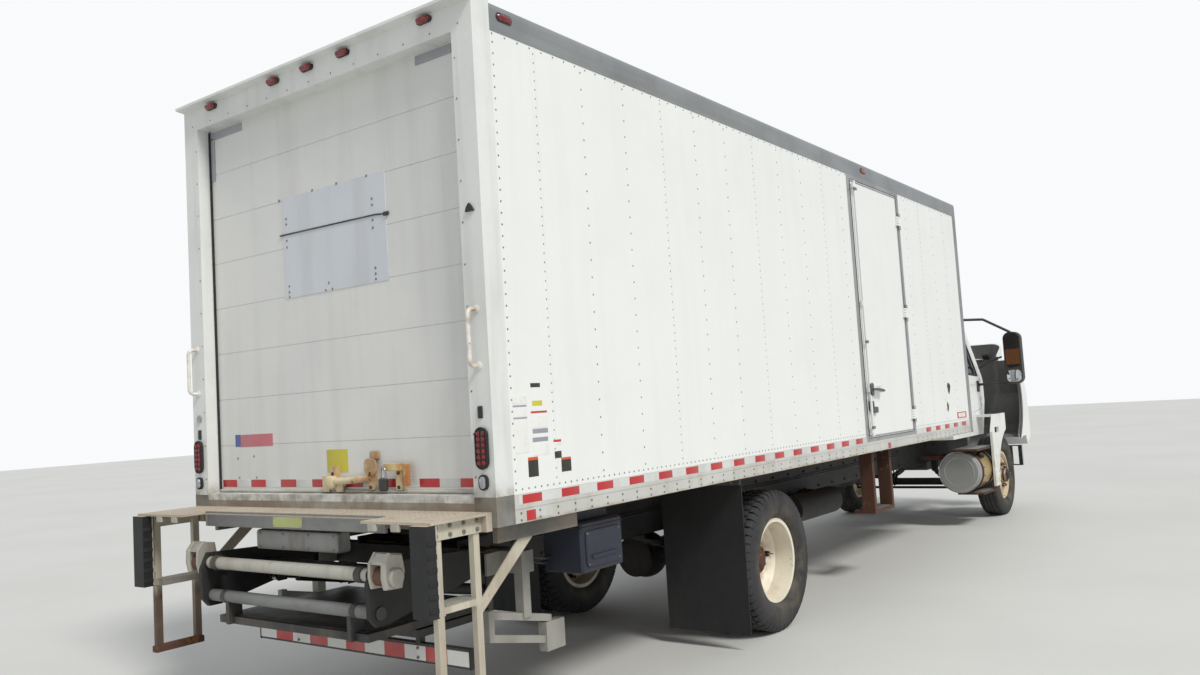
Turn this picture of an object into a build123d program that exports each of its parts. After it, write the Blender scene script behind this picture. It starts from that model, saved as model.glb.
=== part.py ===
from build123d import *
import os
from math import cos, radians, sin

os.makedirs("parts", exist_ok=True)

# Box truck with a van body, a tilting hood that stands open, and a folding lift gate
# under the rear sill. Millimetres, X forward, Y to the left, Z up from the ground.

# Load box
box_length = 8030
box_width = 2590
roof_z = 3830
roof_thickness = 40
rail_bottom_z = 1178
rail_split_z = 1245
floor_z = 1330
top_rail_height = 160
wall_thickness = 38
skin_setback = 4
floor_board = 35
cross_pitch = 410
top_rail_radius = 49
front_post = 100

# Rear door frame
rear_frame_depth = 131
door_half_width = 1150
header_height = 170
header_lamp_drop = 60
door_recess = 92
curtain_thickness = 28
curtain_sections = 8
visor_reach = 60

# Side door, stations measured from the rear face of the box
side_door_rear = 4780
side_door_front = 6040
side_jamb = 55
side_door_sill_z = 1270
side_hinges = (1468, 2465, 3380)
side_handle_z = 1730
side_keeper_z = 2500
door_gap = 6

# Chassis
rear_overhang = 3130
cab_gap = 220
axle_to_cab = 1720
hinge_ahead = 880
hinge_z = 900
bumper_ahead = 1000
rail_half_width = 432
rail_height = 254
rail_flange = 80
rail_wall = 9
rail_top_z = 1024
shaft_tunnel = 120
bearing_ahead = 1940
silencer_length = 1060
tail_length = 900
air_tank_length = 900
sill_width = 70

# Wheels
tyre_radius = 515
tyre_width = 280
rim_radius = 292
front_track_half = 985
dual_outer = 1075
dual_gap = 330
kingpin_half = 850
spindle = 40
stud_count = 10
hand_holes = 5

# Cab
cab_half_width = 1000
cab_roof_half = 905
cab_floor_z = 1080
cab_roof_z = 2665
cab_wall = 50
cab_length = 1480
cowl_z = 1745
mirror_pad = 16

# Hood, shut: lengths run forward from its hinge, heights up from its datum above the ground
hood_datum_z = 700
hood_open_angle = 62
hood_wall = 28
hood_gap = 12
hood_nose = 60
hood_rear_half = 965
hood_nose_half = 640
hood_rear_top = 1080
hood_nose_top = 700
fender_half = 1215
arch_radius = 630
fender_root = 610
link_y = 340
link_width = 30
link_reach = 250
pin_seat_half = 20
horn_height = 70
hood_pin = 15

# Number plate holes in the bumper
plate_spacing_y = 177.8
plate_spacing_z = 120.65
plate_hole = 3.5

# Lift gate, stations measured from the rear face of the box
gate_reach = 430
deck_z = 1252
deck_plate = 12
deck_recess = 150
frame_y = 1150
leg_y = 1185
leg_width = 32
leg_foot_z = 430
rear_leg = -340
front_leg = -90
leg_depth = 40
step_z = 825
arm_y = 720
pivot_station = 520
pivot_z = 900
hinge_station = -265
hinge_tube_z = 785
platform_half = 640
cylinder_y = 600
lift_tube = 33

# Clearance of pins and soft seats
running_gap = 0.3
moving_gap = 8

# Stations along X
hood_cos = cos(radians(hood_open_angle))
hood_sin = sin(radians(hood_open_angle))
hinge_rise = hinge_z - hood_datum_z
hood_reach = hood_nose * hood_cos + (hood_nose_top - hinge_rise) * hood_sin
front_reach = cab_gap + axle_to_cab + hinge_ahead + hood_reach
wall_top_z = roof_z - top_rail_height
door_top_z = roof_z - header_height
overall_length = gate_reach + box_length + front_reach
rear_x = -overall_length / 2 + gate_reach
box_front_x = rear_x + box_length
cab_rear_x = box_front_x + cab_gap
front_axle_x = cab_rear_x + axle_to_cab
rear_axle_x = rear_x + rear_overhang
hinge_x = front_axle_x + hinge_ahead
bumper_x = front_axle_x + bumper_ahead
side_y = box_width / 2
skin_y = side_y - skin_setback
inner_y = skin_y - wall_thickness
wheel_z = tyre_radius
rail_bottom = rail_top_z - rail_height
cab_front_x = cab_rear_x + cab_length
hood_rear = cab_front_x + hood_gap - hinge_x
SIDES = (-1, 1)


def outline(points, plane):
    """A closed face of straight lines on a plane."""
    with BuildSketch(plane) as sketch:
        with BuildLine():
            Polyline(*points, close=True)
        make_face()
    return sketch.sketch


def block(x_span, y_span, z_span, mode=Mode.ADD):
    """A straight block between pairs of stations."""
    spans = (x_span, y_span, z_span)
    middle = tuple((low + high) / 2 for low, high in spans)
    with Locations(middle):
        Box(*(abs(high - low) for low, high in spans), mode=mode)


def rod(start, end, radius, mode=Mode.ADD):
    """A round bar between two points."""
    start, end = Vector(*start), Vector(*end)
    plane = Plane(origin=start, z_dir=end - start)
    with BuildSketch(plane) as section:
        Circle(radius)
    extrude(section.sketch, amount=(end - start).length, mode=mode)


def side_span(side, near, far):
    """The Y span between two distances from the centre line, on one side."""
    return (min(side * near, side * far), max(side * near, side * far))


def save(builder, name):
    """Label a finished piece and write it."""
    builder.part.label = name
    export_step(builder.part, "parts/" + name + ".step")


# Frame rails with their cross members
rail_rear_x = rear_x + pivot_station + 180
rail_front_x = hinge_x - 60
cross_stations = (800, 1500, 2550, 3130, 3750, 5000, 6300, 7600)
with BuildPart() as frame_rails:
    for side in SIDES:
        web = side_span(side, rail_half_width - rail_wall, rail_half_width)
        flange = side_span(side, rail_half_width - rail_flange, rail_half_width)
        block((rail_rear_x, rail_front_x), web, (rail_bottom, rail_top_z))
        for low in (rail_bottom, rail_top_z - rail_wall):
            block((rail_rear_x, rail_front_x), flange, (low, low + rail_wall))
        link_way = side_span(side, rail_half_width - rail_flange, link_y + link_width + moving_gap)
        block((hinge_x - link_reach, rail_front_x), link_way, (rail_bottom, rail_bottom + rail_wall),
              mode=Mode.SUBTRACT)
    for station in cross_stations:
        x = rear_x + station
        block((x - 35, x + 35), (-rail_half_width + rail_wall, rail_half_width - rail_wall),
              (rail_bottom + 40, rail_top_z - 40))
        block((x - 40, x + 40), (-shaft_tunnel, shaft_tunnel), (rail_bottom, rail_top_z - 70),
              mode=Mode.SUBTRACT)
    block((hinge_x - 245, hinge_x - 170), (-rail_half_width + rail_wall, rail_half_width - rail_wall),
          (rail_bottom + 20, rail_bottom + 120))
    for side in SIDES:
        for x in (cab_rear_x + 120, cab_front_x - 260):
            block((x - 45, x + 45), side_span(side, rail_half_width - rail_flange, rail_half_width + 40),
                  (rail_top_z, cab_floor_z))
        pin_seat = side_span(side, link_y + link_width + 2, rail_half_width - 30)
        horn_z = (rail_bottom, rail_bottom + horn_height)
        block((hinge_x - pin_seat_half, hinge_x + pin_seat_half), pin_seat, (horn_z[1] - 10, hinge_z + 20))
        rod((hinge_x, side * (link_y - 6), hinge_z), (hinge_x, side * (rail_half_width - 40), hinge_z),
            hood_pin)
        horn = side_span(side, link_y + link_width + moving_gap, rail_half_width)
        block((rail_front_x - 30, bumper_x - 90), horn, horn_z)
save(frame_rails, "frame_rails")

# Floor of the box on its long sills and cross bearers
with BuildPart() as box_floor:
    floor_x = (rear_x + rear_frame_depth, box_front_x - front_post)
    floor_y = inner_y
    block(floor_x, (-floor_y, floor_y), (floor_z - floor_board, floor_z))
    for side in SIDES:
        block((floor_x[0] + 200, floor_x[1]), side_span(side, rail_half_width - sill_width, rail_half_width),
              (rail_top_z, rail_bottom_z))
    count = int((box_length - 600) / cross_pitch)
    for index in range(count + 1):
        x = rear_x + 330 + index * cross_pitch
        block((x - 4, x + 4), (-floor_y, floor_y), (rail_bottom_z, floor_z - floor_board))
        block((x - 30, x + 30), (-floor_y, floor_y), (rail_bottom_z, rail_bottom_z + 8))
save(box_floor, "box_floor")

# Lower side rails, cut down where the side door stands
door_x = (rear_x + side_door_rear, rear_x + side_door_front + side_jamb)
with BuildPart() as lower_rails:
    for side in SIDES:
        body = side_span(side, inner_y, side_y)
        block((rear_x + rear_frame_depth, box_front_x - front_post), body, (rail_bottom_z, floor_z - 10))
        lip = side_span(side, side_y - 3, side_y)
        block((rear_x + rear_frame_depth, box_front_x - front_post), lip,
              (rail_split_z - 3, rail_split_z + 3), mode=Mode.SUBTRACT)
    block(door_x, (-side_y, -inner_y), (side_door_sill_z, floor_z), mode=Mode.SUBTRACT)
save(lower_rails, "lower_rails")

# Side walls between the rails
wall_x = (rear_x + rear_frame_depth, box_front_x - front_post)
with BuildPart() as wall_left:
    block(wall_x, (inner_y, skin_y), (floor_z - 10, wall_top_z))
save(wall_left, "wall_left")

with BuildPart() as wall_right:
    block(wall_x, (-skin_y, -inner_y), (floor_z - 10, wall_top_z))
    block(door_x, (-skin_y, -inner_y), (floor_z - 10, wall_top_z), mode=Mode.SUBTRACT)
save(wall_right, "wall_right")

# Grey upper rails, front header and front corner posts
with BuildPart() as upper_frame:
    top_height = roof_z - wall_top_z
    for side in SIDES:
        with BuildSketch(Plane.YZ.offset(rear_x + rear_frame_depth)) as rail_section:
            with Locations((side * (side_y - 27), (wall_top_z + roof_z) / 2)):
                Rectangle(54, top_height)
        extrude(amount=box_length - rear_frame_depth)
        block((box_front_x - front_post, box_front_x), side_span(side, side_y - front_post, side_y),
              (rail_bottom_z, roof_z))
    block((box_front_x - front_post, box_front_x), (-side_y + 50, side_y - 50), (wall_top_z, roof_z))
    block((box_front_x - front_post, box_front_x - 60), (-side_y + 40, side_y - 40),
          (rail_bottom_z - 10, wall_top_z), mode=Mode.SUBTRACT)
    for pick in (0, -1):
        top_edge = upper_frame.edges().filter_by(Axis.X).group_by(Axis.Z)[-1].sort_by(Axis.Y)[pick]
        fillet(top_edge, top_rail_radius)
save(upper_frame, "upper_frame")

# Front wall of the box
with BuildPart() as box_front:
    block((box_front_x - 54, box_front_x - 6), (-side_y + front_post, side_y - front_post),
          (rail_bottom_z, wall_top_z))
save(box_front, "box_front")

# Roof sheet
with BuildPart() as box_roof:
    block((rear_x + rear_frame_depth, box_front_x - front_post), (-side_y + 54, side_y - 54),
          (roof_z - roof_thickness, roof_z - 8))
save(box_roof, "box_roof")

# Rear frame: posts, header with its visor, and sill
with BuildPart() as rear_frame:
    block((rear_x, rear_x + rear_frame_depth), (-side_y, side_y), (rail_bottom_z, roof_z))
    block((rear_x, rear_x + rear_frame_depth), (-door_half_width, door_half_width),
          (floor_z, door_top_z), mode=Mode.SUBTRACT)
    with BuildSketch(Plane.XZ.offset(-side_y)) as visor:
        with BuildLine():
            Polyline((rear_x, roof_z - 34), (rear_x - visor_reach, roof_z - 26),
                     (rear_x - visor_reach, roof_z - 10), (rear_x, roof_z), close=True)
        make_face()
    extrude(amount=box_width)
save(rear_frame, "rear_frame")

# Sectional door that rolls up under the roof
with BuildPart() as rollup_door:
    curtain_x = (rear_x + door_recess, rear_x + door_recess + curtain_thickness)
    block(curtain_x, (-door_half_width + 3, door_half_width - 3), (floor_z, door_top_z))
    section_height = (door_top_z - floor_z) / curtain_sections
    for index in range(1, curtain_sections):
        z = floor_z + index * section_height
        block((curtain_x[0], curtain_x[0] + 3), (-door_half_width, door_half_width), (z - 2, z + 2),
              mode=Mode.SUBTRACT)
save(rollup_door, "rollup_door")

# Side door frame
with BuildPart() as side_door_frame:
    frame_y_span = (-side_y, -inner_y)
    block(door_x, frame_y_span, (side_door_sill_z, wall_top_z))
    block((door_x[0] + side_jamb, door_x[1] - side_jamb), frame_y_span,
          (side_door_sill_z + 30, wall_top_z - 35), mode=Mode.SUBTRACT)
    side_hinge_x = door_x[1] - side_jamb + 2
    side_hinge_y = -side_y - 14
    for z in side_hinges:
        for low, high in ((z - 80, z - 45.3), (z + 45.3, z + 80)):
            rod((side_hinge_x, side_hinge_y, low), (side_hinge_x, side_hinge_y, high), 9)
            block((side_hinge_x, side_hinge_x + 45), (side_hinge_y, -side_y), (low, high))
save(side_door_frame, "side_door_frame")

# Side door leaf and its hardware
leaf_x = (door_x[0] + side_jamb + door_gap, door_x[1] - side_jamb - door_gap)
leaf_z = (side_door_sill_z + 30 + door_gap, wall_top_z - 35 - door_gap)
with BuildPart() as side_door:
    block(leaf_x, (-skin_y, -inner_y - door_gap), leaf_z)
    for z in side_hinges:
        block((side_hinge_x - 60, side_hinge_x - 9), (side_hinge_y - 3, -skin_y), (z - 45, z + 45))
        block((side_hinge_x - 60, side_hinge_x), (side_hinge_y - 3, side_hinge_y + 3), (z - 45, z + 45))
        rod((side_hinge_x, side_hinge_y, z - 45), (side_hinge_x, side_hinge_y, z + 45), 9)
    bar_x = leaf_x[0] + 45
    rod((bar_x, -skin_y - 28, leaf_z[0] + 15), (bar_x, -skin_y - 28, leaf_z[1] - 15), 11)
    for z in (leaf_z[0] + 60, side_handle_z, side_keeper_z, leaf_z[1] - 60):
        block((bar_x - 25, bar_x + 25), (-skin_y - 28, -skin_y), (z - 20, z + 20))
    block((bar_x, bar_x + 300), (-skin_y - 40, -skin_y - 26), (side_handle_z - 15, side_handle_z + 15))
    block((bar_x + 240, bar_x + 290), (-skin_y - 40, -skin_y), (side_handle_z - 30, side_handle_z + 30))
save(side_door, "side_door")

# Lamps, latch and handles on the rear frame
with BuildPart() as rear_lamps:
    for side in SIDES:
        with BuildSketch(Plane.YZ.offset(rear_x - 16)) as tail:
            with Locations((side * 1228, 1560)):
                SlotOverall(200, 74, rotation=90)
            with Locations((side * 1228, 1395)):
                SlotOverall(74, 52, rotation=90)
        extrude(amount=16)
    for y in (-970, -320, 0, 320, 970):
        with BuildSketch(Plane.YZ.offset(rear_x - 14)) as clearance:
            with Locations((y, roof_z - header_lamp_drop)):
                SlotOverall(104, 36)
        extrude(amount=14)
save(rear_lamps, "rear_lamps")

with BuildPart() as rear_hardware:
    for side in SIDES:
        y = side * 1226
        with BuildLine() as grip:
            FilletPolyline((rear_x, y, 1960), (rear_x - 62, y, 1960), (rear_x - 62, y, 2240),
                           (rear_x, y, 2240), radius=30)
        with BuildSketch(Plane(origin=grip.line @ 0, z_dir=grip.line % 0)) as grip_section:
            Circle(11)
        sweep(grip_section.sketch, path=grip.line)
    latch_x = curtain_x[0]
    latch_ys = (0, -320, -545)
    for y in latch_ys:
        block((latch_x - 30, latch_x), (y - 24, y + 24), (floor_z + 20, floor_z + 150))
    rod((latch_x - 24, latch_ys[1], floor_z + 85), (latch_x - 24, latch_ys[0], floor_z + 65), 14)
save(rear_hardware, "rear_hardware")


def tyre(builder_plane, y):
    """A tyre round the wheel axis, its section drawn in straight lines."""
    half = tyre_width / 2
    section = (
        (half - 57.3, rim_radius), (half - 57.3, rim_radius + 17), (half - 8, rim_radius + 36),
        (half, rim_radius + 95), (half - 12, tyre_radius - 45), (half - 30, tyre_radius - 8),
        (half - 60, tyre_radius),
    )
    points = [(u, v) for u, v in section] + [(-u, v) for u, v in reversed(section)]
    with BuildSketch(Plane(origin=(builder_plane, y, wheel_z), x_dir=(0, 1, 0), z_dir=(1, 0, 0))) as cut:
        with BuildLine():
            Polyline(*points, close=True)
        make_face()
    revolve(cut.sketch, axis=Axis((builder_plane, y, wheel_z), (0, 1, 0)))


def wheel_disc(x, y, out, seat, dish):
    """A pressed wheel round the axis: its disc leaves the barrel at seat, flat at dish, towards out."""
    half = tyre_width / 2 - 45
    wall = 12
    bead = rim_radius - wall
    lip = rim_radius + 16
    plane = Plane(origin=(x, y, wheel_z), x_dir=(0, out, 0), z_dir=(out, 0, 0))
    with BuildSketch(plane) as barrel:
        with BuildLine():
            Polyline((half, lip), (half, bead), (-half, bead), (-half, lip), (-half + wall, lip),
                     (-half + wall, rim_radius - 0.3), (half - wall, rim_radius - 0.3), (half - wall, lip),
                     close=True)
        make_face()
    revolve(barrel.sketch, axis=Axis((x, y, wheel_z), (0, 1, 0)))
    with BuildSketch(plane) as disc:
        with BuildLine():
            Polyline((seat, bead + 4), (seat + wall, bead + 4), (dish - 4, 210), (dish, 110),
                     (dish - wall, 110),
                     (dish - wall - 4, 204), close=True)
        make_face()
    revolve(disc.sketch, axis=Axis((x, y, wheel_z), (0, 1, 0)))


def hand_hole_cuts(x, y):
    """Round hand holes through the disc."""
    for index in range(hand_holes):
        turn = radians(index * 360 / hand_holes)
        centre = (x + 238 * cos(turn), y, wheel_z + 238 * sin(turn))
        with Locations(Location(centre, (90, 0, 0))):
            Cylinder(24, tyre_width * 0.8, mode=Mode.SUBTRACT)


def studs(x, y, out, length):
    """A ring of wheel studs with nuts."""
    for index in range(stud_count):
        turn = radians(index * 360 / stud_count)
        start = (x + 143 * cos(turn), y, wheel_z + 143 * sin(turn))
        end = (start[0], y + out * length, start[2])
        rod(start, end, 15)


# Front wheels: the disc bulges outwards; the hub and its studs show in the middle
for side, name in ((1, "left"), (-1, "right")):
    y = side * front_track_half
    with BuildPart() as front_tyre:
        tyre(front_axle_x, y)
    save(front_tyre, "front_tyre_" + name)
    with BuildPart() as front_wheel:
        wheel_disc(front_axle_x, y, side, 30, 90)
        hand_hole_cuts(front_axle_x, y + side * 60)
        studs(front_axle_x, y + side * 74, side, 45)
        rod((front_axle_x, y - side * 60, wheel_z), (front_axle_x, y + side * 150, wheel_z), 84)
        rod((front_axle_x, y - side * 60, wheel_z), (front_axle_x, y + side * 92, wheel_z), 112)
        rod((front_axle_x, y - side * 60, wheel_z), (front_axle_x, y + side * 110, wheel_z), spindle + 0.3,
            mode=Mode.SUBTRACT)
    save(front_wheel, "front_wheel_" + name)

# Rear twin wheels: the outer disc is set deep, the inner one faces it
dual_inner = dual_outer - dual_gap
for side, name in ((1, "left"), (-1, "right")):
    with BuildPart() as rear_tyres:
        for y in (dual_outer, dual_inner):
            tyre(rear_axle_x, side * y)
    save(rear_tyres, "rear_tyres_" + name)
    middle = side * (dual_outer + dual_inner) / 2
    with BuildPart() as rear_wheels:
        wheel_disc(rear_axle_x, side * dual_outer, -side, 50, dual_gap / 2 - 6)
        wheel_disc(rear_axle_x, side * dual_inner, side, 50, dual_gap / 2 - 6)
        hand_hole_cuts(rear_axle_x, middle)
        studs(rear_axle_x, middle, side, 62)
        rod((rear_axle_x, side * (dual_inner - 30), wheel_z),
            (rear_axle_x, middle + side * 110, wheel_z), 112)
        drum_end = (rear_axle_x, side * (dual_inner - 60), wheel_z)
        rod(drum_end, (rear_axle_x, side * (dual_inner + 60), wheel_z), 205)
        rod(drum_end, (rear_axle_x, side * (dual_inner + 50), wheel_z), spindle + 0.3, mode=Mode.SUBTRACT)
    save(rear_wheels, "rear_wheels_" + name)

# Front axle beam, dropped in the middle
with BuildPart() as front_axle:
    beam_z = wheel_z - 60
    with BuildSketch(Plane.YZ.offset(front_axle_x - 40)) as beam:
        with BuildLine():
            beam_end = kingpin_half - 34
            Polyline((-beam_end, wheel_z - 30), (-beam_end, wheel_z + 40), (-620, wheel_z + 40),
                     (-520, beam_z + 20), (520, beam_z + 20), (620, wheel_z + 40), (beam_end, wheel_z + 40),
                     (beam_end, wheel_z - 30), (600, wheel_z - 40), (500, beam_z - 70), (-500, beam_z - 70),
                     (-600, wheel_z - 40), close=True)
        make_face()
    extrude(amount=80)
    for side in SIDES:
        with Locations((front_axle_x, side * kingpin_half, wheel_z)):
            Cylinder(45, 110)
            Cylinder(20, 110, mode=Mode.SUBTRACT)
        pad_y = side_span(side, rail_half_width - 70, rail_half_width + 10)
        block((front_axle_x - 60, front_axle_x + 60), pad_y, (beam_z + 20, beam_z + 36))
save(front_axle, "front_axle")

# Steering knuckles: fork, king pin, spindle and steering arm
for side, name in ((1, "left"), (-1, "right")):
    with BuildPart() as knuckle:
        pin_y = side * kingpin_half
        rod((front_axle_x, pin_y, wheel_z - 125), (front_axle_x, pin_y, wheel_z + 125), 19.7)
        for low, high in ((-125, -62), (62, 125)):
            block((front_axle_x - 42, front_axle_x + 42),
                  side_span(side, kingpin_half - 42, kingpin_half + 66),
                  (wheel_z + low, wheel_z + high))
        block((front_axle_x - 60, front_axle_x + 60), side_span(side, kingpin_half + 52, kingpin_half + 70),
              (wheel_z - 125, wheel_z + 125))
        rod((front_axle_x, side * (kingpin_half + 60), wheel_z),
            (front_axle_x, side * (front_track_half + 100), wheel_z), spindle)
        block((front_axle_x - 240, front_axle_x - 30), side_span(side, kingpin_half - 40, kingpin_half - 5),
              (wheel_z - 118, wheel_z - 90))
    save(knuckle, "knuckle_" + name)

# Tie rod behind the axle, under the steering arms
with BuildPart() as tie_rod:
    tie_x = front_axle_x - 212
    rod((tie_x, -kingpin_half + 10, wheel_z - 145), (tie_x, kingpin_half - 10, wheel_z - 145), 17)
    for side in SIDES:
        end_y = side * (kingpin_half - 22)
        rod((tie_x, end_y, wheel_z - 145), (tie_x, end_y, wheel_z - 118.3), 11)
save(tie_rod, "tie_rod")

# Rear axle: banjo housing with tubes
with BuildPart() as rear_axle:
    rod((rear_axle_x, -dual_inner + 70, wheel_z), (rear_axle_x, dual_inner - 70, wheel_z), 68)
    rod((rear_axle_x, -dual_inner - 40, wheel_z), (rear_axle_x, dual_inner + 40, wheel_z), spindle)
    with Locations((rear_axle_x, 0, wheel_z)):
        Sphere(185)
    rod((rear_axle_x, 0, wheel_z), (rear_axle_x + 330, 0, wheel_z + 20), 85)
    for side in SIDES:
        block((rear_axle_x - 60, rear_axle_x + 60),
              side_span(side, rail_half_width - 60, rail_half_width + 40),
              (wheel_z + 40, wheel_z + 80))
save(rear_axle, "rear_axle")


def leaf_pack(x, y_span, seat_z, eye_z, half, leaves, leaf):
    """A pack of curved leaves that lies on its seat and rises to the eyes."""
    rise = eye_z - seat_z
    for index in range(leaves):
        share = 1 - index * 0.17
        reach = half * share
        low = seat_z + (leaves - 1 - index) * leaf
        lift = rise * share * share
        with BuildSketch(Plane.XZ.offset(-y_span[1])) as blade:
            with BuildLine():
                ThreePointArc((x - reach, low + lift), (x, low), (x + reach, low + lift))
                Line((x + reach, low + lift), (x + reach, low + lift + leaf))
                ThreePointArc((x + reach, low + lift + leaf), (x, low + leaf),
                              (x - reach, low + lift + leaf))
                Line((x - reach, low + lift + leaf), (x - reach, low + lift))
            make_face()
        extrude(blade.sketch, amount=y_span[1] - y_span[0])


# Leaf springs with their hangers
with BuildPart() as leaf_springs:
    for side in SIDES:
        span = side_span(side, rail_half_width - 70, rail_half_width)
        leaf_pack(front_axle_x, span, beam_z + 36, beam_z + 150, 620, 3, 14)
        for end in (-1, 1):
            x = front_axle_x + end * 610
            block((x - 30, x + 30), span, (beam_z + 175, rail_bottom))
    for side in SIDES:
        span = side_span(side, rail_half_width - 60, rail_half_width + 20)
        leaf_pack(rear_axle_x, span, wheel_z + 80, wheel_z + 170, 700, 5, 14)
        for end in (-1, 1):
            x = rear_axle_x + end * 690
            block((x - 35, x + 35), span, (wheel_z + 235, rail_bottom))
save(leaf_springs, "leaf_springs")

# Engine with its sump and rocker cover, and the gearbox behind it under the cab floor
engine_x = (cab_front_x + 15, hinge_x - 300)
crank_z = 840
gearbox_x = engine_x[0] - 640
with BuildPart() as engine:
    block(engine_x, (-190, 190), (crank_z - 120, 1220))
    block((engine_x[0] + 20, engine_x[1] - 60), (-160, 160), (crank_z - 240, crank_z - 120))
    block((engine_x[0] + 40, engine_x[1] - 40), (-120, 120), (1220, 1400))
    block((engine_x[0] + 120, engine_x[1] - 160), (190, 300), (1100, 1240))
    rod((engine_x[1], 0, 1000), (engine_x[1] + 50, 0, 1000), 110)
    with BuildSketch(Plane.YZ.offset(engine_x[0])) as bell:
        with Locations((0, crank_z)):
            Circle(205)
    with BuildSketch(Plane.YZ.offset(engine_x[0] - 240)) as neck:
        with Locations((0, crank_z)):
            Circle(150)
    loft([bell.sketch, neck.sketch])
    rod((engine_x[0] - 240, 0, crank_z), (engine_x[0] - 560, 0, crank_z), 140)
    rod((engine_x[0] - 560, 0, crank_z), (gearbox_x, 0, crank_z), 60)
save(engine, "engine")

# Drive shaft in two lengths with a centre bearing
with BuildPart() as drive_shaft:
    pinion_x = rear_axle_x + 330
    shaft_mid = (pinion_x + bearing_ahead, 0, 800)
    rod((gearbox_x, 0, crank_z), (gearbox_x - 70, 0, crank_z), 60)
    rod((gearbox_x - 50, 0, crank_z), shaft_mid, 45)
    rod(shaft_mid, (pinion_x + 50, 0, wheel_z + 20), 45)
    rod((pinion_x, 0, wheel_z + 20), (pinion_x + 66, 0, wheel_z + 24), 60)
    block((shaft_mid[0] - 40, shaft_mid[0] + 40),
          (-rail_half_width + rail_wall, rail_half_width - rail_wall),
          (rail_bottom + rail_wall, rail_bottom + 60))
save(drive_shaft, "drive_shaft")

# Radiator with its shroud
with BuildPart() as radiator:
    radiator_x = hinge_x - 200
    radiator_foot = link_y - 10
    block((radiator_x, radiator_x + 80), (-radiator_foot, radiator_foot),
          (rail_bottom + 120, rail_top_z + 10))
    block((radiator_x, radiator_x + 80), (-400, 400), (rail_top_z + 10, 1350))
    rod((radiator_x, 0, 1120), (radiator_x - 45, 0, 1120), 225)
save(radiator, "radiator")

# Exhaust: silencer on the left rail and its tail pipe
with BuildPart() as exhaust:
    silencer_x = cab_rear_x - 40 - silencer_length
    tail_x = silencer_x - tail_length
    rod((silencer_x, 700, 720), (silencer_x + silencer_length, 700, 720), 140)
    rod((silencer_x, 700, 720), (tail_x, 700, 720), 55)
    block((silencer_x + 500, silencer_x + 560), (rail_half_width, 660), (800, 900))
save(exhaust, "exhaust")

# Fuel tank on the right, under the cab, with its straps and rusty steps
tank_radius = 250
tank_y = -920
tank_z = 665
tank_x = (cab_rear_x + 380, cab_rear_x + 1040)
strap_width = 45
with BuildPart() as fuel_tank:
    rod((tank_x[0], tank_y, tank_z), (tank_x[1], tank_y, tank_z), tank_radius)
    fillet(fuel_tank.edges().filter_by(GeomType.CIRCLE), 30)
save(fuel_tank, "fuel_tank")

# Tank straps with the steps over and under it, and the step below the side door
with BuildPart() as steps:
    for x in (tank_x[0] + 90, tank_x[1] - 90 - strap_width):
        with BuildSketch(Plane.YZ.offset(x)) as strap:
            with Locations((tank_y, tank_z)):
                Circle(tank_radius + 10)
                Circle(tank_radius + 0.3, mode=Mode.SUBTRACT)
        extrude(amount=strap_width)
        block((x, x + strap_width), (tank_y + 204, -rail_half_width), (tank_z + 150, tank_z + 190))
    step_y = (tank_y - 250, tank_y + 60)
    block((tank_x[0] - 60, tank_x[1] + 40), step_y, (tank_z + tank_radius + 4, tank_z + tank_radius + 28))
    block((tank_x[0] + 80, tank_x[1] + 50), step_y, (tank_z - tank_radius - 28, tank_z - tank_radius - 4))
    step_x = (rear_x + 5120, rear_x + 5560)
    for x in step_x:
        block((x - 25, x + 25), (-1200, -1080), (640, rail_bottom_z))
        block((x - 25, x + 25), (-side_y + 5, -1080), (rail_bottom_z - 12, rail_bottom_z))
    block((step_x[0] - 25, step_x[1] + 25), (-1200, -1000), (610, 640))
save(steps, "steps")

# Battery box and step on the left
with BuildPart() as battery_box:
    battery_x = (cab_rear_x + 70, cab_rear_x + 770)
    block(battery_x, (rail_half_width, 1140), (520, 980))
    block(battery_x, (960, 1140), (760, 980), mode=Mode.SUBTRACT)
save(battery_box, "battery_box")

# Air tanks along the rails
with BuildPart() as air_tanks:
    for side, start in ((-1, rear_x + 4550), (1, tail_x - 120 - air_tank_length)):
        rod((start, side * 620, 700), (start + air_tank_length, side * 620, 700), 125)
        for x in (start + 250, start + air_tank_length - 250):
            block((x - 20, x + 20), side_span(side, rail_half_width, 560), (rail_bottom, 820))
save(air_tanks, "air_tanks")

# Mud flaps behind the rear wheels
with BuildPart() as mud_flaps:
    flap_x = rear_axle_x - tyre_radius - 110
    for side in SIDES:
        block((flap_x - 10, flap_x), side_span(side, dual_inner - 140, 1262), (110, rail_bottom_z))
save(mud_flaps, "mud_flaps")


def cab_hull(inset):
    """The cab's closed outer form, or the same form drawn in by a wall."""
    low, high = cab_floor_z + inset, cab_roof_z - inset
    back, front = cab_rear_x + inset, cab_front_x - inset
    half, roof_half = cab_half_width - inset, cab_roof_half - inset
    with BuildPart() as hull:
        with BuildSketch(Plane.XZ) as profile:
            with BuildLine():
                Polyline((back, low), (back, high - 70), (back + 70, high), (back + 850, high + 10),
                         (back + 1010, high - 90), (front - 20, cowl_z), (front - 20, cowl_z - 250),
                         (front - 180, low),
                         close=True)
            make_face()
        extrude(amount=half + 50, both=True)
        with BuildSketch(Plane.YZ.offset(back - 50)) as section:
            with BuildLine():
                Polyline((-half, low), (-half, 1830), (-roof_half, high - 60), (-roof_half + 60, high + 20),
                         (roof_half - 60, high + 20), (roof_half, high - 60), (half, 1830), (half, low),
                         close=True)
            make_face()
        extrude(amount=cab_length + 200, mode=Mode.INTERSECT)
    return hull.part


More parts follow.
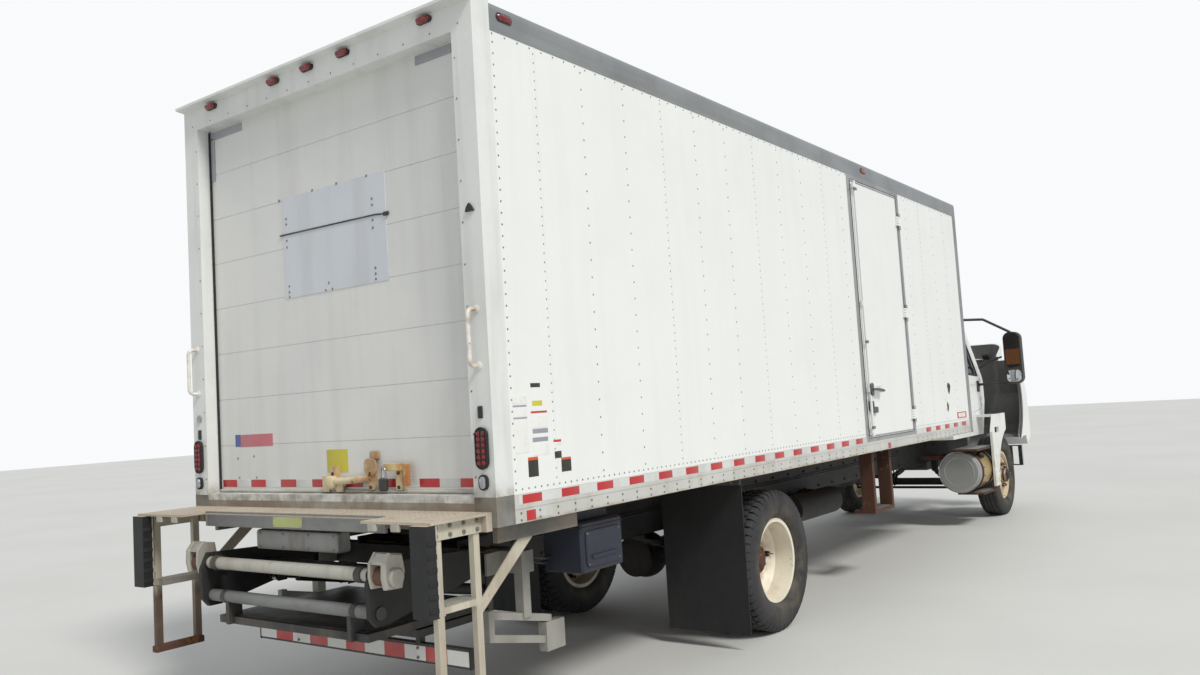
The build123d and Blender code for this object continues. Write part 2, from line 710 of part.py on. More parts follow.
def door_outline(inset):
    """The cab door seen from the side, drawn in by a gap."""
    x, low, high = cab_rear_x, cab_floor_z, cab_roof_z
    points = ((x + 230, low + 50), (x + 830, low + 50), (x + 980, low + 290), (x + 1300, low + 320),
              (x + 1300, low + 750), (x + 890, high - 95), (x + 230, high - 95))
    with BuildSketch(Plane.XZ) as shape:
        with BuildLine():
            Polyline(*points, close=True)
        make_face()
        if inset:
            offset(amount=-inset, mode=Mode.REPLACE)
    return shape.sketch


def window_outline(inset):
    """The door's window seen from the side."""
    x, high = cab_rear_x, cab_roof_z
    points = ((x + 300, 1890), (x + 1215, 1830), (x + 845, high - 175), (x + 300, high - 175))
    with BuildSketch(Plane.XZ) as shape:
        with BuildLine():
            Polyline(*points, close=True)
        make_face()
        if inset:
            offset(amount=-inset, mode=Mode.REPLACE)
    return shape.sketch


hull_outer = cab_hull(0)
hull_inner = cab_hull(cab_wall)
cab_hinge_x = cab_rear_x + 1300
cab_hinge_y = cab_half_width + 6
cab_hinges = (1490, 1740)

with BuildPart() as cab_shell:
    add(hull_outer)
    add(hull_inner, mode=Mode.SUBTRACT)
    extrude(door_outline(0), amount=cab_half_width + 50, both=True, mode=Mode.SUBTRACT)
    with BuildSketch(Plane.YZ.offset(cab_rear_x + 950)) as screen:
        with Locations((0, 2120)):
            Trapezoid(1720, 560, 86)
    extrude(amount=700, mode=Mode.SUBTRACT)
    with BuildSketch(Plane.YZ.offset(cab_rear_x - 20)) as back_light:
        with Locations((0, 2130)):
            RectangleRounded(900, 430, 60)
    extrude(amount=120, mode=Mode.SUBTRACT)
    for side in SIDES:
        for z in cab_hinges:
            for low, high in ((z - 60, z - 20 - running_gap), (z + 20 + running_gap, z + 60)):
                rod((cab_hinge_x, side * cab_hinge_y, low), (cab_hinge_x, side * cab_hinge_y, high), 5.5)
                block((cab_hinge_x + 3, cab_hinge_x + 40),
                      side_span(side, cab_half_width, cab_half_width + 9),
                      (low, high))
save(cab_shell, "cab_shell")

# Windscreen and back window
with BuildPart() as cab_glass:
    add(hull_outer)
    add(cab_hull(6), mode=Mode.SUBTRACT)
    with BuildSketch(Plane.YZ.offset(cab_rear_x - 20)) as panes:
        with Locations((0, 2120)):
            Trapezoid(1720, 560, 86)
    extrude(amount=cab_length + 100, mode=Mode.INTERSECT)
    block((cab_rear_x + 40, cab_rear_x + 950), (-1100, 1100), (1500, 2700), mode=Mode.SUBTRACT)
    with BuildSketch(Plane.YZ.offset(cab_rear_x - 20)) as keep_back:
        with Locations((0, 2130)):
            Rectangle(2200, 1000)
            RectangleRounded(899.4, 429.4, 60, mode=Mode.SUBTRACT)
    extrude(amount=200, mode=Mode.SUBTRACT)
save(cab_glass, "cab_glass")

# Cab doors with their windows
for side, name in ((1, "left"), (-1, "right")):
    with BuildPart() as cab_door:
        add(hull_outer)
        add(hull_inner, mode=Mode.SUBTRACT)
        extrude(door_outline(door_gap), amount=cab_half_width + 50, both=True, mode=Mode.INTERSECT)
        extrude(window_outline(0), amount=cab_half_width + 50, both=True, mode=Mode.SUBTRACT)
        block((cab_rear_x, cab_front_x), side_span(-side, 0, cab_half_width + 50), (cab_floor_z, cab_roof_z),
              mode=Mode.SUBTRACT)
        for z in cab_hinges:
            rod((cab_hinge_x, side * cab_hinge_y, z - 20), (cab_hinge_x, side * cab_hinge_y, z + 20), 5.5)
            block((cab_hinge_x - 40, cab_hinge_x - 3), side_span(side, cab_half_width, cab_half_width + 9),
                  (z - 20, z + 20))
    save(cab_door, "cab_door_" + name)
    with BuildPart() as door_glass:
        add(cab_hull(20))
        add(cab_hull(26), mode=Mode.SUBTRACT)
        extrude(window_outline(0.3), amount=cab_half_width + 50, both=True, mode=Mode.INTERSECT)
        block((cab_rear_x, cab_front_x), side_span(-side, 0, cab_half_width + 50), (cab_floor_z, cab_roof_z),
              mode=Mode.SUBTRACT)
    save(door_glass, "door_glass_" + name)

# Dash, seats and steering wheel
wheel_plane = Plane(origin=(cab_front_x - 520, 480, 1730), z_dir=(-0.8, 0, 0.6))
column_start = tuple(wheel_plane.origin)
column_end = tuple(wheel_plane.origin + wheel_plane.z_dir * -200)
with BuildPart() as dashboard:
    dash = outline(((cab_front_x - 90, 1540), (cab_front_x - 100, 1735), (cab_front_x - 330, 1760),
                    (cab_front_x - 430, 1640), (cab_front_x - 330, 1400), (cab_front_x - 190, 1300)),
                    Plane.XZ)
    extrude(dash, amount=cab_half_width - cab_wall - 10, both=True)
    dash_half = cab_half_width - cab_wall - running_gap
    block((cab_front_x - 170, cab_front_x - 96), (-dash_half, dash_half), (1560, 1730))
    with Locations(wheel_plane.location):
        Torus(215, 14)
        Cylinder(48, 40)
        for turn in (0, 120, 240):
            with Locations(Location((0, 0, 0), (0, 0, turn))):
                Box(202, 24, 10, align=(Align.MIN, Align.CENTER, Align.CENTER))
    rod(column_start, column_end, 24)
save(dashboard, "dashboard")

with BuildPart() as seats:
    for y in (-480, 480):
        floor = cab_floor_z + cab_wall
        block((cab_rear_x + 230, cab_rear_x + 690), (y - 190, y + 190), (floor, floor + 250))
        block((cab_rear_x + 200, cab_rear_x + 730), (y - 250, y + 250), (floor + 250, floor + 400))
        back = outline(((cab_rear_x + 110, floor + 1080), (cab_rear_x + 220, floor + 1080),
                        (cab_rear_x + 330, floor + 400), (cab_rear_x + 200, floor + 400)),
                        Plane.XZ.offset(-y))
        extrude(back, amount=240, both=True)
save(seats, "seats")

# Mirrors on looped arms, their pads lying on the doors
for side, name in ((1, "left"), (-1, "right")):
    with BuildPart() as mirror:
        x = cab_rear_x
        add(cab_hull(-mirror_pad))
        add(hull_outer, mode=Mode.SUBTRACT)
        with BuildSketch(Plane.XZ) as pads:
            with Locations((x + 850, 2540)):
                Rectangle(70, 50)
            with Locations((x + 1200, 1690)):
                Rectangle(70, 140)
        extrude(pads.sketch, amount=cab_half_width + 50, both=True, mode=Mode.INTERSECT)
        block((x, cab_front_x), side_span(-side, 0, cab_half_width + 50), (cab_floor_z, cab_roof_z),
              mode=Mode.SUBTRACT)
        with BuildLine() as arm_path:
            FilletPolyline((x + 850, side * 925, 2540), (x + 960, side * 1200, 2525),
                           (x + 1100, side * 1490, 2335),
                           (x + 1110, side * 1560, 1710), (x + 1200, side * 1008, 1712), radius=60)
        with BuildSketch(Plane(origin=arm_path.line @ 0, z_dir=arm_path.line % 0)) as arm_section:
            Circle(16)
        sweep(arm_section.sketch, path=arm_path.line)
        with BuildSketch(Plane.YZ.offset(x + 1075)) as housing:
            with Locations((side * 1487.5, 2020)):
                RectangleRounded(205, 650, 85)
        extrude(housing.sketch, amount=105)
    save(mirror, "mirror_" + name)

# White skirts behind the front wheels, cut low at the back for the doors' sweep
with BuildPart() as cab_skirts:
    x = cab_rear_x
    for side in SIDES:
        skirt = outline(((x + 880, 450), (x + 1180, 450), (x + 1540, 900), (x + 1540, 1330),
                         (x + 1015, 1330),
                         (x + 880, 1120)), Plane.XZ.offset(-side * fender_half))
        extrude(skirt, amount=side * 30)
        block((x + 1020, x + 1290), side_span(side, cab_half_width, fender_half), (1300, 1330))
    block((x + 1000, x + 1200), (-fender_half - 5, fender_half + 5), (1100, 1170), mode=Mode.SUBTRACT)
    with Locations(Location((front_axle_x, 0, wheel_z), (90, 0, 0))):
        Cylinder(arch_radius, 2 * fender_half + 20, mode=Mode.SUBTRACT)
save(cab_skirts, "cab_skirts")


def hood_section(x, half, top, corner, low):
    """A section of the hood across the truck, rounded at its top corners."""
    with BuildSketch(Plane.YZ.offset(x)) as section:
        with BuildLine():
            Line((-half, low), (-half, top - corner))
            RadiusArc((-half, top - corner), (-half + corner, top), corner)
            Line((-half + corner, top), (half - corner, top))
            RadiusArc((half - corner, top), (half, top - corner), corner)
            Line((half, top - corner), (half, low))
            Line((half, low), (-half, low))
        make_face()
    return section.sketch


def fender_points(inset):
    """The fender seen from the side, from the hinge; inset draws it in by a wall."""
    return ((-1045, -400), (-1045, 660 - inset), (-500, 700 - inset), (-90, 530 - inset),
            (hood_nose - inset, 420), (hood_nose - inset, 215 + inset), (-80 - inset, 215 + inset),
            (-150 - inset, 80), (-215 - inset, -185), (-215 - inset, -400))


def hood_form(inset, rear, low):
    """The hood's outer form, or the hollow inside it."""
    with BuildPart() as form:
        loft([
            hood_section(rear, hood_rear_half - inset, hood_rear_top - inset, 190 - inset, low),
            hood_section(-420, 900 - inset, 860 - inset, 180 - inset, low),
            hood_section(hood_nose - 60, hood_nose_half + 30 - inset, hood_nose_top + 30 - inset,
                         160 - inset, low),
            hood_section(hood_nose - inset, hood_nose_half - inset, hood_nose_top - inset,
                         140 - inset, low),
        ], ruled=True)
        for side in SIDES:
            fender = outline(fender_points(inset), Plane.XZ.offset(-side * fender_root))
            extrude(fender, amount=-side * (fender_half - inset - fender_root))
    return form.part


# The hood is drawn shut round its hinge, then tipped open
with BuildPart() as hood_shut:
    add(hood_form(0, hood_rear, 215))
    block((hood_rear - 10, -1045), (-hood_rear_half, hood_rear_half), (0, 640), mode=Mode.SUBTRACT)
    add(hood_form(hood_wall, hood_rear - 1, -600), mode=Mode.SUBTRACT)
    with Locations(Location((-hinge_ahead, 0, wheel_z - hood_datum_z), (90, 0, 0))):
        Cylinder(arch_radius, 2 * fender_half + 20, mode=Mode.SUBTRACT)
    block((-1100, 100), (-1300, 1300), (-700, wheel_z - hood_datum_z), mode=Mode.SUBTRACT)
    block((-400, 100), (-1300, 1300), (-700, -40), mode=Mode.SUBTRACT)
    block((0, 100), (-400, 400), (260, 560), mode=Mode.SUBTRACT)
    for side in SIDES:
        block((0, 100), side_span(side, 760, 1080), (240, 390), mode=Mode.SUBTRACT)
        link = outline(((-28, hinge_rise - 28), (28, hinge_rise - 28), (28, 220), (45, 220), (45, 256),
                        (-10, 256), (-28, hinge_rise + 20)), Plane.XZ.offset(-side * link_y))
        extrude(link, amount=-side * link_width)
        with Locations(Location((0, side * (link_y + link_width / 2), hinge_rise), (90, 0, 0))):
            Cylinder(hood_pin + running_gap, 80, mode=Mode.SUBTRACT)
hood_turn = Location((hinge_x, 0, hinge_z), (0, hood_open_angle, 0)) * Location((0, 0, -hinge_rise))
with BuildPart() as hood:
    add(hood_shut.part.moved(hood_turn))
save(hood, "hood")

with BuildPart() as grille_shut:
    for index in range(6):
        z = 275 + index * 50
        block((20, 34), (-399.7, 399.7), (z, z + 18))
    for y in (-200, 0, 200):
        block((8, 20), (y - 12, y + 12), (260.3, 559.7))
    for side in SIDES:
        block((20, 50), side_span(side, 760.3, 1079.7), (240.3, 389.7))
with BuildPart() as grille:
    add(grille_shut.part.moved(hood_turn))
save(grille, "grille")

# Front bumper
with BuildPart() as bumper:
    with BuildSketch(Plane.XY.offset(560)) as bar:
        with BuildLine():
            Polyline((bumper_x - 80, -1130), (bumper_x - 30, -1130), (bumper_x, -900), (bumper_x, 900),
                     (bumper_x - 30, 1130), (bumper_x - 80, 1130), close=True)
        make_face()
    extrude(amount=280)
    block((bumper_x - 80, bumper_x - 12), (-1080, 1080), (575, 825), mode=Mode.SUBTRACT)
    for side in SIDES:
        bracket_x = (bumper_x - 90, bumper_x - 12)
        block(bracket_x, side_span(side, rail_half_width - 50, rail_half_width),
              (rail_bottom, rail_bottom + horn_height - 15))
    with Locations(Location((bumper_x - 6, 0, 700), (0, 90, 0))):
        with GridLocations(plate_spacing_z, plate_spacing_y, 2, 2):
            Cylinder(plate_hole, 20, mode=Mode.SUBTRACT)
save(bumper, "bumper")

# Lift gate dock: worn deck plate, step frames and rubber bumpers
gate_rear_x = rear_x - gate_reach
with BuildPart() as gate_dock:
    deck_half = frame_y + 110
    under_deck = deck_z - deck_plate
    recess_y = (-arm_y - 60, arm_y + 60)
    block((gate_rear_x + 30, rear_x), (-deck_half, deck_half), (under_deck, deck_z))
    block((gate_rear_x + 29, gate_rear_x + 30 + deck_recess), recess_y, (deck_z - 20, deck_z + 1),
          mode=Mode.SUBTRACT)
    block((rear_x - 40, rear_x), (-deck_half, deck_half), (deck_z - 90, under_deck))
    block((gate_rear_x + 180, gate_rear_x + 196), recess_y, (deck_z - 80, under_deck))
    # Long narrow housing that hangs below the deck on two straps
    block((rear_x - 200, rear_x - 120), (-350, 350), (deck_z - 200, deck_z - 100))
    for y in (-330, 330):
        block((rear_x - 170, rear_x - 150), (y - 20, y + 20), (deck_z - 200, under_deck))
    leg_x = (rear_x + rear_leg, rear_x + front_leg)
    for side in SIDES:
        legs = side_span(side, leg_y, leg_y + leg_width)
        plate = side_span(side, leg_y + leg_width, leg_y + leg_width + 8)
        block((gate_rear_x + 60, rear_x), plate, (deck_z - 90, under_deck))
        for x in leg_x:
            block((x, x + leg_depth), legs, (leg_foot_z, under_deck))
        tread = side_span(side, leg_y + leg_width - 120, leg_y + leg_width)
        block((leg_x[0], leg_x[1] + leg_depth), tread, (step_z, step_z + 30))
        block((leg_x[0], leg_x[1] + leg_depth), legs, (leg_foot_z, leg_foot_z + 30))
        bumper_y = side_span(side, frame_y, deck_half)
        block((gate_rear_x, gate_rear_x + 60), bumper_y, (step_z, under_deck))
        block((gate_rear_x + 60, leg_x[0]), legs, (step_z + 75, step_z + 115))
        brace = outline(((rear_x - 60, 760), (rear_x - 60, 825), (rear_x + 270, 1110), (rear_x + 385, 1110)),
                        Plane.XZ.offset(-side * (leg_y + 10)))
        extrude(brace, amount=-side * 8)
        block((rear_x + 80, rear_x + 716), legs, (1090, rail_bottom_z))
save(gate_dock, "gate_dock")

# Fixed gate frame: cross tube, pivot cheeks and cylinder ears behind the rail ends
cylinder_base = (rear_x + pivot_station + 100, pivot_z - 170)
cylinder_eye = (rear_x + pivot_station - 420, pivot_z - 60)
with BuildPart() as gate_frame:
    pivot_x = rear_x + pivot_station
    block((pivot_x + 60, pivot_x + 160), (-arm_y - 200, arm_y + 200), (pivot_z - 60, pivot_z + 60))
    for side in SIDES:
        hanger = side_span(side, arm_y + 140, arm_y + 200)
        block((pivot_x + 60, pivot_x + 120), hanger, (pivot_z - 300, pivot_z - 60))
        block((pivot_x + 240, pivot_x + 400), hanger, (pivot_z - 520, pivot_z - 360))
        for low in (pivot_z - 340, pivot_z - 460):
            strut = outline(((pivot_x - 210, low + 90), (pivot_x - 210, low + 130),
                             (pivot_x + 300, low + 15),
                             (pivot_x + 300, low - 25)), Plane.XZ.offset(-side * (arm_y + 150)))
            extrude(strut, amount=-side * 40)
        block((pivot_x - 210, pivot_x - 170), side_span(side, arm_y + 150, arm_y + 190),
              (pivot_z - 370, pivot_z - 210))
    for side in SIDES:
        for near in (arm_y - 52, arm_y + 36):
            block((pivot_x - 60, pivot_x + 160), side_span(side, near, near + 16),
                  (pivot_z - 60, pivot_z + 60))
        rod((pivot_x, side * (arm_y - 40), pivot_z), (pivot_x, side * (arm_y + 40), pivot_z), 25)
        block((pivot_x + 60, pivot_x + 320), side_span(side, rail_half_width, rail_half_width + 16),
              (pivot_z - 60, rail_top_z - 20))
        for near in (cylinder_y - 46, cylinder_y + 34):
            block((pivot_x + 65, pivot_x + 135), side_span(side, near, near + 12),
                  (cylinder_base[1] - 30, pivot_z - 60))
        rod((cylinder_base[0], side * (cylinder_y - 40), cylinder_base[1]),
            (cylinder_base[0], side * (cylinder_y + 40), cylinder_base[1]), 14.7)
save(gate_frame, "gate_frame")

# Lift arms with their cross tubes and cylinder lugs
tube_x = rear_x + hinge_station
with BuildPart() as gate_arms:
    for side in SIDES:
        arm = outline(((pivot_x + 45, pivot_z + 40), (pivot_x - 200, pivot_z + 100),
                       (tube_x - 20, hinge_tube_z + 240), (tube_x - 65, hinge_tube_z + 150),
                       (tube_x - 60, hinge_tube_z - 15), (tube_x - 20, hinge_tube_z - 62),
                       (tube_x + 55, hinge_tube_z - 62), (pivot_x - 150, pivot_z - 60),
                       (pivot_x + 30, pivot_z - 45)), Plane.XZ.offset(-side * (arm_y - 15)))
        extrude(arm, amount=-side * 30)
    head_z = hinge_tube_z + 185
    rod((tube_x - 10, -arm_y - 110, head_z), (tube_x - 10, arm_y + 110, head_z), lift_tube)
    lug_x, lug_z = cylinder_eye
    block((lug_x - 30, lug_x + 30), (-arm_y, arm_y), (lug_z + 45, lug_z + 95))
    for side in SIDES:
        for near in (cylinder_y - 46, cylinder_y + 34):
            block((lug_x - 30, lug_x + 30), side_span(side, near, near + 12), (lug_z - 30, lug_z + 45))
        rod((lug_x, side * (cylinder_y - 40), lug_z), (lug_x, side * (cylinder_y + 40), lug_z), 14)
        rod((pivot_x, side * (arm_y - 20), pivot_z), (pivot_x, side * (arm_y + 20), pivot_z), 25.3,
            mode=Mode.SUBTRACT)
        rod((tube_x, side * (arm_y - 20), hinge_tube_z), (tube_x, side * (arm_y + 20), hinge_tube_z), 32.3,
            mode=Mode.SUBTRACT)
save(gate_arms, "gate_arms")

# Lift cylinders: barrels on the frame, rods to the arms
base_point = Vector(cylinder_base[0], 0, cylinder_base[1])
eye_point = Vector(cylinder_eye[0], 0, cylinder_eye[1])
cylinder_way = (eye_point - base_point).normalized()
with BuildPart() as gate_cylinders:
    for side in SIDES:
        offset_y = Vector(0, side * cylinder_y, 0)
        near = base_point + offset_y
        mouth = near + cylinder_way * 390
        rod(tuple(near + cylinder_way * 20), tuple(mouth), 31)
        rod((near.X, near.Y - 20, near.Z), (near.X, near.Y + 20, near.Z), 28)
        rod((near.X, near.Y - 22, near.Z), (near.X, near.Y + 22, near.Z), 15, mode=Mode.SUBTRACT)
        rod(tuple(near + cylinder_way * 60), tuple(near + cylinder_way * 391), 18.3, mode=Mode.SUBTRACT)
save(gate_cylinders, "gate_cylinders")

with BuildPart() as gate_rods:
    for side in SIDES:
        offset_y = Vector(0, side * cylinder_y, 0)
        tip = eye_point + offset_y
        rod(tuple(base_point + offset_y + cylinder_way * 200), tuple(tip - cylinder_way * 26), 18)
        rod((tip.X, tip.Y - 18, tip.Z), (tip.X, tip.Y + 18, tip.Z), 34)
        rod((tip.X, tip.Y - 20, tip.Z), (tip.X, tip.Y + 20, tip.Z), 24, mode=Mode.SUBTRACT)
save(gate_rods, "gate_rods")

# Folded platform under the arms, turning on its round tube, with the taped guard bar below
with BuildPart() as gate_platform:
    rod((tube_x, -arm_y - 25, hinge_tube_z), (tube_x, arm_y + 25, hinge_tube_z), 32)
    block((tube_x, tube_x + 900), (-platform_half, platform_half), (hinge_tube_z - 150, hinge_tube_z - 110))
    for side in SIDES:
        block((tube_x - 25, tube_x + 60), side_span(side, platform_half - 130, platform_half - 100),
              (hinge_tube_z - 150, hinge_tube_z))
    platform_y = (-platform_half, platform_half)
    block((tube_x + 330, tube_x + 900), platform_y, (hinge_tube_z - 200, hinge_tube_z - 160))
    block((tube_x + 860, tube_x + 900), platform_y, (hinge_tube_z - 170, hinge_tube_z - 140))
    bar_x = rear_x + 170
    block((bar_x, bar_x + 40), (-900, 900), (425, 525))
    for side in SIDES:
        block((bar_x, bar_x + 40), side_span(side, 500, 530), (525, hinge_tube_z - 200))
save(gate_platform, "gate_platform")

# Power unit box of the gate on the right
with BuildPart() as gate_power_box:
    block((rear_x + 800, rear_x + 1180), (-1170, -900), (820, 1090))
    block((rear_x + 840, rear_x + 1140), (-1100, -940), (1090, rail_bottom_z))
save(gate_power_box, "gate_power_box")
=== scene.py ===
import sys
import logging
import math
from dataclasses import dataclass
from enum import Enum
from functools import lru_cache

import bmesh
import bpy
import numpy as np
from mathutils import Matrix, Vector


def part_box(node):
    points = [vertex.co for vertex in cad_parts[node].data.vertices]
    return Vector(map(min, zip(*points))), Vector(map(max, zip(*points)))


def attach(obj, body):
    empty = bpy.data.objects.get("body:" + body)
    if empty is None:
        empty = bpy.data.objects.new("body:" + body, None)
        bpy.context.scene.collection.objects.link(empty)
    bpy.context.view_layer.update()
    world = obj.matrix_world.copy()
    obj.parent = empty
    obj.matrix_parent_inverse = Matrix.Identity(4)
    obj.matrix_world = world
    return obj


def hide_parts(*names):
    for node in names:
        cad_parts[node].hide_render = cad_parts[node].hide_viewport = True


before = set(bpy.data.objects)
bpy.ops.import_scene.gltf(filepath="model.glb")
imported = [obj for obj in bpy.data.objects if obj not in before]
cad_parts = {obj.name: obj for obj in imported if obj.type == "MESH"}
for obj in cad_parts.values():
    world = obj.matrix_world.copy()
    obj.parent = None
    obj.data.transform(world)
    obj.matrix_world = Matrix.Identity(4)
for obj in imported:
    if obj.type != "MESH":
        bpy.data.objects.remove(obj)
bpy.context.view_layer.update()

log = logging.getLogger("box_truck")

Socket = bpy.types.NodeSocket
Colour = tuple[float, float, float, float]
Place = tuple[float, float, float]
Pair = tuple[float, float]


def paint(red: int, green: int, blue: int) -> Colour:
    """A screen colour of 0 to 255 made linear: below 0.04 it is divided by 12.92, above it is a power of 2.4.

    Args:
        red, green, blue: the colour as a screen shows it.
    Returns:
        The linear colour with full opacity.
    """
    shares = (channel / 255 for channel in (red, green, blue))
    linear = (c / 12.92 if c <= 0.04045 else ((c + 0.055) / 1.055) ** 2.4 for c in shares)
    return (*linear, 1.0)


class Side(Enum):
    """The two sides of the truck, with the sign of Y on each."""

    LEFT = 1
    RIGHT = -1

    @property
    def word(self) -> str:
        """The side's word in piece names."""
        return self.name.lower()


@dataclass(frozen=True)
class Stations:
    """Places along the truck that the dressing hangs on, in metres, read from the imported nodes."""

    rear: float
    side: float
    skin: float
    roof: float
    wall_top: float
    rail_low: float
    floor: float
    cab: float
    axle_front: float
    axle_rear: float
    wheel_z: float
    bumper: float

    @classmethod
    def read(cls) -> "Stations":
        """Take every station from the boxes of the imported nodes."""
        wall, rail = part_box("wall_left"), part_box("lower_rails")
        frame_depth = 0.131
        front_wheel, rear_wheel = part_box("front_tyre_right"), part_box("rear_tyres_right")
        return cls(
            rear=wall[0].x - frame_depth,
            side=rail[1].y,
            skin=wall[1].y,
            roof=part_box("upper_frame")[1].z,
            wall_top=wall[1].z,
            rail_low=rail[0].z,
            floor=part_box("box_floor")[1].z,
            cab=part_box("cab_shell")[0].x,
            axle_front=(front_wheel[0].x + front_wheel[1].x) / 2,
            axle_rear=(rear_wheel[0].x + rear_wheel[1].x) / 2,
            wheel_z=(rear_wheel[0].z + rear_wheel[1].z) / 2,
            bumper=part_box("bumper")[1].x,
        )


AT = Stations.read()


# Shapes as arrays


@dataclass(frozen=True)
class Shape:
    """A closed form as arrays: its points, and its faces grouped by their number of corners."""

    points: np.ndarray
    faces: tuple[np.ndarray, ...]

    def moved(self, offset: Place) -> "Shape":
        """The shape shifted by one offset."""
        return Shape(self.points + np.asarray(offset, float), self.faces)

    def turned(self, axis: str, degrees: float, centre: Place = (0, 0, 0)) -> "Shape":
        """The shape turned about an axis through a centre: every point times one rotation matrix.

        Args:
            axis: X, Y or Z.
            degrees: the angle by the right-hand rule.
            centre: a point of the axis.
        Returns:
            The turned shape.
        """
        matrix = np.array(Matrix.Rotation(math.radians(degrees), 3, axis))
        middle = np.asarray(centre, float)
        return Shape((self.points - middle) @ matrix.T + middle, self.faces)

    def mirrored(self) -> "Shape":
        """The shape on the truck's other side: Y changes sign and every face is read backwards."""
        return Shape(self.points * (1, -1, 1), tuple(group[:, ::-1] for group in self.faces))

    def on(self, side: Side) -> "Shape":
        """The shape, drawn on the left, on either side of the truck."""
        return self if side is Side.LEFT else self.mirrored()

    def repeated(self, offsets: np.ndarray) -> "Shape":
        """The shape at each offset: every point plus every offset, as one array.

        Args:
            offsets: one row for each copy.
        Returns:
            All the copies as one shape.
        """
        offsets = np.asarray(offsets, float)
        points = (self.points[None] + offsets[:, None]).reshape(-1, 3)
        steps = np.arange(len(offsets))[:, None, None] * len(self.points)
        faces = tuple((group[None] + steps).reshape(-1, group.shape[1]) for group in self.faces)
        return Shape(points, faces)


def joined(*shapes: Shape) -> Shape:
    """Several shapes as one: points are stacked and face numbers are shifted by the points before them."""
    starts = np.cumsum([0] + [len(shape.points) for shape in shapes[:-1]])
    faces = tuple(group + start for shape, start in zip(shapes, starts) for group in shape.faces)
    return Shape(np.concatenate([shape.points for shape in shapes]), faces)


def lofted(rings: np.ndarray, closed: bool = False) -> Shape:
    """Rings of equal length joined in order by four-sided faces.

    Args:
        rings: an array, or a list of arrays, of ring, point, coordinate.
        closed: whether the last ring joins the first; otherwise both ends get a flat face.
    Returns:
        The closed shape.
    """
    rings = np.asarray(rings, float)
    rows, columns = rings.shape[:2]
    numbers = np.arange(rows * columns).reshape(rows, columns)
    across = np.roll(numbers, -1, axis=1)
    after = np.roll(numbers, -1, axis=0)
    after_across = np.roll(after, -1, axis=1)
    last = rows if closed else rows - 1
    quads = np.stack([numbers, across, after_across, after], axis=-1)[:last].reshape(-1, 4)
    faces = (quads,) if closed else (quads, numbers[:1, ::-1], numbers[-1:])
    return Shape(rings.reshape(-1, 3), faces)


def swept(path: np.ndarray, profile: np.ndarray, up: Place = (0, 0, 1), closed: bool = False) -> Shape:
    """A profile carried along a path: pair (a, b) lies at path + a s + b n.

    Here t is the path's direction, s is t cross up and n is s cross t, each of length one.

    Args:
        path: the points along the way.
        profile: the closed outline as pairs.
        up: a direction that the path never takes.
        closed: whether the path ends where it starts.
    Returns:
        The tube, bar or strip.
    """
    path, profile = np.asarray(path, float), np.asarray(profile, float)
    ahead = np.roll(path, -1, 0) - np.roll(path, 1, 0) if closed else np.gradient(path, axis=0)
    ahead /= np.linalg.norm(ahead, axis=1, keepdims=True)
    across = np.cross(ahead, up)
    across /= np.linalg.norm(across, axis=1, keepdims=True)
    normal = np.cross(across, ahead)
    rings = path[:, None] + profile[None, :, :1] * across[:, None] + profile[None, :, 1:] * normal[:, None]
    return lofted(rings, closed)


def round_profile(radius: float, sides: int = 10, flat: float = 1.0) -> np.ndarray:
    """A circle, or an ellipse where flat is not 1: (r cos v, flat r sin v)."""
    turn = np.linspace(0, 2 * math.pi, sides, endpoint=False)
    return np.column_stack([radius * np.cos(turn), radius * flat * np.sin(turn)])


def soft_rectangle(half_a: float, half_b: float, corner: float, steps: int = 3) -> np.ndarray:
    """A rectangle with round corners: each corner's centre plus corner (cos v, sin v) over a quarter turn.

    Args:
        half_a, half_b: half the two sides.
        corner: the corners' radius.
        steps: points of each corner.
    Returns:
        The outline as pairs.
    """
    corner = min(corner, half_a * 0.999, half_b * 0.999)
    signs = np.array([(1, 1), (-1, 1), (-1, -1), (1, -1)], float)
    centres = signs * (half_a - corner, half_b - corner)
    turn = np.linspace(0, math.pi / 2, steps)[None, :] + np.arange(4)[:, None] * math.pi / 2
    arcs = np.stack([np.cos(turn), np.sin(turn)], axis=-1) * corner
    return (centres[:, None] + arcs).reshape(-1, 2)


def slab(low: Place, high: Place, bevel: float = 0.002, corner: float | None = None, axis: int = 2,
         steps: int = 3) -> Shape:
    """A block with round edges: a soft rectangle carried along one axis, drawn in by the bevel at both ends.

    Args:
        low, high: its lowest and highest corners.
        bevel: how far the end edges are drawn in.
        corner: the radius of the edges along the axis, or the bevel.
        axis: 0, 1 or 2, the way that the section is carried.
        steps: points of each round corner.
    Returns:
        The closed block.
    """
    low, high = np.asarray(low, float), np.asarray(high, float)
    first, second = [(1, 2), (2, 0), (0, 1)][axis]
    half = (high - low) / 2
    bevel = min(bevel, half.min() * 0.9)
    radius = bevel if corner is None else corner
    middle = (low + high) / 2
    stations = [(low[axis], bevel), (low[axis] + bevel, 0.0), (high[axis] - bevel, 0.0), (high[axis], bevel)]
    rings = np.zeros((4, 4 * steps, 3))
    for ring, (level, inset) in zip(rings, stations):
        outline = soft_rectangle(half[first] - inset, half[second] - inset, max(radius - inset, bevel * 0.3),
                                 steps)
        ring[:, first] = middle[first] + outline[:, 0]
        ring[:, second] = middle[second] + outline[:, 1]
        ring[:, axis] = level
    return lofted(rings)


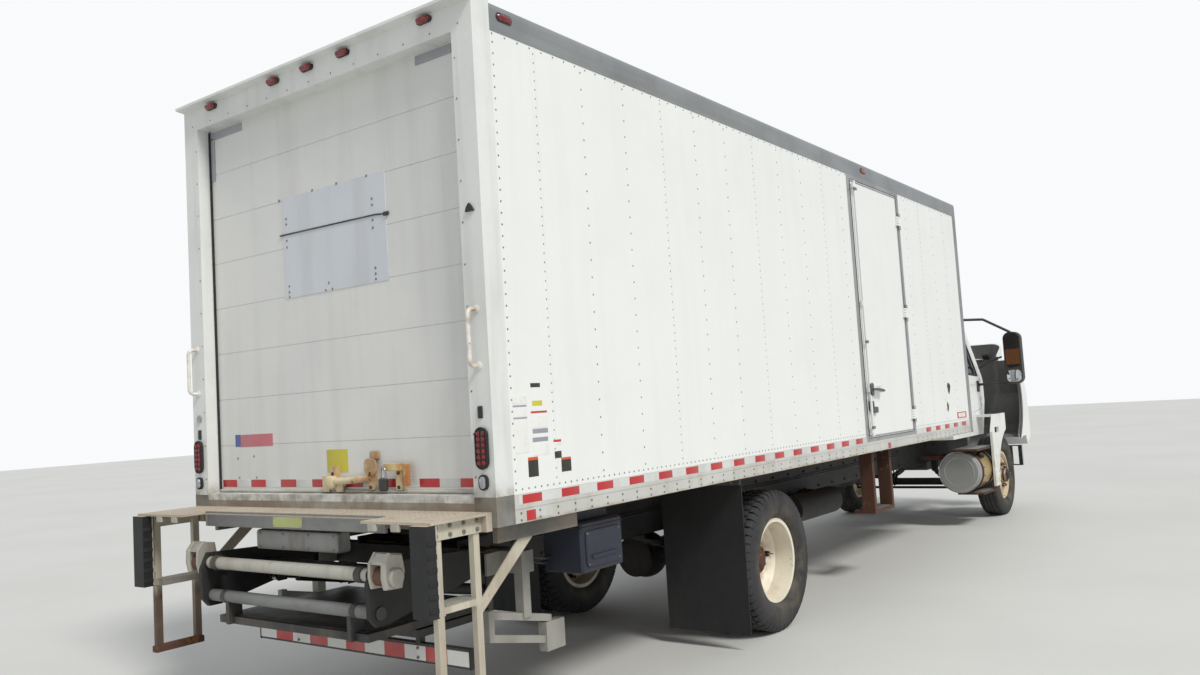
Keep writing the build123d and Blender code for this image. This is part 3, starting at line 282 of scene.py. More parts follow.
def revolved(profile: np.ndarray, centre: Place = (0, 0, 0), axis: Place = (0, 0, 1), sides: int = 24,
             closed: bool = False) -> Shape:
    """Rings round an axis: pair (a, r) goes to centre + a axis + r (cos v e1 + sin v e2).

    Args:
        profile: pairs of the way along the axis and the radius there.
        centre: the point where the way along the axis is zero.
        axis: the axis, of any length.
        sides: points of each ring.
        closed: whether the profile itself is a closed outline.
    Returns:
        The turned form.
    """
    profile = np.asarray(profile, float)
    way = Vector(axis).normalized()
    first = way.orthogonal().normalized()
    second = way.cross(first)
    turn = np.linspace(0, 2 * math.pi, sides, endpoint=False)
    ring = np.cos(turn)[:, None] * np.array(first) + np.sin(turn)[:, None] * np.array(second)
    rings = np.asarray(centre) + profile[:, :1, None] * np.array(way) + profile[:, 1:, None] * ring[None]
    return lofted(rings, closed)


def eased(points: np.ndarray, steps: int = 6) -> np.ndarray:
    """A smooth way near the points: between the middles of its spans it is (1-t)^2 M + 2t(1-t) P + t^2 M'."""
    points = np.asarray(points, float)
    middles = (points[1:] + points[:-1]) / 2
    t = np.linspace(0, 1, steps, endpoint=False)[None, :, None]
    start, corner, end = middles[:-1, None], points[1:-1, None], middles[1:, None]
    arcs = (1 - t) ** 2 * start + 2 * t * (1 - t) * corner + t**2 * end
    return np.concatenate([points[:1], arcs.reshape(-1, points.shape[1]), middles[-1:], points[-1:]])


def pillow(centre: Place, half: Place, square: float = 0.35, crown: float = 0.9, rows: int = 20,
           columns: int = 32) -> Shape:
    """A crowned cushion: half sizes times signed powers of the sines and cosines of two angles.

    Args:
        centre: the middle of the cushion.
        half: half its three sizes.
        square: the power in plan; smaller is squarer.
        crown: the power through the thickness; smaller is flatter.
        rows, columns: points over the thickness and round the plan.
    Returns:
        The closed cushion.
    """
    rise = np.linspace(-math.pi / 2, math.pi / 2, rows)[:, None]
    turn = np.linspace(0, 2 * math.pi, columns, endpoint=False)[None, :]

    def power(value: np.ndarray, exponent: float) -> np.ndarray:
        """A power that keeps the sign."""
        return np.sign(value) * np.abs(value) ** exponent

    plan = power(np.cos(rise), crown * 0.6)
    x = plan * power(np.cos(turn), square)
    y = plan * power(np.sin(turn), square)
    z = power(np.sin(rise), crown) * np.ones_like(turn)
    return lofted(np.asarray(centre) + np.stack([x, y, z], axis=-1) * np.asarray(half))


def dome(radius: float, height: float, out: Place, sides: int = 6) -> Shape:
    """A low round head that stands out from a face: three rings that draw in towards its top."""
    return revolved([(-0.0005, radius), (height * 0.55, radius * 0.86), (height, radius * 0.4)], (0, 0, 0),
                    out, sides)


def hex_nut(radius: float, height: float, out: Place) -> Shape:
    """A six-sided nut with a round bolt end: rings of six points, and the end drawn in."""
    nut = revolved([(0, radius), (height * 0.9, radius), (height, radius * 0.85)], (0, 0, 0), out, 6)
    bolt = revolved([(0, radius * 0.5), (height * 1.5, radius * 0.5), (height * 1.6, radius * 0.4)],
                    (0, 0, 0), out, 8)
    return joined(nut, bolt)


def prism(outline: np.ndarray, low: float, high: float, axis: int = 1, bevel: float = 0.003) -> Shape:
    """An outline carried along one axis; each end ring is drawn towards the outline's middle by the bevel.

    Args:
        outline: pairs on the two other axes, in the order of X, Y, Z.
        low, high: where it starts and ends along the axis.
        axis: 0, 1 or 2.
        bevel: how far the end edges are drawn in.
    Returns:
        The closed plate or block.
    """
    outline = np.asarray(outline, float)
    middle = outline.mean(axis=0)
    reach = np.linalg.norm(outline - middle, axis=1).max()
    bevel = min(bevel, (high - low) * 0.4)
    first, second = [(1, 2), (0, 2), (0, 1)][axis]
    shares = [(low, 1 - bevel / reach), (low + bevel, 1.0), (high - bevel, 1.0), (high, 1 - bevel / reach)]
    rings = np.zeros((4, len(outline), 3))
    for ring, (level, share) in zip(rings, shares):
        drawn = middle + (outline - middle) * share
        ring[:, first], ring[:, second], ring[:, axis] = drawn[:, 0], drawn[:, 1], level
    return lofted(rings)


def tube(way: np.ndarray, radius: float, sides: int = 8, up: Place = (0, 0, 1), steps: int = 6) -> Shape:
    """A round bar along the eased way between some points.

    Args:
        way: the points.
        radius: the bar's radius.
        sides: points of its section.
        up: a direction that the way never takes.
        steps: points of each eased corner.
    Returns:
        The closed bar.
    """
    return swept(eased(way, steps), round_profile(radius, sides), up)


def outline_at(half: Pair, corner: float, level: float, axis: int = 0, steps: int = 6,
               middle: Pair = (0, 0)) -> np.ndarray:
    """A soft rectangle at one level of an axis: its pairs, moved to the middle, with the level put in.

    Args:
        half: half its two sides.
        corner: the corners' radius.
        level: the place along the axis.
        axis: 0, 1 or 2, the way that it faces.
        steps: points of each corner.
        middle: its middle on the two other axes.
    Returns:
        The outline, one point each row.
    """
    return np.insert(soft_rectangle(*half, corner, steps) + middle, axis, level, axis=1)


def lens_shape(half: Pair, corner: float, layers: list[Pair], axis: int = 0, steps: int = 5,
               squeeze: float = 1.0, middle: Pair = (0, 0)) -> Shape:
    """A lamp glass: soft rectangles at the layers' levels, each smaller by its draw.

    Args:
        half: half the two sides of the widest layer.
        corner: the corners' radius.
        layers: pairs of the level along the axis and the draw.
        axis: 0, 1 or 2, the way that the lens faces.
        steps: points of each corner.
        squeeze: how much of the draw the second side takes.
        middle: the lens's middle on the two other axes.
    Returns:
        The closed lens.
    """
    return lofted([outline_at((half[0] - draw, half[1] - draw * squeeze), corner, level, axis, steps, middle)
                   for level, draw in layers])


def bead(half: Pair, corner: float, x: float, profile: np.ndarray, steps: int = 6,
         middle: Pair = (0, 0)) -> Shape:
    """A closed bead round a soft rectangle that faces along X.

    Args:
        half: half the rectangle's sides along Y and Z.
        corner: the corners' radius.
        x: where it stands.
        profile: the bead's own outline.
        steps: points of each corner.
        middle: the rectangle's middle in Y and Z.
    Returns:
        The closed ring.
    """
    return swept(outline_at(half, corner, x, 0, steps, middle), profile, up=(1, 0, 0), closed=True)


def both(shape: Shape) -> Shape:
    """A shape and its mirror image on the truck's other side."""
    return joined(shape, shape.mirrored())


def lattice(*axes: np.ndarray | Pair | float) -> np.ndarray:
    """Every mix of the values of three axes, one row each; an axis may be a plain number."""
    return np.stack(np.meshgrid(*[np.atleast_1d(axis) for axis in axes], indexing="ij"),
                    axis=-1).reshape(-1, 3)


# Finishes


class Graph:
    """A material's nodes, added one by one and joined by their sockets."""

    def __init__(self, name: str) -> None:
        """Start an empty material with its shader and output.

        Args:
            name: the material's name.
        """
        self.material = bpy.data.materials.new(name)
        self.material.use_nodes = True
        self.tree = self.material.node_tree
        self.tree.nodes.clear()
        self.shader = self.add("ShaderNodeBsdfPrincipled")
        self.tree.links.new(self.shader.outputs[0], self.add("ShaderNodeOutputMaterial").inputs["Surface"])
        self.place = self.add("ShaderNodeTexCoord").outputs["Object"]
        self.axes = self.add("ShaderNodeSeparateXYZ", {0: self.place}).outputs

    def add(self, kind: str, inputs: dict | None = None, **settings: object) -> bpy.types.Node:
        """A node with its settings, its inputs either joined or set.

        Args:
            kind: the node's type.
            inputs: sockets or constants by input name or number.
            **settings: the node's own properties.
        Returns:
            The new node.
        """
        node = self.tree.nodes.new(kind)
        for key, value in settings.items():
            setattr(node, key, value)
        for key, value in (inputs or {}).items():
            self.put(node.inputs[key], value)
        return node

    def put(self, socket: Socket, value: object) -> None:
        """Join a socket to another one, or set its own value."""
        if isinstance(value, Socket):
            self.tree.links.new(value, socket)
        else:
            socket.default_value = value

    def noise(self, scale: float, detail: float = 3.0, stretch: Place = (1, 1, 1), shift: float = 0.0,
              warp: float = 0.0) -> Socket:
        """Cloudy noise over the object's own coordinates, stretched along each axis.

        Args:
            scale: how many clouds to a metre.
            detail: octaves of finer clouds.
            stretch: a factor on each axis; a small one draws the clouds out.
            shift: a distance that makes another pattern.
            warp: how far the clouds are twisted.
        Returns:
            The noise between 0 and 1.
        """
        place = self.add("ShaderNodeMapping",
                         {"Vector": self.place, "Scale": stretch, "Location": (shift,) * 3})
        values = {"Vector": place.outputs[0], "Scale": scale, "Detail": detail, "Roughness": 0.6,
                  "Distortion": warp}
        return self.add("ShaderNodeTexNoise", values).outputs["Fac"]

    def cells(self, scale: float, stretch: Place = (1, 1, 1)) -> Socket:
        """The distance to the nearest of scattered points."""
        place = self.add("ShaderNodeMapping", {"Vector": self.place, "Scale": stretch})
        return self.add("ShaderNodeTexVoronoi",
                        {"Vector": place.outputs[0], "Scale": scale}).outputs["Distance"]

    def band(self, value: Socket, low: float, high: float) -> Socket:
        """A smooth step from 0 at low to 1 at high."""
        values = {"Value": value, "From Min": low, "From Max": high}
        return self.add("ShaderNodeMapRange", values, interpolation_type="SMOOTHSTEP").outputs[0]

    def calc(self, way: str, a: object, b: object = 0.5, clamp: bool = False) -> Socket:
        """One sum of two numbers."""
        return self.add("ShaderNodeMath", {0: a, 1: b}, operation=way, use_clamp=clamp).outputs[0]

    def times(self, a: object, b: object) -> Socket:
        """The product of two numbers."""
        return self.calc("MULTIPLY", a, b)

    def beyond(self, reach: float) -> Socket:
        """1 where the size of Y is beyond a reach, and 0 elsewhere."""
        return self.calc("GREATER_THAN", self.calc("ABSOLUTE", self.axes["Y"]), reach)

    def blend(self, share: object, a: object, b: object, way: str = "MIX") -> Socket:
        """Two colours mixed by a share."""
        values = {0: share, 6: a, 7: b}
        return self.add("ShaderNodeMix", values, data_type="RGBA", blend_type=way).outputs[2]

    def distance(self, centre: Pair) -> Socket:
        """The distance from an axis along Y through a point of the X and Z plane."""
        x = self.calc("SUBTRACT", self.axes["X"], centre[0])
        z = self.calc("SUBTRACT", self.axes["Z"], centre[1])
        squares = self.calc("ADD", self.times(x, x), self.times(z, z))
        return self.calc("SQRT", squares)

    def within(self, value: Socket, low: float, high: float) -> Socket:
        """1 where a value lies between two others, and 0 elsewhere."""
        above = self.calc("GREATER_THAN", value, low)
        return self.times(above, self.calc("LESS_THAN", value, high))

    def relief(self, height: Socket, strength: float, distance: float) -> None:
        """Join a bump of that height to the shader's normal."""
        bump = self.add("ShaderNodeBump", {"Height": height, "Strength": strength, "Distance": distance})
        self.shade({"Normal": bump.outputs[0]})

    def shade(self, values: dict[str, object]) -> None:
        """Join or set the shader's inputs by name."""
        for name, value in values.items():
            self.put(self.shader.inputs[name], value)


RUST_DARK = paint(72, 44, 30)
RUST_LIGHT = paint(146, 92, 52)
DUST = paint(128, 118, 100)


@dataclass(frozen=True)
class Finish:
    """A weathered surface: one colour with worn patches, grime, splash from the road and rust over it."""

    name: str
    colour: Colour
    worn: Colour
    grime_colour: Colour = DUST
    patch: float = 1.6
    wear: float = 0.5
    grime: float = 0.25
    streak: Place = (5.0, 5.0, 0.5)
    splash: Pair = (0.0, 0.0)
    rust: float = 0.0
    rust_scale: float = 7.0
    rough: float = 0.5
    metal: float = 0.0
    grain: float = 0.15
    grain_scale: float = 260.0
    wave: float = 0.0
    coat: float = 0.0

    def material(self) -> bpy.types.Material:
        """Build the nodes: colour, roughness and relief from the same clouds."""
        graph = Graph(self.name)
        colour, rust = self.tone(graph)
        graph.shade({"Base Color": colour, "Roughness": self.roughness(graph, rust), "Metallic": self.metal,
                     "Coat Weight": self.coat})
        self.surface(graph, rust)
        return graph.material

    def tone(self, graph: Graph) -> tuple[Socket, Socket | None]:
        """The colour under its layers.

        Args:
            graph: the material's nodes.
        Returns:
            The colour, and the share of rust where there is any.
        """
        clouds = graph.times(graph.band(graph.noise(self.patch, 4), 0.38, 0.66), self.wear)
        colour = graph.blend(clouds, self.base(graph), self.worn)
        runs = graph.band(graph.noise(1.0, 4, self.streak, 3.0), 0.46, 0.72)
        specks = graph.band(graph.noise(60, 2, (1, 1, 1), 5.0), 0.6, 0.72)
        dirt = graph.calc("MAXIMUM", runs, graph.times(specks, 0.6))
        amount = graph.times(dirt, self.grime)
        if self.splash[1] > self.splash[0]:
            low = graph.band(graph.axes["Z"], self.splash[1], self.splash[0])
            broken = graph.times(low, graph.band(graph.noise(9, 5, shift=8.0), 0.3, 0.7))
            amount = graph.calc("MAXIMUM", amount, graph.times(broken, 0.8))
        colour = graph.blend(amount, colour, self.grime_colour)
        if not self.rust:
            return colour, None
        edge = 0.74 - 0.4 * self.rust
        rust = graph.band(graph.noise(self.rust_scale, 8, shift=11.0, warp=0.4), edge, edge + 0.07)
        shade = graph.blend(graph.band(graph.noise(40, 4, shift=2.0), 0.35, 0.65), RUST_DARK, RUST_LIGHT)
        return graph.blend(rust, colour, shade), rust

    def base(self, graph: Graph) -> object:
        """The colour before any wear; a finish with a pattern gives its own."""
        return self.colour

    def roughness(self, graph: Graph, rust: Socket | None) -> Socket:
        """Roughness that varies in soft patches and rises on rust."""
        span = graph.times(graph.noise(14, 3, shift=4.0), 0.22)
        rough = graph.calc("ADD", span, self.rough - 0.11, clamp=True)
        return graph.calc("MAXIMUM", rough, graph.times(rust, 0.85)) if rust else rough

    def surface(self, graph: Graph, rust: Socket | None) -> None:
        """Fine grain, slow waves and scabs of rust as relief."""
        height = graph.times(graph.noise(self.grain_scale, 3, shift=6.0), 0.0006)
        if self.wave:
            slow = graph.times(graph.noise(1.7, 1, shift=9.0), self.wave)
            height = graph.calc("ADD", height, slow)
        if rust:
            scabs = graph.times(graph.times(rust, graph.noise(120, 4)), 0.002)
            height = graph.calc("ADD", height, scabs)
        graph.relief(height, min(1.0, self.grain * 2), 1.0)


@dataclass(frozen=True)
class WheelPaint(Finish):
    """Wheel enamel, brown from the hub outwards, partly rust stain and partly painted shade of the inner
    barrel, and chipped along the rim.
    """

    centre: Pair = (0.0, 0.0)
    stain_and_shade: Pair = (0.10, 0.28)

    def base(self, graph: Graph) -> Socket:
        """Enamel that turns brown by the distance from the axle, broken by clouds: partly rust stain, partly
        painted shade near the hub.
        """
        away = graph.distance(self.centre)
        # partly painted shade: the brown near the hub also stands for the shaded inner barrel
        near = graph.band(away, self.stain_and_shade[1], self.stain_and_shade[0])
        broken = graph.times(near, graph.band(graph.noise(11, 5, shift=7.0), 0.28, 0.62))
        return graph.blend(broken, self.colour, RUST_LIGHT)


@dataclass(frozen=True)
class TankMetal(Finish):
    """Polished tank metal, gone dull and golden between its straps."""

    span: Pair = (0.0, 0.0)
    dull: Colour = paint(186, 162, 108)

    def base(self, graph: Graph) -> Socket:
        """Golden where X lies between the straps, and bright elsewhere."""
        return graph.blend(graph.within(graph.axes["X"], *self.span), self.colour, self.dull)


DOORWAY_HALF = 1.149


@dataclass(frozen=True)
class DockMetal(Finish):
    """The gate's dock: worn deck, pale legs, dark side brackets and black posts, told apart by place."""

    rear: float = 0.0
    side_y: float = DOORWAY_HALF
    deck_low: float = 1.2395
    bracket_low: float = 1.0885
    bracket_ahead: float = 0.055
    post_behind: float = 0.369
    leg: Colour = paint(196, 190, 172)
    bracket: Colour = paint(92, 92, 90)
    channel: Colour = paint(120, 122, 120)
    painted_leg_shade: Colour = paint(84, 66, 52)
    rubber: Colour = paint(30, 30, 31)

    def base(self, graph: Graph) -> Socket:
        """Legs beyond the doorway's half width, brackets ahead of the rear face, the deck's colour above, and
        painted shade that darkens the legs' feet, mostly on the left side.
        """
        outer, low = graph.beyond(self.side_y), graph.calc("LESS_THAN", graph.axes["Z"], self.deck_low)
        colour = graph.blend(graph.times(outer, low), self.colour, self.leg)
        beyond = graph.calc("GREATER_THAN", graph.axes["X"], self.rear + self.bracket_ahead)
        ahead = graph.times(beyond, outer)
        high = graph.calc("GREATER_THAN", graph.axes["Z"], self.bracket_low)
        colour = graph.blend(graph.times(ahead, high), colour, self.bracket)
        inner = graph.calc("SUBTRACT", 1.0, outer)
        colour = graph.blend(graph.times(inner, low), colour, self.channel)
        # painted shade: the legs turn dark brown below about 0.8 m, almost only on the left side
        foot = graph.times(outer, graph.band(graph.axes["Z"], 0.86, 0.74))
        share = graph.times(foot, graph.band(graph.axes["Y"], -1.5, 1.3))
        return graph.blend(share, colour, self.painted_leg_shade)

    def tone(self, graph: Graph) -> tuple[Socket, Socket | None]:
        """The metal's tone, with black rubber over the posts behind the legs."""
        colour, rust = super().tone(graph)
        outer, low = graph.beyond(self.side_y), graph.calc("LESS_THAN", graph.axes["Z"], self.deck_low)
        behind = graph.calc("LESS_THAN", graph.axes["X"], self.rear - self.post_behind)
        post = graph.times(graph.times(outer, behind), low)
        clean = graph.calc("SUBTRACT", 1.0, post)
        return graph.blend(post, colour, self.rubber), graph.times(rust, clean)


@dataclass(frozen=True)
class HoodSkin(Finish):
    """A moulded hood: white paint outside, bare grey moulding inside, and painted shade as a dark band on the
    outside along the arches.
    """

    centre: Place = (0.0, 0.0, 0.0)
    under: Colour = paint(112, 112, 110)
    lip: Colour = paint(52, 54, 53)
    arch: Pair = (0.0, 0.0)
    arch_reach: float = 0.705
    arch_y: float = 1.205

    def base(self, graph: Graph) -> Socket:
        """Outside is where the normal points away from a place in the hollow: their product is above zero."""
        away = graph.add("ShaderNodeVectorMath", {0: graph.place, 1: self.centre},
                         operation="SUBTRACT").outputs[0]
        normal = graph.place.node.outputs["Normal"]
        facing = graph.add("ShaderNodeVectorMath", {0: normal, 1: away},
                           operation="DOT_PRODUCT").outputs["Value"]
        colour = graph.blend(graph.calc("GREATER_THAN", facing, 0.0), self.under, self.colour)
        # painted shade: a dark band on the outside of the fenders near the arches
        outer = graph.beyond(self.arch_y)
        near = graph.calc("LESS_THAN", graph.distance(self.arch), self.arch_reach)
        return graph.blend(graph.times(outer, near), colour, self.lip)


@dataclass(frozen=True)
class SplitPaint(Finish):
    """One node in two paints: its middle in one colour, and what lies further out along Y in another."""

    outer: Colour = paint(200, 200, 196)
    reach: float = 1.0

    def base(self, graph: Graph) -> Socket:
        """The outer colour where the size of Y is beyond the reach."""
        return graph.blend(graph.beyond(self.reach), self.colour, self.outer)


@dataclass(frozen=True)
class RearFramePaint(Finish):
    """The rear frame's white paint, with black post feet and a brown worn sill."""

    foot: Colour = paint(26, 26, 28)
    sill: Colour = paint(122, 98, 80)
    foot_z: float = 1.322
    sill_z: float = 1.292

    def base(self, graph: Graph) -> Socket:
        """Black below the foot's height beyond the doorway, and brown below the sill's height within it."""
        side = graph.beyond(DOORWAY_HALF)
        feet = graph.times(side, graph.calc("LESS_THAN", graph.axes["Z"], self.foot_z))
        low = graph.times(graph.calc("SUBTRACT", 1.0, side),
                         graph.calc("LESS_THAN", graph.axes["Z"], self.sill_z))
        return graph.blend(feet, graph.blend(low, self.colour, self.sill), self.foot)


@dataclass(frozen=True)
class BandTape(Finish):
    """Reflective tape in two colours that change along Y."""

    second: Colour = paint(196, 34, 38)
    length: float = 0.1
    start: float = 0.0

    def base(self, graph: Graph) -> Socket:
        """Even and odd lengths of the distance along Y."""
        steps = graph.calc("DIVIDE", graph.calc("SUBTRACT", graph.axes["Y"], self.start), self.length * 2)
        odd = graph.calc("GREATER_THAN", graph.calc("FRACT", steps), 0.5)
        return graph.blend(odd, self.colour, self.second)


@dataclass(frozen=True)
class FloorWood(Finish):
    """Laminated floor boards along X, each with its own shade."""

    board: float = 0.3

    def base(self, graph: Graph) -> Socket:
        """Boards by the whole number of board widths along Y, with grain drawn out along X."""
        number = graph.calc("FLOOR", graph.calc("DIVIDE", graph.axes["Y"], self.board))
        spread = graph.calc("FRACT", graph.times(graph.calc("SINE", number), 43.7))
        grain = graph.band(graph.noise(60, 4, (0.05, 1, 1)), 0.35, 0.7)
        share = graph.times(graph.calc("ADD", spread, grain), 0.5)
        return graph.blend(share, self.colour, self.worn)


@dataclass(frozen=True)
class TyreRubber(Finish):
    """Tyre rubber with rings on its sidewall and road dust between its blocks."""

    centre: Pair = (0.0, 0.0)
    outer: float = 0.515

    def base(self, graph: Graph) -> Socket:
        """Dark rubber, greyer on the worn running face and dusty low on the sidewall."""
        away = graph.distance(self.centre)
        running = graph.band(away, self.outer - 0.006, self.outer - 0.001)
        dusty = graph.times(graph.band(away, 0.46, 0.34), graph.band(graph.noise(7, 5), 0.3, 0.7))
        colour = graph.blend(graph.times(running, 0.7), self.colour, self.worn)
        return graph.blend(graph.times(dusty, 0.45), colour, DUST)

    def surface(self, graph: Graph, rust: Socket | None) -> None:
        """Moulded rings on the sidewall, by a sine of the distance from the axle, and fine grain."""
        away = graph.distance(self.centre)
        rings = graph.calc("SINE", graph.times(away, 700))
        wall = graph.times(graph.band(away, 0.345, 0.355), graph.band(away, 0.372, 0.362))
        height = graph.times(graph.times(rings, wall), 0.0006)
        fine = graph.times(graph.noise(self.grain_scale, 3), 0.0008)
        graph.relief(graph.calc("ADD", height, fine), 0.8, 1.0)


@dataclass(frozen=True)
class Pane:
    """Glass: clear, dark or mirrored, with a band of painted reflection between two heights where there is
    one.
    """

    name: str
    colour: Colour
    through: float = 0.9
    metal: float = 0.0
    rough: float = 0.03
    painted_reflection: Colour | None = None
    painted_reflection_z: Pair = (0.0, 0.0)

    def material(self) -> bpy.types.Material:
        """Build the glass with a film of dust that varies over it."""
        graph = Graph(self.name)
        film = graph.band(graph.noise(3, 5), 0.45, 0.8)
        colour, share = self.colour, 0.25
        if self.painted_reflection:
            # painted reflection: a coloured band between two heights stands in for what the mirror glass
            # reflects
            band = graph.within(graph.axes["Z"], *self.painted_reflection_z)
            colour, share = graph.blend(band, self.colour, self.painted_reflection), 0.12
        dusted = graph.blend(graph.times(film, share), colour, DUST)
        spread = graph.calc("ADD", graph.times(film, 0.12), self.rough)
        graph.shade({"Base Color": dusted, "Roughness": spread, "Transmission Weight": self.through,
                     "Metallic": self.metal, "IOR": 1.45})
        return graph.material


@dataclass(frozen=True)
class Lens:
    """A moulded lamp lens over a dark or bright body, with a grid of small prisms."""

    name: str
    colour: Colour
    deep: Colour
    prism: float = 90.0

    def material(self) -> bpy.types.Material:
        """Build the lens: prisms in colour and relief, under a clear coat."""
        graph = Graph(self.name)
        cells = graph.band(graph.cells(self.prism), 0.15, 0.5)
        graph.shade({"Base Color": graph.blend(cells, self.colour, self.deep), "Roughness": 0.18,
                     "Coat Weight": 0.6})
        graph.relief(graph.times(cells, 0.001), 0.6, 1.0)
        return graph.material


SIDE_WHITE = Finish("side_white", paint(234, 235, 232), paint(226, 227, 224), grime=0.04, wear=0.3,
                    wave=0.004, rough=0.38, streak=(7.0, 7.0, 0.35), coat=0.15)
FRAME_WHITE = RearFramePaint("frame_white", paint(226, 228, 225), paint(206, 208, 204), grime=0.14,
                             rough=0.42, rust=0.04, streak=(9.0, 9.0, 0.6), splash=(1.3, 1.42))
GRIP_WHITE = Finish("grip_white", paint(224, 224, 218), paint(196, 192, 178), grime=0.3, rough=0.4, rust=0.08)
DOOR_GREY = Finish("door_grey", paint(222, 222, 218), paint(208, 209, 208), grime=0.1, rough=0.4, wave=0.002,
                   streak=(6.0, 6.0, 0.4), patch=0.9)
DOOR_PATCH = Finish("door_patch_paint", paint(208, 212, 217), paint(198, 203, 210), grime=0.12, rough=0.45)
TOP_RAIL = Finish("top_rail", paint(150, 154, 156), paint(120, 124, 126), grime=0.35, rough=0.42, metal=0.35,
                  streak=(0.6, 4.0, 9.0))
RAIL_METAL = Finish("rail_metal", paint(208, 208, 203), paint(184, 183, 176), paint(158, 138, 96),
                    grime=0.25, rough=0.42, metal=0.2, streak=(14.0, 4.0, 2.0), splash=(1.178, 1.2),
                    rust=0.04, rust_scale=11)
JAMB_METAL = Finish("jamb_metal", paint(168, 171, 172), paint(140, 142, 142), grime=0.4, rough=0.4,
                    metal=0.45, streak=(9.0, 9.0, 0.8), rust=0.04)
ROOF_WHITE = Finish("roof_white", paint(214, 214, 208), paint(200, 200, 192), grime=0.22, rough=0.5,
                    streak=(2.0, 6.0, 4.0))
WALL_LINER = Finish("wall_liner", paint(196, 190, 178), paint(170, 160, 146), grime=0.3, rough=0.6)
FLOOR_WOOD = FloorWood("floor_wood", paint(150, 112, 74), paint(110, 80, 52), grime=0.4, rough=0.6, wear=0.4)
BLACK_CHASSIS = Finish("chassis_black", paint(30, 30, 31), paint(42, 41, 40), paint(66, 58, 48), grime=0.3,
                       rough=0.62, rust=0.1, rust_scale=5, streak=(3.0, 3.0, 2.0), grain=0.3)
CAST_IRON = Finish("cast_iron", paint(42, 40, 39), paint(58, 54, 50), paint(84, 72, 58), grime=0.35,
                   rough=0.72, rust=0.22, rust_scale=9, grain=0.45, grain_scale=150)
BLACK_RUBBER = Finish("black_rubber", paint(27, 27, 29), paint(40, 40, 40), paint(74, 68, 60), grime=0.2,
                      rough=0.72, grain=0.3, streak=(8.0, 8.0, 0.5))
BLACK_PLASTIC = Finish("black_plastic", paint(36, 37, 39), paint(58, 58, 58), grime=0.25, rough=0.5,
                       grain=0.3, grain_scale=420)
HOOD_UNDER = HoodSkin("hood_skin", paint(230, 231, 228), paint(190, 189, 184), paint(120, 114, 102),
                      wear=0.12, grime=0.08, rough=0.42, grain=0.2, streak=(4.0, 6.0, 3.0),
                      centre=(AT.axle_front + 0.728, 0.0, 1.612), arch=(AT.axle_front + 0.127, 1.496))
CAB_WHITE = Finish("cab_white", paint(232, 233, 230), paint(222, 222, 217), paint(188, 172, 128), grime=0.1,
                   rough=0.3, coat=0.35, streak=(8.0, 8.0, 0.5), splash=(0.4, 1.2), rust=0.02)
ENGINE_GREY = Finish("engine_grey", paint(108, 110, 110), paint(80, 80, 80), paint(74, 62, 48), grime=0.55,
                     rough=0.55, metal=0.3, rust=0.12, grain=0.35)
CORE_BLACK = Finish("radiator_core", paint(40, 41, 43), paint(58, 56, 52), grime=0.5, rough=0.6, grain=0.5,
                    grain_scale=180)
HOT_PIPE = Finish("exhaust_steel", paint(120, 110, 98), paint(96, 82, 68), grime=0.4, rough=0.5, metal=0.6,
                  rust=0.35)
RUSTY_STEEL = Finish("rusty_steel", paint(84, 54, 40), paint(58, 38, 30), paint(112, 86, 62), grime=0.35,
                     rough=0.8, rust=0.4, rust_scale=14, grain=0.6, grain_scale=160)
GATE_PAINT = DockMetal("gate_dock_metal", paint(190, 178, 160), paint(164, 150, 132), paint(126, 104, 82),
                       grime=0.35, rough=0.55, rust=0.14, rust_scale=12, streak=(10.0, 10.0, 1.5),
                       rear=AT.rear)
GATE_STEEL = Finish("gate_steel", paint(150, 152, 150), paint(122, 120, 114), paint(110, 82, 56), grime=0.45,
                    rough=0.42, metal=0.55, rust=0.18, rust_scale=16, streak=(8.0, 8.0, 2.0))
DECK_WORN = Finish("deck_worn", paint(192, 180, 162), paint(160, 146, 126), paint(110, 94, 76), grime=0.4,
                   rough=0.62, metal=0.2, rust=0.25, rust_scale=8, streak=(2.0, 12.0, 3.0), grain=0.5)
BRIGHT_STEEL = Finish("bright_steel", paint(196, 198, 200), paint(168, 170, 172), grime=0.25, rough=0.22,
                      metal=1.0, streak=(9.0, 3.0, 9.0))
DARK_STEEL = Finish("dark_steel", paint(64, 64, 66), paint(88, 84, 78), grime=0.4, rough=0.5, metal=0.5,
                    rust=0.15)
WORN_STEEL = Finish("worn_steel", paint(96, 98, 102), paint(70, 70, 72), grime=0.35, rough=0.45, metal=0.4,
                    rust=0.1)
BOLT_GREY = Finish("bolt_grey", paint(132, 132, 130), paint(104, 100, 92), grime=0.4, rough=0.5, metal=0.4)
RIVET_GREY = Finish("rivet_grey", paint(148, 148, 144), paint(110, 108, 104), paint(90, 84, 74), grime=0.4,
                    rough=0.5, patch=9.0, wear=0.9)
POWER_BOX = Finish("power_box", paint(34, 38, 54), paint(46, 50, 62), paint(84, 78, 70), grime=0.25,
                   rough=0.5)
MOTOR_BLACK = Finish("battery_black", paint(46, 47, 50), paint(66, 64, 62), grime=0.4, rough=0.6, rust=0.08)
TAPE_RED = Finish("tape_red", paint(190, 32, 38), paint(168, 40, 42), grime=0.2, rough=0.35, coat=0.3)
TAPE_WHITE = Finish("tape_white", paint(214, 216, 214), paint(196, 196, 190), grime=0.3, rough=0.35, coat=0.3)
LABEL_WHITE = Finish("label_white", paint(234, 234, 230), paint(220, 220, 214), grime=0.25, rough=0.5)
LABEL_GREY = Finish("label_grey", paint(150, 152, 160), paint(176, 178, 182), grime=0.2, rough=0.5)
LABEL_BLACK = Finish("label_black", paint(48, 46, 44), paint(66, 62, 58), grime=0.2, rough=0.5)
LABEL_YELLOW = Finish("label_yellow", paint(206, 196, 60), paint(190, 180, 80), grime=0.2, rough=0.5)
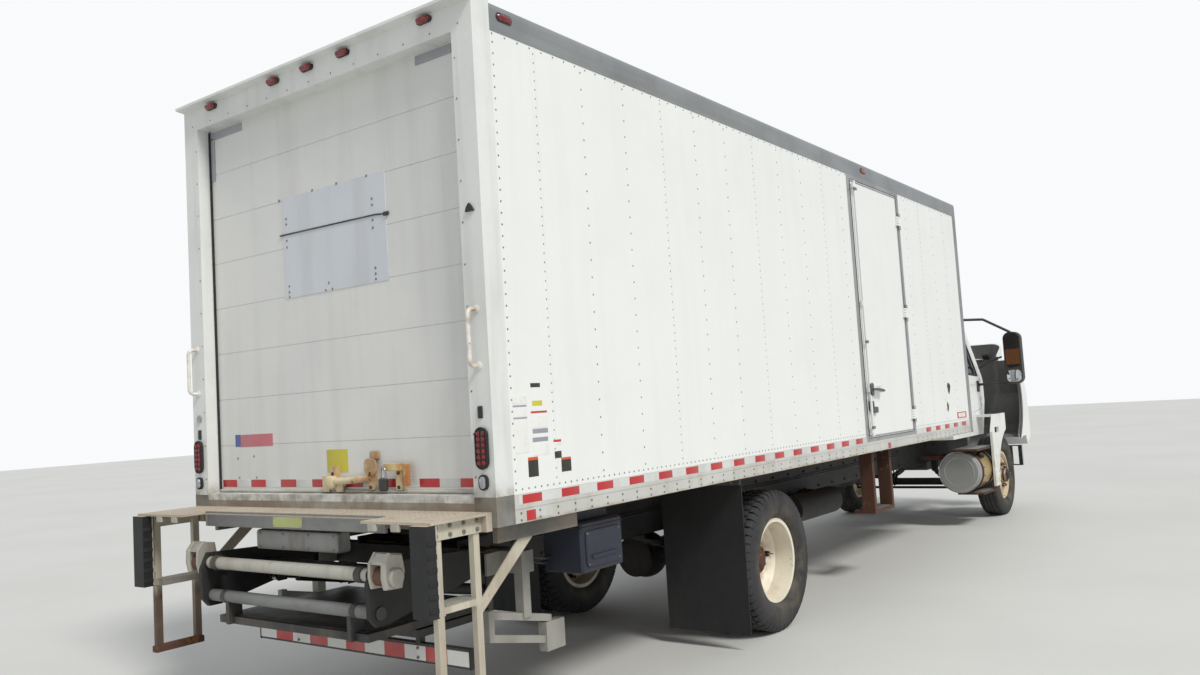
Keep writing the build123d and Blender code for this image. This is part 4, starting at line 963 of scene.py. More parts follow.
LABEL_PINK = Finish("label_pink", paint(192, 108, 118), paint(206, 140, 146), grime=0.2, rough=0.5)
LABEL_BLUE = Finish("label_blue", paint(66, 84, 160), paint(90, 104, 170), grime=0.2, rough=0.5)
LABEL_ORANGE = Finish("label_orange", paint(206, 92, 40), paint(190, 96, 56), grime=0.2, rough=0.5)
LABEL_RED = Finish("label_red", paint(198, 52, 44), paint(190, 80, 70), grime=0.2, rough=0.5)
HOLE_DARK = Finish("torn_edge", paint(34, 32, 30), paint(60, 54, 48), grime=0.4, rough=0.8, grain=0.6)
SEAT_CLOTH = Finish("seat_cloth", paint(78, 80, 86), paint(62, 63, 68), grime=0.25, rough=0.9, grain=0.8,
                    grain_scale=900)
DASH_GREY = Finish("dash_grey", paint(74, 74, 78), paint(92, 90, 88), grime=0.3, rough=0.6, grain=0.4)
SEALER = Finish("pale_seal", paint(198, 196, 186), paint(170, 164, 148), grime=0.4, rough=0.6)
LATCH_RUST = Finish("latch_rust", paint(216, 196, 142), paint(186, 112, 48), paint(150, 82, 40), patch=7.0,
                    wear=0.9, grime=0.4, rough=0.6, rust=0.3, rust_scale=18)
PLATE_BLANK = Finish("plate_blank", paint(178, 182, 120), paint(150, 150, 100), grime=0.35, rough=0.4)
GLASS_DARK = Pane("cab_glass_dark", paint(70, 82, 84), through=0.75)
MIRROR_GLASS = Pane("mirror_glass", paint(206, 210, 212), through=0.0, metal=1.0, rough=0.05)
# painted reflection: the upper mirror glass is dark with a brown band, standing in for what it reflects
MIRROR_PAINTED_REFLECTION = Pane("mirror_brown", paint(40, 38, 36), through=0.0, metal=0.4, rough=0.2,
                    painted_reflection=paint(112, 72, 40), painted_reflection_z=(1.94, 2.13))
LENS_RED = Lens("lens_red", paint(190, 24, 32), paint(110, 8, 16))
LENS_AMBER = Lens("lens_amber", paint(224, 120, 30), paint(150, 66, 12))
LENS_CLEAR = Lens("lens_clear", paint(214, 218, 220), paint(150, 156, 160), prism=60)

WHEEL_CENTRES = {"front": (AT.axle_front, AT.wheel_z), "rear": (AT.axle_rear, AT.wheel_z)}
FRONT_ENAMEL = WheelPaint("front_enamel", paint(224, 212, 186), paint(188, 160, 120), paint(120, 92, 62),
                          grime=0.5, rough=0.5, rust=0.34, rust_scale=13, centre=WHEEL_CENTRES["front"],
                          stain_and_shade=(0.14, 0.25))
REAR_ENAMEL = WheelPaint("rear_enamel", paint(236, 230, 212), paint(216, 200, 166), paint(150, 116, 72),
                         grime=0.35, rough=0.45, rust=0.2, rust_scale=9, centre=WHEEL_CENTRES["rear"],
                         stain_and_shade=(0.18, 0.285))
FRONT_RUBBER = TyreRubber("front_rubber", paint(33, 33, 35), paint(62, 61, 60), grime=0.2, rough=0.78,
                          centre=WHEEL_CENTRES["front"])
REAR_RUBBER = TyreRubber("rear_rubber", paint(36, 37, 40), paint(66, 66, 66), grime=0.2, rough=0.76,
                         centre=WHEEL_CENTRES["rear"])
TANK_SPAN = (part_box("fuel_tank")[0].x + 0.135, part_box("fuel_tank")[1].x - 0.135)
TANK_METAL = TankMetal("tank_metal", paint(196, 197, 196), paint(180, 179, 174), grime=0.06, rough=0.34,
                       metal=0.6, grain=0.05, streak=(3.0, 6.0, 6.0), span=TANK_SPAN)
GUARD_TAPE = BandTape("guard_tape", paint(222, 222, 218), paint(206, 202, 192), grime=0.12, rough=0.4,
                      wear=0.25, second=paint(186, 20, 26), length=0.1636, start=0.7364)
LATCH_PAINT = SplitPaint("latch_paint", paint(214, 200, 164), paint(170, 116, 62), paint(120, 76, 44),
                         patch=9.0, wear=0.7, grime=0.3, rough=0.5, rust=0.24, rust_scale=22,
                         outer=paint(226, 226, 220), reach=1.1)
STRUT_PAINT = SplitPaint("strut_paint", paint(36, 36, 36), paint(58, 56, 52), paint(96, 82, 66), grime=0.3,
                         rough=0.55, rust=0.12, outer=paint(158, 156, 148), reach=0.66)
CHANNEL_GREY = Finish("channel_grey", paint(134, 136, 134), paint(104, 104, 100), paint(92, 78, 62),
                      grime=0.4, rough=0.5, metal=0.3, rust=0.12, streak=(4.0, 3.0, 6.0))
GALVANISED = Finish("galvanised", paint(190, 188, 178), paint(164, 158, 144), paint(126, 94, 62), grime=0.35,
                    rough=0.45, metal=0.35, rust=0.14, rust_scale=14, streak=(9.0, 9.0, 2.0))
BUSHING = Finish("bushing_brown", paint(104, 70, 48), paint(80, 58, 44), grime=0.3, rough=0.6)
PALE_PLASTIC = Finish("pale_plastic", paint(214, 212, 200), paint(196, 190, 172), grime=0.2, rough=0.4)
STEP_PLATE = Finish("step_plate", paint(150, 152, 152), paint(128, 128, 124), grime=0.4, rough=0.45,
                    metal=0.5)
NODE_GROUPS: tuple[tuple[Finish | Pane | Lens, str], ...] = (
    (BLACK_CHASSIS, "air_tanks frame_rails gate_arms gate_cylinders"), (MOTOR_BLACK, "battery_box"),
    (FLOOR_WOOD, "box_floor"), (SIDE_WHITE, "box_front side_door wall_left wall_right"),
    (ROOF_WHITE, "box_roof"), (BRIGHT_STEEL, "bumper gate_rods"),
    (CAB_WHITE, "cab_door_left cab_door_right cab_shell cab_skirts"),
    (GLASS_DARK, "cab_glass door_glass_left door_glass_right"), (DASH_GREY, "dashboard"),
    (DARK_STEEL, "drive_shaft gate_platform"), (ENGINE_GREY, "engine"), (HOT_PIPE, "exhaust"),
    (CAST_IRON, "front_axle knuckle_left knuckle_right leaf_springs rear_axle tie_rod"),
    (FRONT_RUBBER, "front_tyre_left front_tyre_right"), (FRONT_ENAMEL, "front_wheel_left front_wheel_right"),
    (TANK_METAL, "fuel_tank"), (GATE_PAINT, "gate_dock"), (STRUT_PAINT, "gate_frame"),
    (POWER_BOX, "gate_power_box"), (BLACK_PLASTIC, "grille mirror_left mirror_right rear_lamps"),
    (HOOD_UNDER, "hood"), (RAIL_METAL, "lower_rails"), (BLACK_RUBBER, "mud_flaps"), (CORE_BLACK, "radiator"),
    (FRAME_WHITE, "rear_frame"), (LATCH_PAINT, "rear_hardware"),
    (REAR_RUBBER, "rear_tyres_left rear_tyres_right"), (REAR_ENAMEL, "rear_wheels_left rear_wheels_right"),
    (DOOR_GREY, "rollup_door"), (SEAT_CLOTH, "seats"), (JAMB_METAL, "side_door_frame"),
    (RUSTY_STEEL, "steps"), (TOP_RAIL, "upper_frame"),
)
NODE_FINISH = {name: finish for finish, names in NODE_GROUPS for name in names.split()}


@lru_cache(maxsize=None)
def material_of(finish: Finish | Pane | Lens) -> bpy.types.Material:
    """A finish's material, built the first time that it is asked for."""
    return finish.material()


def piece(name: str, shape: Shape, finish: Finish | Pane | Lens, body: str = "chassis",
          crease: float = 35.0) -> bpy.types.Object:
    """Turn a shape into a mesh object that rides on a body.

    Args:
        name: the piece's name.
        shape: its arrays, in the row frame.
        finish: what covers it.
        body: the body that carries it.
        crease: the angle in degrees above which an edge stays sharp.
    Returns:
        The new object.
    """
    groups = [group for group in shape.faces if len(group)]
    totals = np.concatenate([np.full(len(group), group.shape[1]) for group in groups])
    corners = np.concatenate([group.ravel() for group in groups]).astype(np.int32)
    mesh = bpy.data.meshes.new(name)
    mesh.vertices.add(len(shape.points))
    mesh.vertices.foreach_set("co", shape.points.astype(np.float32).ravel())
    mesh.loops.add(len(corners))
    mesh.loops.foreach_set("vertex_index", corners)
    mesh.polygons.add(len(totals))
    mesh.polygons.foreach_set("loop_start", (np.cumsum(totals) - totals).astype(np.int32))
    mesh.update(calc_edges=True)
    mesh.validate()
    cleaned = bmesh.new()
    cleaned.from_mesh(mesh)
    bmesh.ops.remove_doubles(cleaned, verts=cleaned.verts, dist=1e-6)
    bmesh.ops.recalc_face_normals(cleaned, faces=cleaned.faces)
    cleaned.to_mesh(mesh)
    cleaned.free()
    mesh.shade_smooth()
    mesh.set_sharp_from_angle(angle=math.radians(crease))
    mesh.materials.append(material_of(finish))
    thing = bpy.data.objects.new(name, mesh)
    bpy.context.scene.collection.objects.link(thing)
    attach(thing, body)
    log.info("%s on %s, %d faces", name, body, len(mesh.polygons))
    return thing


# The van body


@dataclass(frozen=True)
class VanBody:
    """The load box: riveted side panels, taped lower rails, marker lamps, blank labels and roof."""

    column_pitch: float = 0.4155
    first_column: float = 0.47
    rivet_pitch: float = 0.098
    seam_pitch: float = 0.049
    rivet_radius: float = 0.0062
    rivet_height: float = 0.0026
    tape_height: float = 0.048
    tape_pitch: float = 0.31
    tape_length: float = 0.15
    door_gap: Pair = (4.78, 6.095)
    columns: int = 19

    def build(self) -> None:
        """Dress both sides, the roof and the front."""
        for side in Side:
            self.rivets(side)
            self.seams(side)
            self.tape(side)
            self.markers(side)
        self.labels()
        self.tears()
        self.roof()

    def stations(self, side: Side, step: int = 1, skip: int = 0) -> np.ndarray:
        """The X places of the rivet columns, without those that the side door takes.

        Args:
            side: the side of the truck.
            step: take every such column.
            skip: leave out each column whose number divides by this, unless it is 0.
        Returns:
            The places, in the row frame.
        """
        numbers = np.arange(0, self.columns, step)
        if skip:
            numbers = numbers[numbers % skip != 0]
        places = self.first_column + numbers * self.column_pitch
        if side is Side.RIGHT:
            clear = (places < self.door_gap[0] - 0.02) | (places > self.door_gap[1] + 0.02)
            places = places[clear]
        return AT.rear + places

    def run(self, side: Side, pitch: float, start: float = 0.15, end: float = 7.91) -> np.ndarray:
        """X places of a row at even pitch, without those below the side door."""
        places = np.arange(start, end, pitch)
        if side is Side.RIGHT:
            places = places[(places < self.door_gap[0]) | (places > self.door_gap[1])]
        return AT.rear + places

    def rivets(self, side: Side) -> None:
        """Rivet heads in columns up the wall, dense ones on every third, and in rows along both rails.

        Args:
            side: the side of the truck.
        """
        out = (0, side.value, 0)
        head = dome(self.rivet_radius, self.rivet_height, out)
        skin = np.array([side.value * AT.skin])
        low, high = AT.floor + 0.045, AT.wall_top - 0.04
        wide = lattice(self.stations(side, skip=3), skin, np.arange(low, high, self.rivet_pitch))
        dense = lattice(self.stations(side, step=3), skin, np.arange(low, high, self.seam_pitch))
        rear_edge = lattice(AT.rear + 0.152, skin, np.arange(low, high, self.seam_pitch * 1.2))
        foot = lattice(self.run(side, self.seam_pitch), skin, AT.floor + 0.012)
        top = lattice(self.run(side, self.rivet_pitch), skin, AT.wall_top - 0.016)
        piece(f"wall_rivets_{side.word}", head.repeated(np.concatenate([wide, dense, rear_edge, foot, top])),
              RIVET_GREY)
        rail = np.array([side.value * AT.side])
        bolt = dome(self.rivet_radius * 1.25, self.rivet_height * 1.4, out)
        pairs = lattice(self.run(side, 0.145, 0.175), rail, [AT.rail_low + 0.014, AT.rail_low + 0.048])
        piece(f"rail_bolts_{side.word}", bolt.repeated(pairs), BOLT_GREY)

    def seams(self, side: Side) -> None:
        """Lapped sheet edges: a thin flat strip up the wall at every third column.

        Args:
            side: the side of the truck.
        """
        near, far = sorted((side.value * (AT.skin - 0.001), side.value * (AT.skin + 0.0012)))
        strips = [slab((x - 0.016, near, AT.floor + 0.005), (x + 0.016, far, AT.wall_top - 0.002), 0.0006)
                  for x in self.stations(side, step=3)]
        piece(f"wall_seams_{side.word}", joined(*strips), SIDE_WHITE)

    def tape(self, side: Side) -> None:
        """White reflective tape along the lower rail with red lengths on it at even pitch.

        Args:
            side: the side of the truck.
        """
        low = AT.floor - 0.062
        near, far = sorted((side.value * (AT.side - 0.001), side.value * (AT.side + 0.0006)))
        deep, proud = sorted((side.value * (AT.side - 0.001), side.value * (AT.side + 0.0012)))
        spans = [(0.165, 7.9)] if side is Side.LEFT else [(0.165, self.door_gap[0]), (self.door_gap[1], 7.9)]
        white = [slab((AT.rear + a, near, low), (AT.rear + b, far, low + self.tape_height), 0.0005)
                 for a, b in spans]
        piece(f"tape_white_{side.word}", joined(*white), TAPE_WHITE)
        starts = self.run(side, self.tape_pitch, 0.19, 7.75)
        if side is Side.RIGHT:
            low_end, high_end = AT.rear + self.door_gap[0], AT.rear + self.door_gap[1]
            starts = starts[(starts + self.tape_length < low_end) | (starts > high_end)]
        mark = slab((0, deep, low + 0.002), (self.tape_length, proud, low + self.tape_height - 0.002), 0.0005)
        offsets = lattice(starts, 0, 0)
        small = slab((0, deep, AT.rail_low + 0.006), (0.07, proud, AT.rail_low + 0.056), 0.0005)
        extra = [small.moved((AT.rear + 0.215, 0, 0))]
        if side is Side.RIGHT:
            extra.append(small.moved((AT.rear + 5.29, 0, 0)))
        piece(f"tape_red_{side.word}", joined(mark.repeated(offsets), *extra), TAPE_RED)

    def markers(self, side: Side) -> None:
        """Oval marker lamps on the upper rail: red at the rear, amber past the middle.

        Args:
            side: the side of the truck.
        """
        out = side.value
        for word, station, finish in (("red", 0.245, LENS_RED), ("amber", 5.19, LENS_AMBER)):
            layers = [(out * (AT.side + depth), draw)
                      for depth, draw in ((-0.001, 0.0), (0.006, 0.0), (0.012, 0.007), (0.0145, 0.014))]
            lamp = lens_shape((0.05, 0.018), 0.017, layers, axis=1, squeeze=0.8,
                              middle=(AT.rear + station, AT.roof - 0.075))
            piece(f"side_marker_{word}_{side.word}", lamp, finish)
            collar = slab((-0.062, -0.0035, -0.024), (0.062, 0.0035, 0.024), 0.0015, 0.022, axis=1)
            place = (AT.rear + station, out * (AT.side + 0.001), AT.roof - 0.075)
            piece(f"side_marker_collar_{word}_{side.word}", collar.moved(place), BLACK_PLASTIC)

    def labels(self) -> None:
        """Blank stickers on the right wall near the rear, and one at its front: plain coloured rectangles."""
        face = -AT.skin
        table = {
            "white": (LABEL_WHITE, (
                (0.156, 0.266, 1.765, 1.805), (0.158, 0.262, 1.70, 1.745), (0.30, 0.42, 1.64, 1.70),
                (0.46, 0.524, 1.542, 1.556), (0.16, 0.262, 1.52, 1.685), (0.30, 0.425, 1.50, 1.56))),
            "grey": (LABEL_GREY, (
                (0.30, 0.42, 1.611, 1.634), (0.296, 0.418, 1.568, 1.590), (0.158, 0.262, 1.75, 1.758),
                (0.158, 0.262, 1.69, 1.697))),
            "dark": (LABEL_BLACK, (
                (0.301, 0.376, 1.846, 1.867), (0.464, 0.521, 1.473, 1.509), (0.252, 0.329, 1.395, 1.478),
                (0.517, 0.598, 1.399, 1.461))),
            "yellow": (LABEL_YELLOW, ((0.308, 0.386, 1.752, 1.777),)),
            "orange": (LABEL_ORANGE, ((0.252, 0.329, 1.478, 1.494), (0.517, 0.598, 1.461, 1.473))),
            "red": (LABEL_RED, (
                (0.294, 0.42, 1.714, 1.724), (0.459, 0.524, 1.557, 1.569), (7.49, 7.83, 1.356, 1.366),
                (7.49, 7.83, 1.414, 1.424), (7.49, 7.53, 1.366, 1.414), (7.79, 7.83, 1.366, 1.414))),
        }
        for word, (finish, spans) in table.items():
            marks = [slab((AT.rear + a, face - 0.0014, low), (AT.rear + b, face + 0.001, high), 0.0004)
                     for a, b, low, high in spans]
            piece(f"side_labels_{word}", joined(*marks), finish)
        centre = slab((AT.rear + 7.53, face - 0.0012, 1.366), (AT.rear + 7.79, face + 0.001, 1.414), 0.0004)
        piece("side_label_front", centre, LABEL_WHITE)

    def tears(self) -> None:
        """Two torn patches in the right wall's front panel: flat rings that swell unevenly round a centre."""
        turn = np.linspace(0, 2 * math.pi, 28, endpoint=False)
        sizes = ((7.262, 1.70, 0.05, 0.058, 0.3), (7.18, 1.497, 0.03, 0.05, 1.4))
        parts = []
        for x, z, half_x, half_z, phase in sizes:
            swell = 1 + 0.16 * np.sin(3 * turn + phase) + 0.08 * np.sin(7 * turn)
            rings = [np.column_stack([AT.rear + x + half_x * share * swell * np.cos(turn),
                                      np.full(len(turn), -AT.skin - lift),
                                      z + half_z * share * swell * np.sin(turn)])
                     for share, lift in ((1.0, -0.001), (1.0, 0.0008), (0.75, 0.0022), (0.5, 0.0012))]
            parts.append(lofted(rings))
        piece("wall_tears", joined(*parts), HOLE_DARK)

    def roof(self) -> None:
        """Roof sheet laps and rivet rows across the roof, all under the rails' top."""
        top = AT.roof - 0.008
        half = AT.side - 0.06
        laps = [slab((AT.rear + x - 0.02, -half, top - 0.001), (AT.rear + x + 0.02, half, top + 0.002),
                     0.0008) for x in np.arange(1.3, 7.8, 1.22)]
        piece("roof_laps", joined(*laps), ROOF_WHITE)
        places = lattice(AT.rear + np.arange(0.69, 7.9, 0.61), np.arange(-half + 0.06, half, 0.1), top)
        piece("roof_rivets", dome(0.007, 0.003, (0, 0, 1)).repeated(places), RIVET_GREY)


# The rear end


@dataclass(frozen=True)
class RearEnd:
    """The rear frame and roll-up door: lamps, patch, seals, tape, blank labels, latch and grips."""

    door_face: float = 0.092
    door_half: float = 1.147
    lamp_ys: tuple[float, ...] = (-0.97, -0.32, 0.0, 0.32, 0.97)
    lamp_drop: float = 0.06
    tail_y: float = 1.228
    tail_z: float = 1.56
    round_z: float = 1.395

    def build(self) -> None:
        """Dress the header, posts and door from the top down."""
        self.header_lamps()
        self.tail_lamps()
        self.door_patch()
        self.door_edges()
        self.door_labels()
        self.latch()
        self.post_hardware()
        self.post_rivets()

    def face(self) -> float:
        """The X of the door's outer face."""
        return AT.rear + self.door_face

    def header_lamps(self) -> None:
        """Five oval red lamps: soft rectangles that draw in towards the lens top."""
        layers = ((-0.014, 0.004), (-0.02, 0.004), (-0.03, 0.01), (-0.035, 0.016))
        lens = lens_shape((0.05, 0.019), 0.018, layers, squeeze=0.6)
        piece("header_lamps", lens.repeated(lattice(AT.rear, self.lamp_ys, AT.roof - self.lamp_drop)),
              LENS_RED)

    def tail_lamps(self) -> None:
        """Tall lamps in rubber rings: a column of round red diodes in each, and a clear oval lamp below."""
        diode = revolved([(0, 0.0125), (0.004, 0.0125), (0.0075, 0.009), (0.009, 0.004)], (0, 0, 0),
                         (-1, 0, 0), 12)
        column = lattice(0, [-0.016, 0.016], np.arange(-0.072, 0.08, 0.0288))
        cluster = diode.repeated(column)
        tall = bead((0.036, 0.098), 0.035, 0.0, round_profile(0.0055, 8))
        small = bead((0.023, 0.034), 0.022, 0.0, round_profile(0.0045, 8))
        glow = lens_shape((0.02, 0.031), 0.019, ((0.0, 0.0), (-0.006, 0.002), (-0.009, 0.009)), steps=6)
        for side in Side:
            y, face = side.value * self.tail_y, AT.rear - 0.016
            at = (face, y, self.tail_z)
            piece(f"tail_diodes_{side.word}", cluster.moved(at), LENS_RED)
            piece(f"tail_bead_{side.word}", tall.moved(at), BLACK_RUBBER)
            low = (face, y, self.round_z)
            piece(f"reverse_bead_{side.word}", small.moved(low), BLACK_RUBBER)
            piece(f"reverse_lens_{side.word}", glow.moved(low), LENS_CLEAR)

    def door_patch(self) -> None:
        """The repair plate on the door with a dark seam across it, bolt heads and shaded corner plates."""
        x = self.face()
        piece("door_patch", slab((x - 0.003, -0.507, 2.482), (x + 0.001, 0.41, 3.09), 0.001, 0.006, axis=0),
              DOOR_PATCH)
        seam = swept([(x - 0.004, 0.44, 2.868), (x - 0.004, 0.0, 2.862), (x - 0.004, -0.42, 2.856),
                      (x - 0.004, -0.515, 2.846)], soft_rectangle(0.004, 0.0045, 0.002), up=(1, 0, 0))
        end = slab((x - 0.012, -0.53, 2.836), (x - 0.001, -0.49, 2.858), 0.003)
        piece("door_patch_seam", joined(seam, end), DARK_STEEL)
        marks = [(0.377, 2.963), (0.377, 2.93), (0.377, 2.83), (0.377, 2.79), (-0.398, 2.95),
                 (-0.398, 2.915), (-0.397, 2.83), (-0.396, 2.787), (0.368, 2.554), (0.37, 2.52),
                 (0.37, 2.49), (-0.404, 2.562), (-0.404, 2.53), (-0.404, 2.5), (0.0, 2.53), (0.03, 2.49),
                 (-0.03, 2.49), (0.44, 3.085), (0.12, 3.09), (-0.1, 3.09), (-0.36, 3.085)]
        places = np.array([(x - 0.003, y, z) for y, z in marks])
        piece("door_patch_bolts", dome(0.008, 0.004, (-1, 0, 0), 8).repeated(places), BOLT_GREY)
        corners = [slab((x - 0.006, a, 3.60), (x + 0.001, b, 3.65), 0.002)
                   for a, b in ((0.80, 1.14), (-1.06, -0.79))]
        track = slab((x - 0.006, 1.10, 3.33), (x + 0.001, 1.14, 3.61), 0.002)
        piece("door_corner_plates", joined(*corners, track), LABEL_GREY)

    def door_edges(self) -> None:
        """Side seals, a pale bottom seal and the tape above it."""
        x = self.face()
        seals = [slab((x - 0.016, side * self.door_half - 0.006, AT.floor + 0.01),
                      (x - 0.001, side * self.door_half + 0.0025, 3.655), 0.003) for side in (1, -1)]
        piece("door_side_seals", joined(*seals), BLACK_RUBBER)
        foot = slab((x - 0.02, -self.door_half + 0.004, AT.floor + 0.001),
                    (x - 0.001, self.door_half - 0.004, 1.35), 0.006)
        piece("door_bottom_seal", foot, SEALER)
        band = slab((0, 0, 0), (0.0016, 0.148, 0.045), 0.0005)
        starts = np.arange(-1.12, 1.0, 0.3)
        for word, finish, shift in (("red", TAPE_RED, 0.0), ("white", TAPE_WHITE, 0.15)):
            piece(f"door_tape_{word}", band.repeated(lattice(x - 0.0012, starts + shift, 1.362)), finish)

    def door_labels(self) -> None:
        """Blank stickers low on the door, and four screw heads under one of them."""
        x = self.face()
        for word, finish, low, high in (("yellow", LABEL_YELLOW, (-0.10, 1.445), (0.085, 1.575)),
                                        ("pink", LABEL_PINK, (0.593, 1.61), (0.925, 1.685)),
                                        ("blue", LABEL_BLUE, (0.927, 1.612), (0.98, 1.687))):
            piece(f"door_label_{word}", slab((x - 0.0014, *low), (x + 0.001, *high), 0.0004), finish)
        marks = np.array([(x, y, z) for y, z in ((0.96, 1.54), (0.79, 1.55), (0.77, 1.42), (0.95, 1.42))])
        piece("door_screws", dome(0.009, 0.003, (-1, 0, 0), 8).repeated(marks), RIVET_GREY)

    def latch(self) -> None:
        """The worn lift handle between its rusty brackets, the lock bar and the padlock."""
        x = self.face() - 0.03
        handle = tube([(x + 0.004, 0.05, 1.392), (x - 0.012, 0.0, 1.396), (x - 0.016, -0.12, 1.40),
                       (x - 0.016, -0.24, 1.408), (x - 0.002, -0.31, 1.412)], 0.019, 12, up=(1, 0, 0))
        knob = pillow((x - 0.012, 0.0, 1.394), (0.026, 0.04, 0.036), 0.6, 0.8, 12, 18)
        piece("latch_handle", joined(handle, knob), LATCH_PAINT)
        feet = joined(slab((x - 0.006, 0.03, 1.338), (x + 0.001, 0.09, 1.43), 0.002),
                      slab((x - 0.006, -0.09, 1.338), (x + 0.001, -0.03, 1.42), 0.002),
                      slab((x - 0.006, -0.375, 1.43), (x + 0.001, -0.27, 1.52), 0.002, 0.03, axis=0),
                      slab((x + 0.014, -0.37, 1.515), (x + 0.0295, -0.3, 1.56), 0.002, 0.01, axis=0))
        piece("latch_plates", feet, LATCH_PAINT)
        bar = joined(slab((x - 0.008, -0.62, 1.452), (x + 0.002, -0.43, 1.492), 0.003),
                     slab((x - 0.014, -0.636, 1.372), (x + 0.0, -0.592, 1.492), 0.004))
        piece("latch_bar", bar, LATCH_RUST)
        piece("latch_lock", slab((x - 0.034, -0.474, 1.345), (x - 0.004, -0.412, 1.415), 0.008, 0.014),
              DARK_STEEL)
        shackle = tube([(x - 0.019, -0.462, 1.41), (x - 0.019, -0.462, 1.462), (x - 0.019, -0.443, 1.476),
                        (x - 0.019, -0.424, 1.462), (x - 0.019, -0.424, 1.41)], 0.006, up=(1, 0, 0))
        piece("latch_shackle", shackle, BRIGHT_STEEL)
        nuts = np.array([(x - 0.0005, y, z) for y in (0.0, -0.32, -0.545) for z in (1.365, 1.44)])
        piece("latch_nuts", hex_nut(0.01, 0.007, (-1, 0, 0)).repeated(nuts), RUSTY_STEEL)

    def post_hardware(self) -> None:
        """A clip, the round keyed lock, the white grips' feet and small brackets on the rear posts."""
        wedge = [(-0.026, -0.018), (0.03, -0.018), (0.022, 0.004), (0.004, 0.024), (-0.010, 0.01)]
        rings = [np.array([(AT.rear - depth, -1.225 + a, 2.745 + b) for a, b in wedge])
                 for depth in (-0.001, 0.012)]
        piece("post_clip", lofted(rings), BLACK_PLASTIC)
        lock = revolved([(-0.001, 0.024), (0.008, 0.024), (0.012, 0.018), (0.013, 0.008)],
                        (AT.rear, 1.222, 1.80), (-1, 0, 0), 20)
        piece("post_lock", lock, BRIGHT_STEEL)
        feet = lattice(AT.rear, [-1.226, 1.226], [1.96, 2.24])
        foot = revolved([(-0.001, 0.022), (0.004, 0.022), (0.009, 0.014)], (0, 0, 0), (-1, 0, 0), 16)
        piece("grip_feet", foot.repeated(feet), GRIP_WHITE)
        clip = slab((-0.008, -0.015, -0.03), (0.0005, 0.015, 0.03), 0.003)
        piece("post_brackets", clip.repeated([(AT.rear, -1.222, 1.735), (AT.rear, 1.222, 1.70)]),
              BLACK_PLASTIC)

    def post_rivets(self) -> None:
        """Rivets up the rear posts and along the header's visor."""
        heads = dome(0.006, 0.0026, (-1, 0, 0))
        posts = lattice(AT.rear, [-1.168, 1.168], np.arange(1.42, 3.55, 0.21))
        line = lattice(AT.rear, np.arange(-1.2, 1.21, 0.2), 3.69)
        piece("post_rivets", heads.repeated(np.concatenate([posts, line])), RIVET_GREY)


# The side door


@dataclass(frozen=True)
class SideDoor:
    """The cargo door in the right wall: seals, hinge bolts, bar guides, handle, hasp and a scuff mark."""

    rear: float = 4.841
    front: float = 6.034
    low: float = 1.306
    high: float = 3.629
    handle_z: float = 1.73

    def build(self) -> None:
        """Dress the leaf and what closes it."""
        face = -AT.skin
        x0, x1 = AT.rear + self.rear, AT.rear + self.front
        inset, y, level = 0.012, face - 0.001, self.handle_z
        left, right, foot, top = x0 + inset, x1 - inset, self.low + inset, self.high - inset
        rim = np.array([(left, y, foot), (right, y, foot), (right, y, top), (left, y, top)])
        strips = [slab(np.minimum(a, b) - (0.007, 0.002, 0.007), np.maximum(a, b) + (0.007, 0.001, 0.007),
                       0.0015) for a, b in zip(rim, np.roll(rim, -1, axis=0))]
        piece("side_door_seal", joined(*strips[:3]), JAMB_METAL, "side_door")
        # painted shadow: the seal strip at the leaf's rear edge is black, standing for the shadow in the gap
        # between frame and leaf
        piece("side_door_gap", strips[3], BLACK_RUBBER, "side_door")
        nuts = [(x1 - dx, face - 0.0195, z + dz) for z in (1.468, 2.465, 3.38) for dx in (0.02, 0.044)
                for dz in (-0.026, 0.0, 0.026)]
        piece("side_hinge_bolts", dome(0.006, 0.004, (0, -1, 0), 8).repeated(nuts), BOLT_GREY,
              "side_door")
        bar = x0 + 0.045
        guides = [slab((bar - 0.03, face - 0.043, z - 0.013), (bar + 0.03, face - 0.026, z + 0.013), 0.004)
                  for z in (self.low + 0.09, 2.157, self.high - 0.09)]
        piece("side_bar_guides", joined(*guides), BOLT_GREY, "side_door")
        hub = slab((bar - 0.012, face - 0.05, level - 0.055), (bar + 0.045, face - 0.028, level + 0.06),
                   0.005, 0.02, axis=1)
        way = [(bar, face - 0.052, level), (bar + 0.08, face - 0.053, level + 0.004),
               (bar + 0.18, face - 0.053, level - 0.002), (bar + 0.27, face - 0.052, level - 0.014)]
        piece("side_handle_grip", joined(hub, swept(eased(way), round_profile(0.016, 10, 0.7))), WORN_STEEL,
              "side_door")
        hasp = slab((bar, face - 0.032, level - 0.19), (bar + 0.07, face - 0.001, level - 0.1), 0.005, 0.014,
                    axis=1)
        lever = slab((bar + 0.05, face - 0.028, level - 0.21), (bar + 0.17, face - 0.012, level - 0.155),
                     0.004, 0.01, axis=1)
        piece("side_hasp", joined(hasp, lever), WORN_STEEL, "side_door")
        scuff = slab((bar + 0.082, face - 0.0016, 1.41), (bar + 0.104, face + 0.001, 1.56), 0.0005, 0.008,
                     axis=1)
        piece("side_door_scuff", scuff, HOLE_DARK, "side_door")


# Wheels


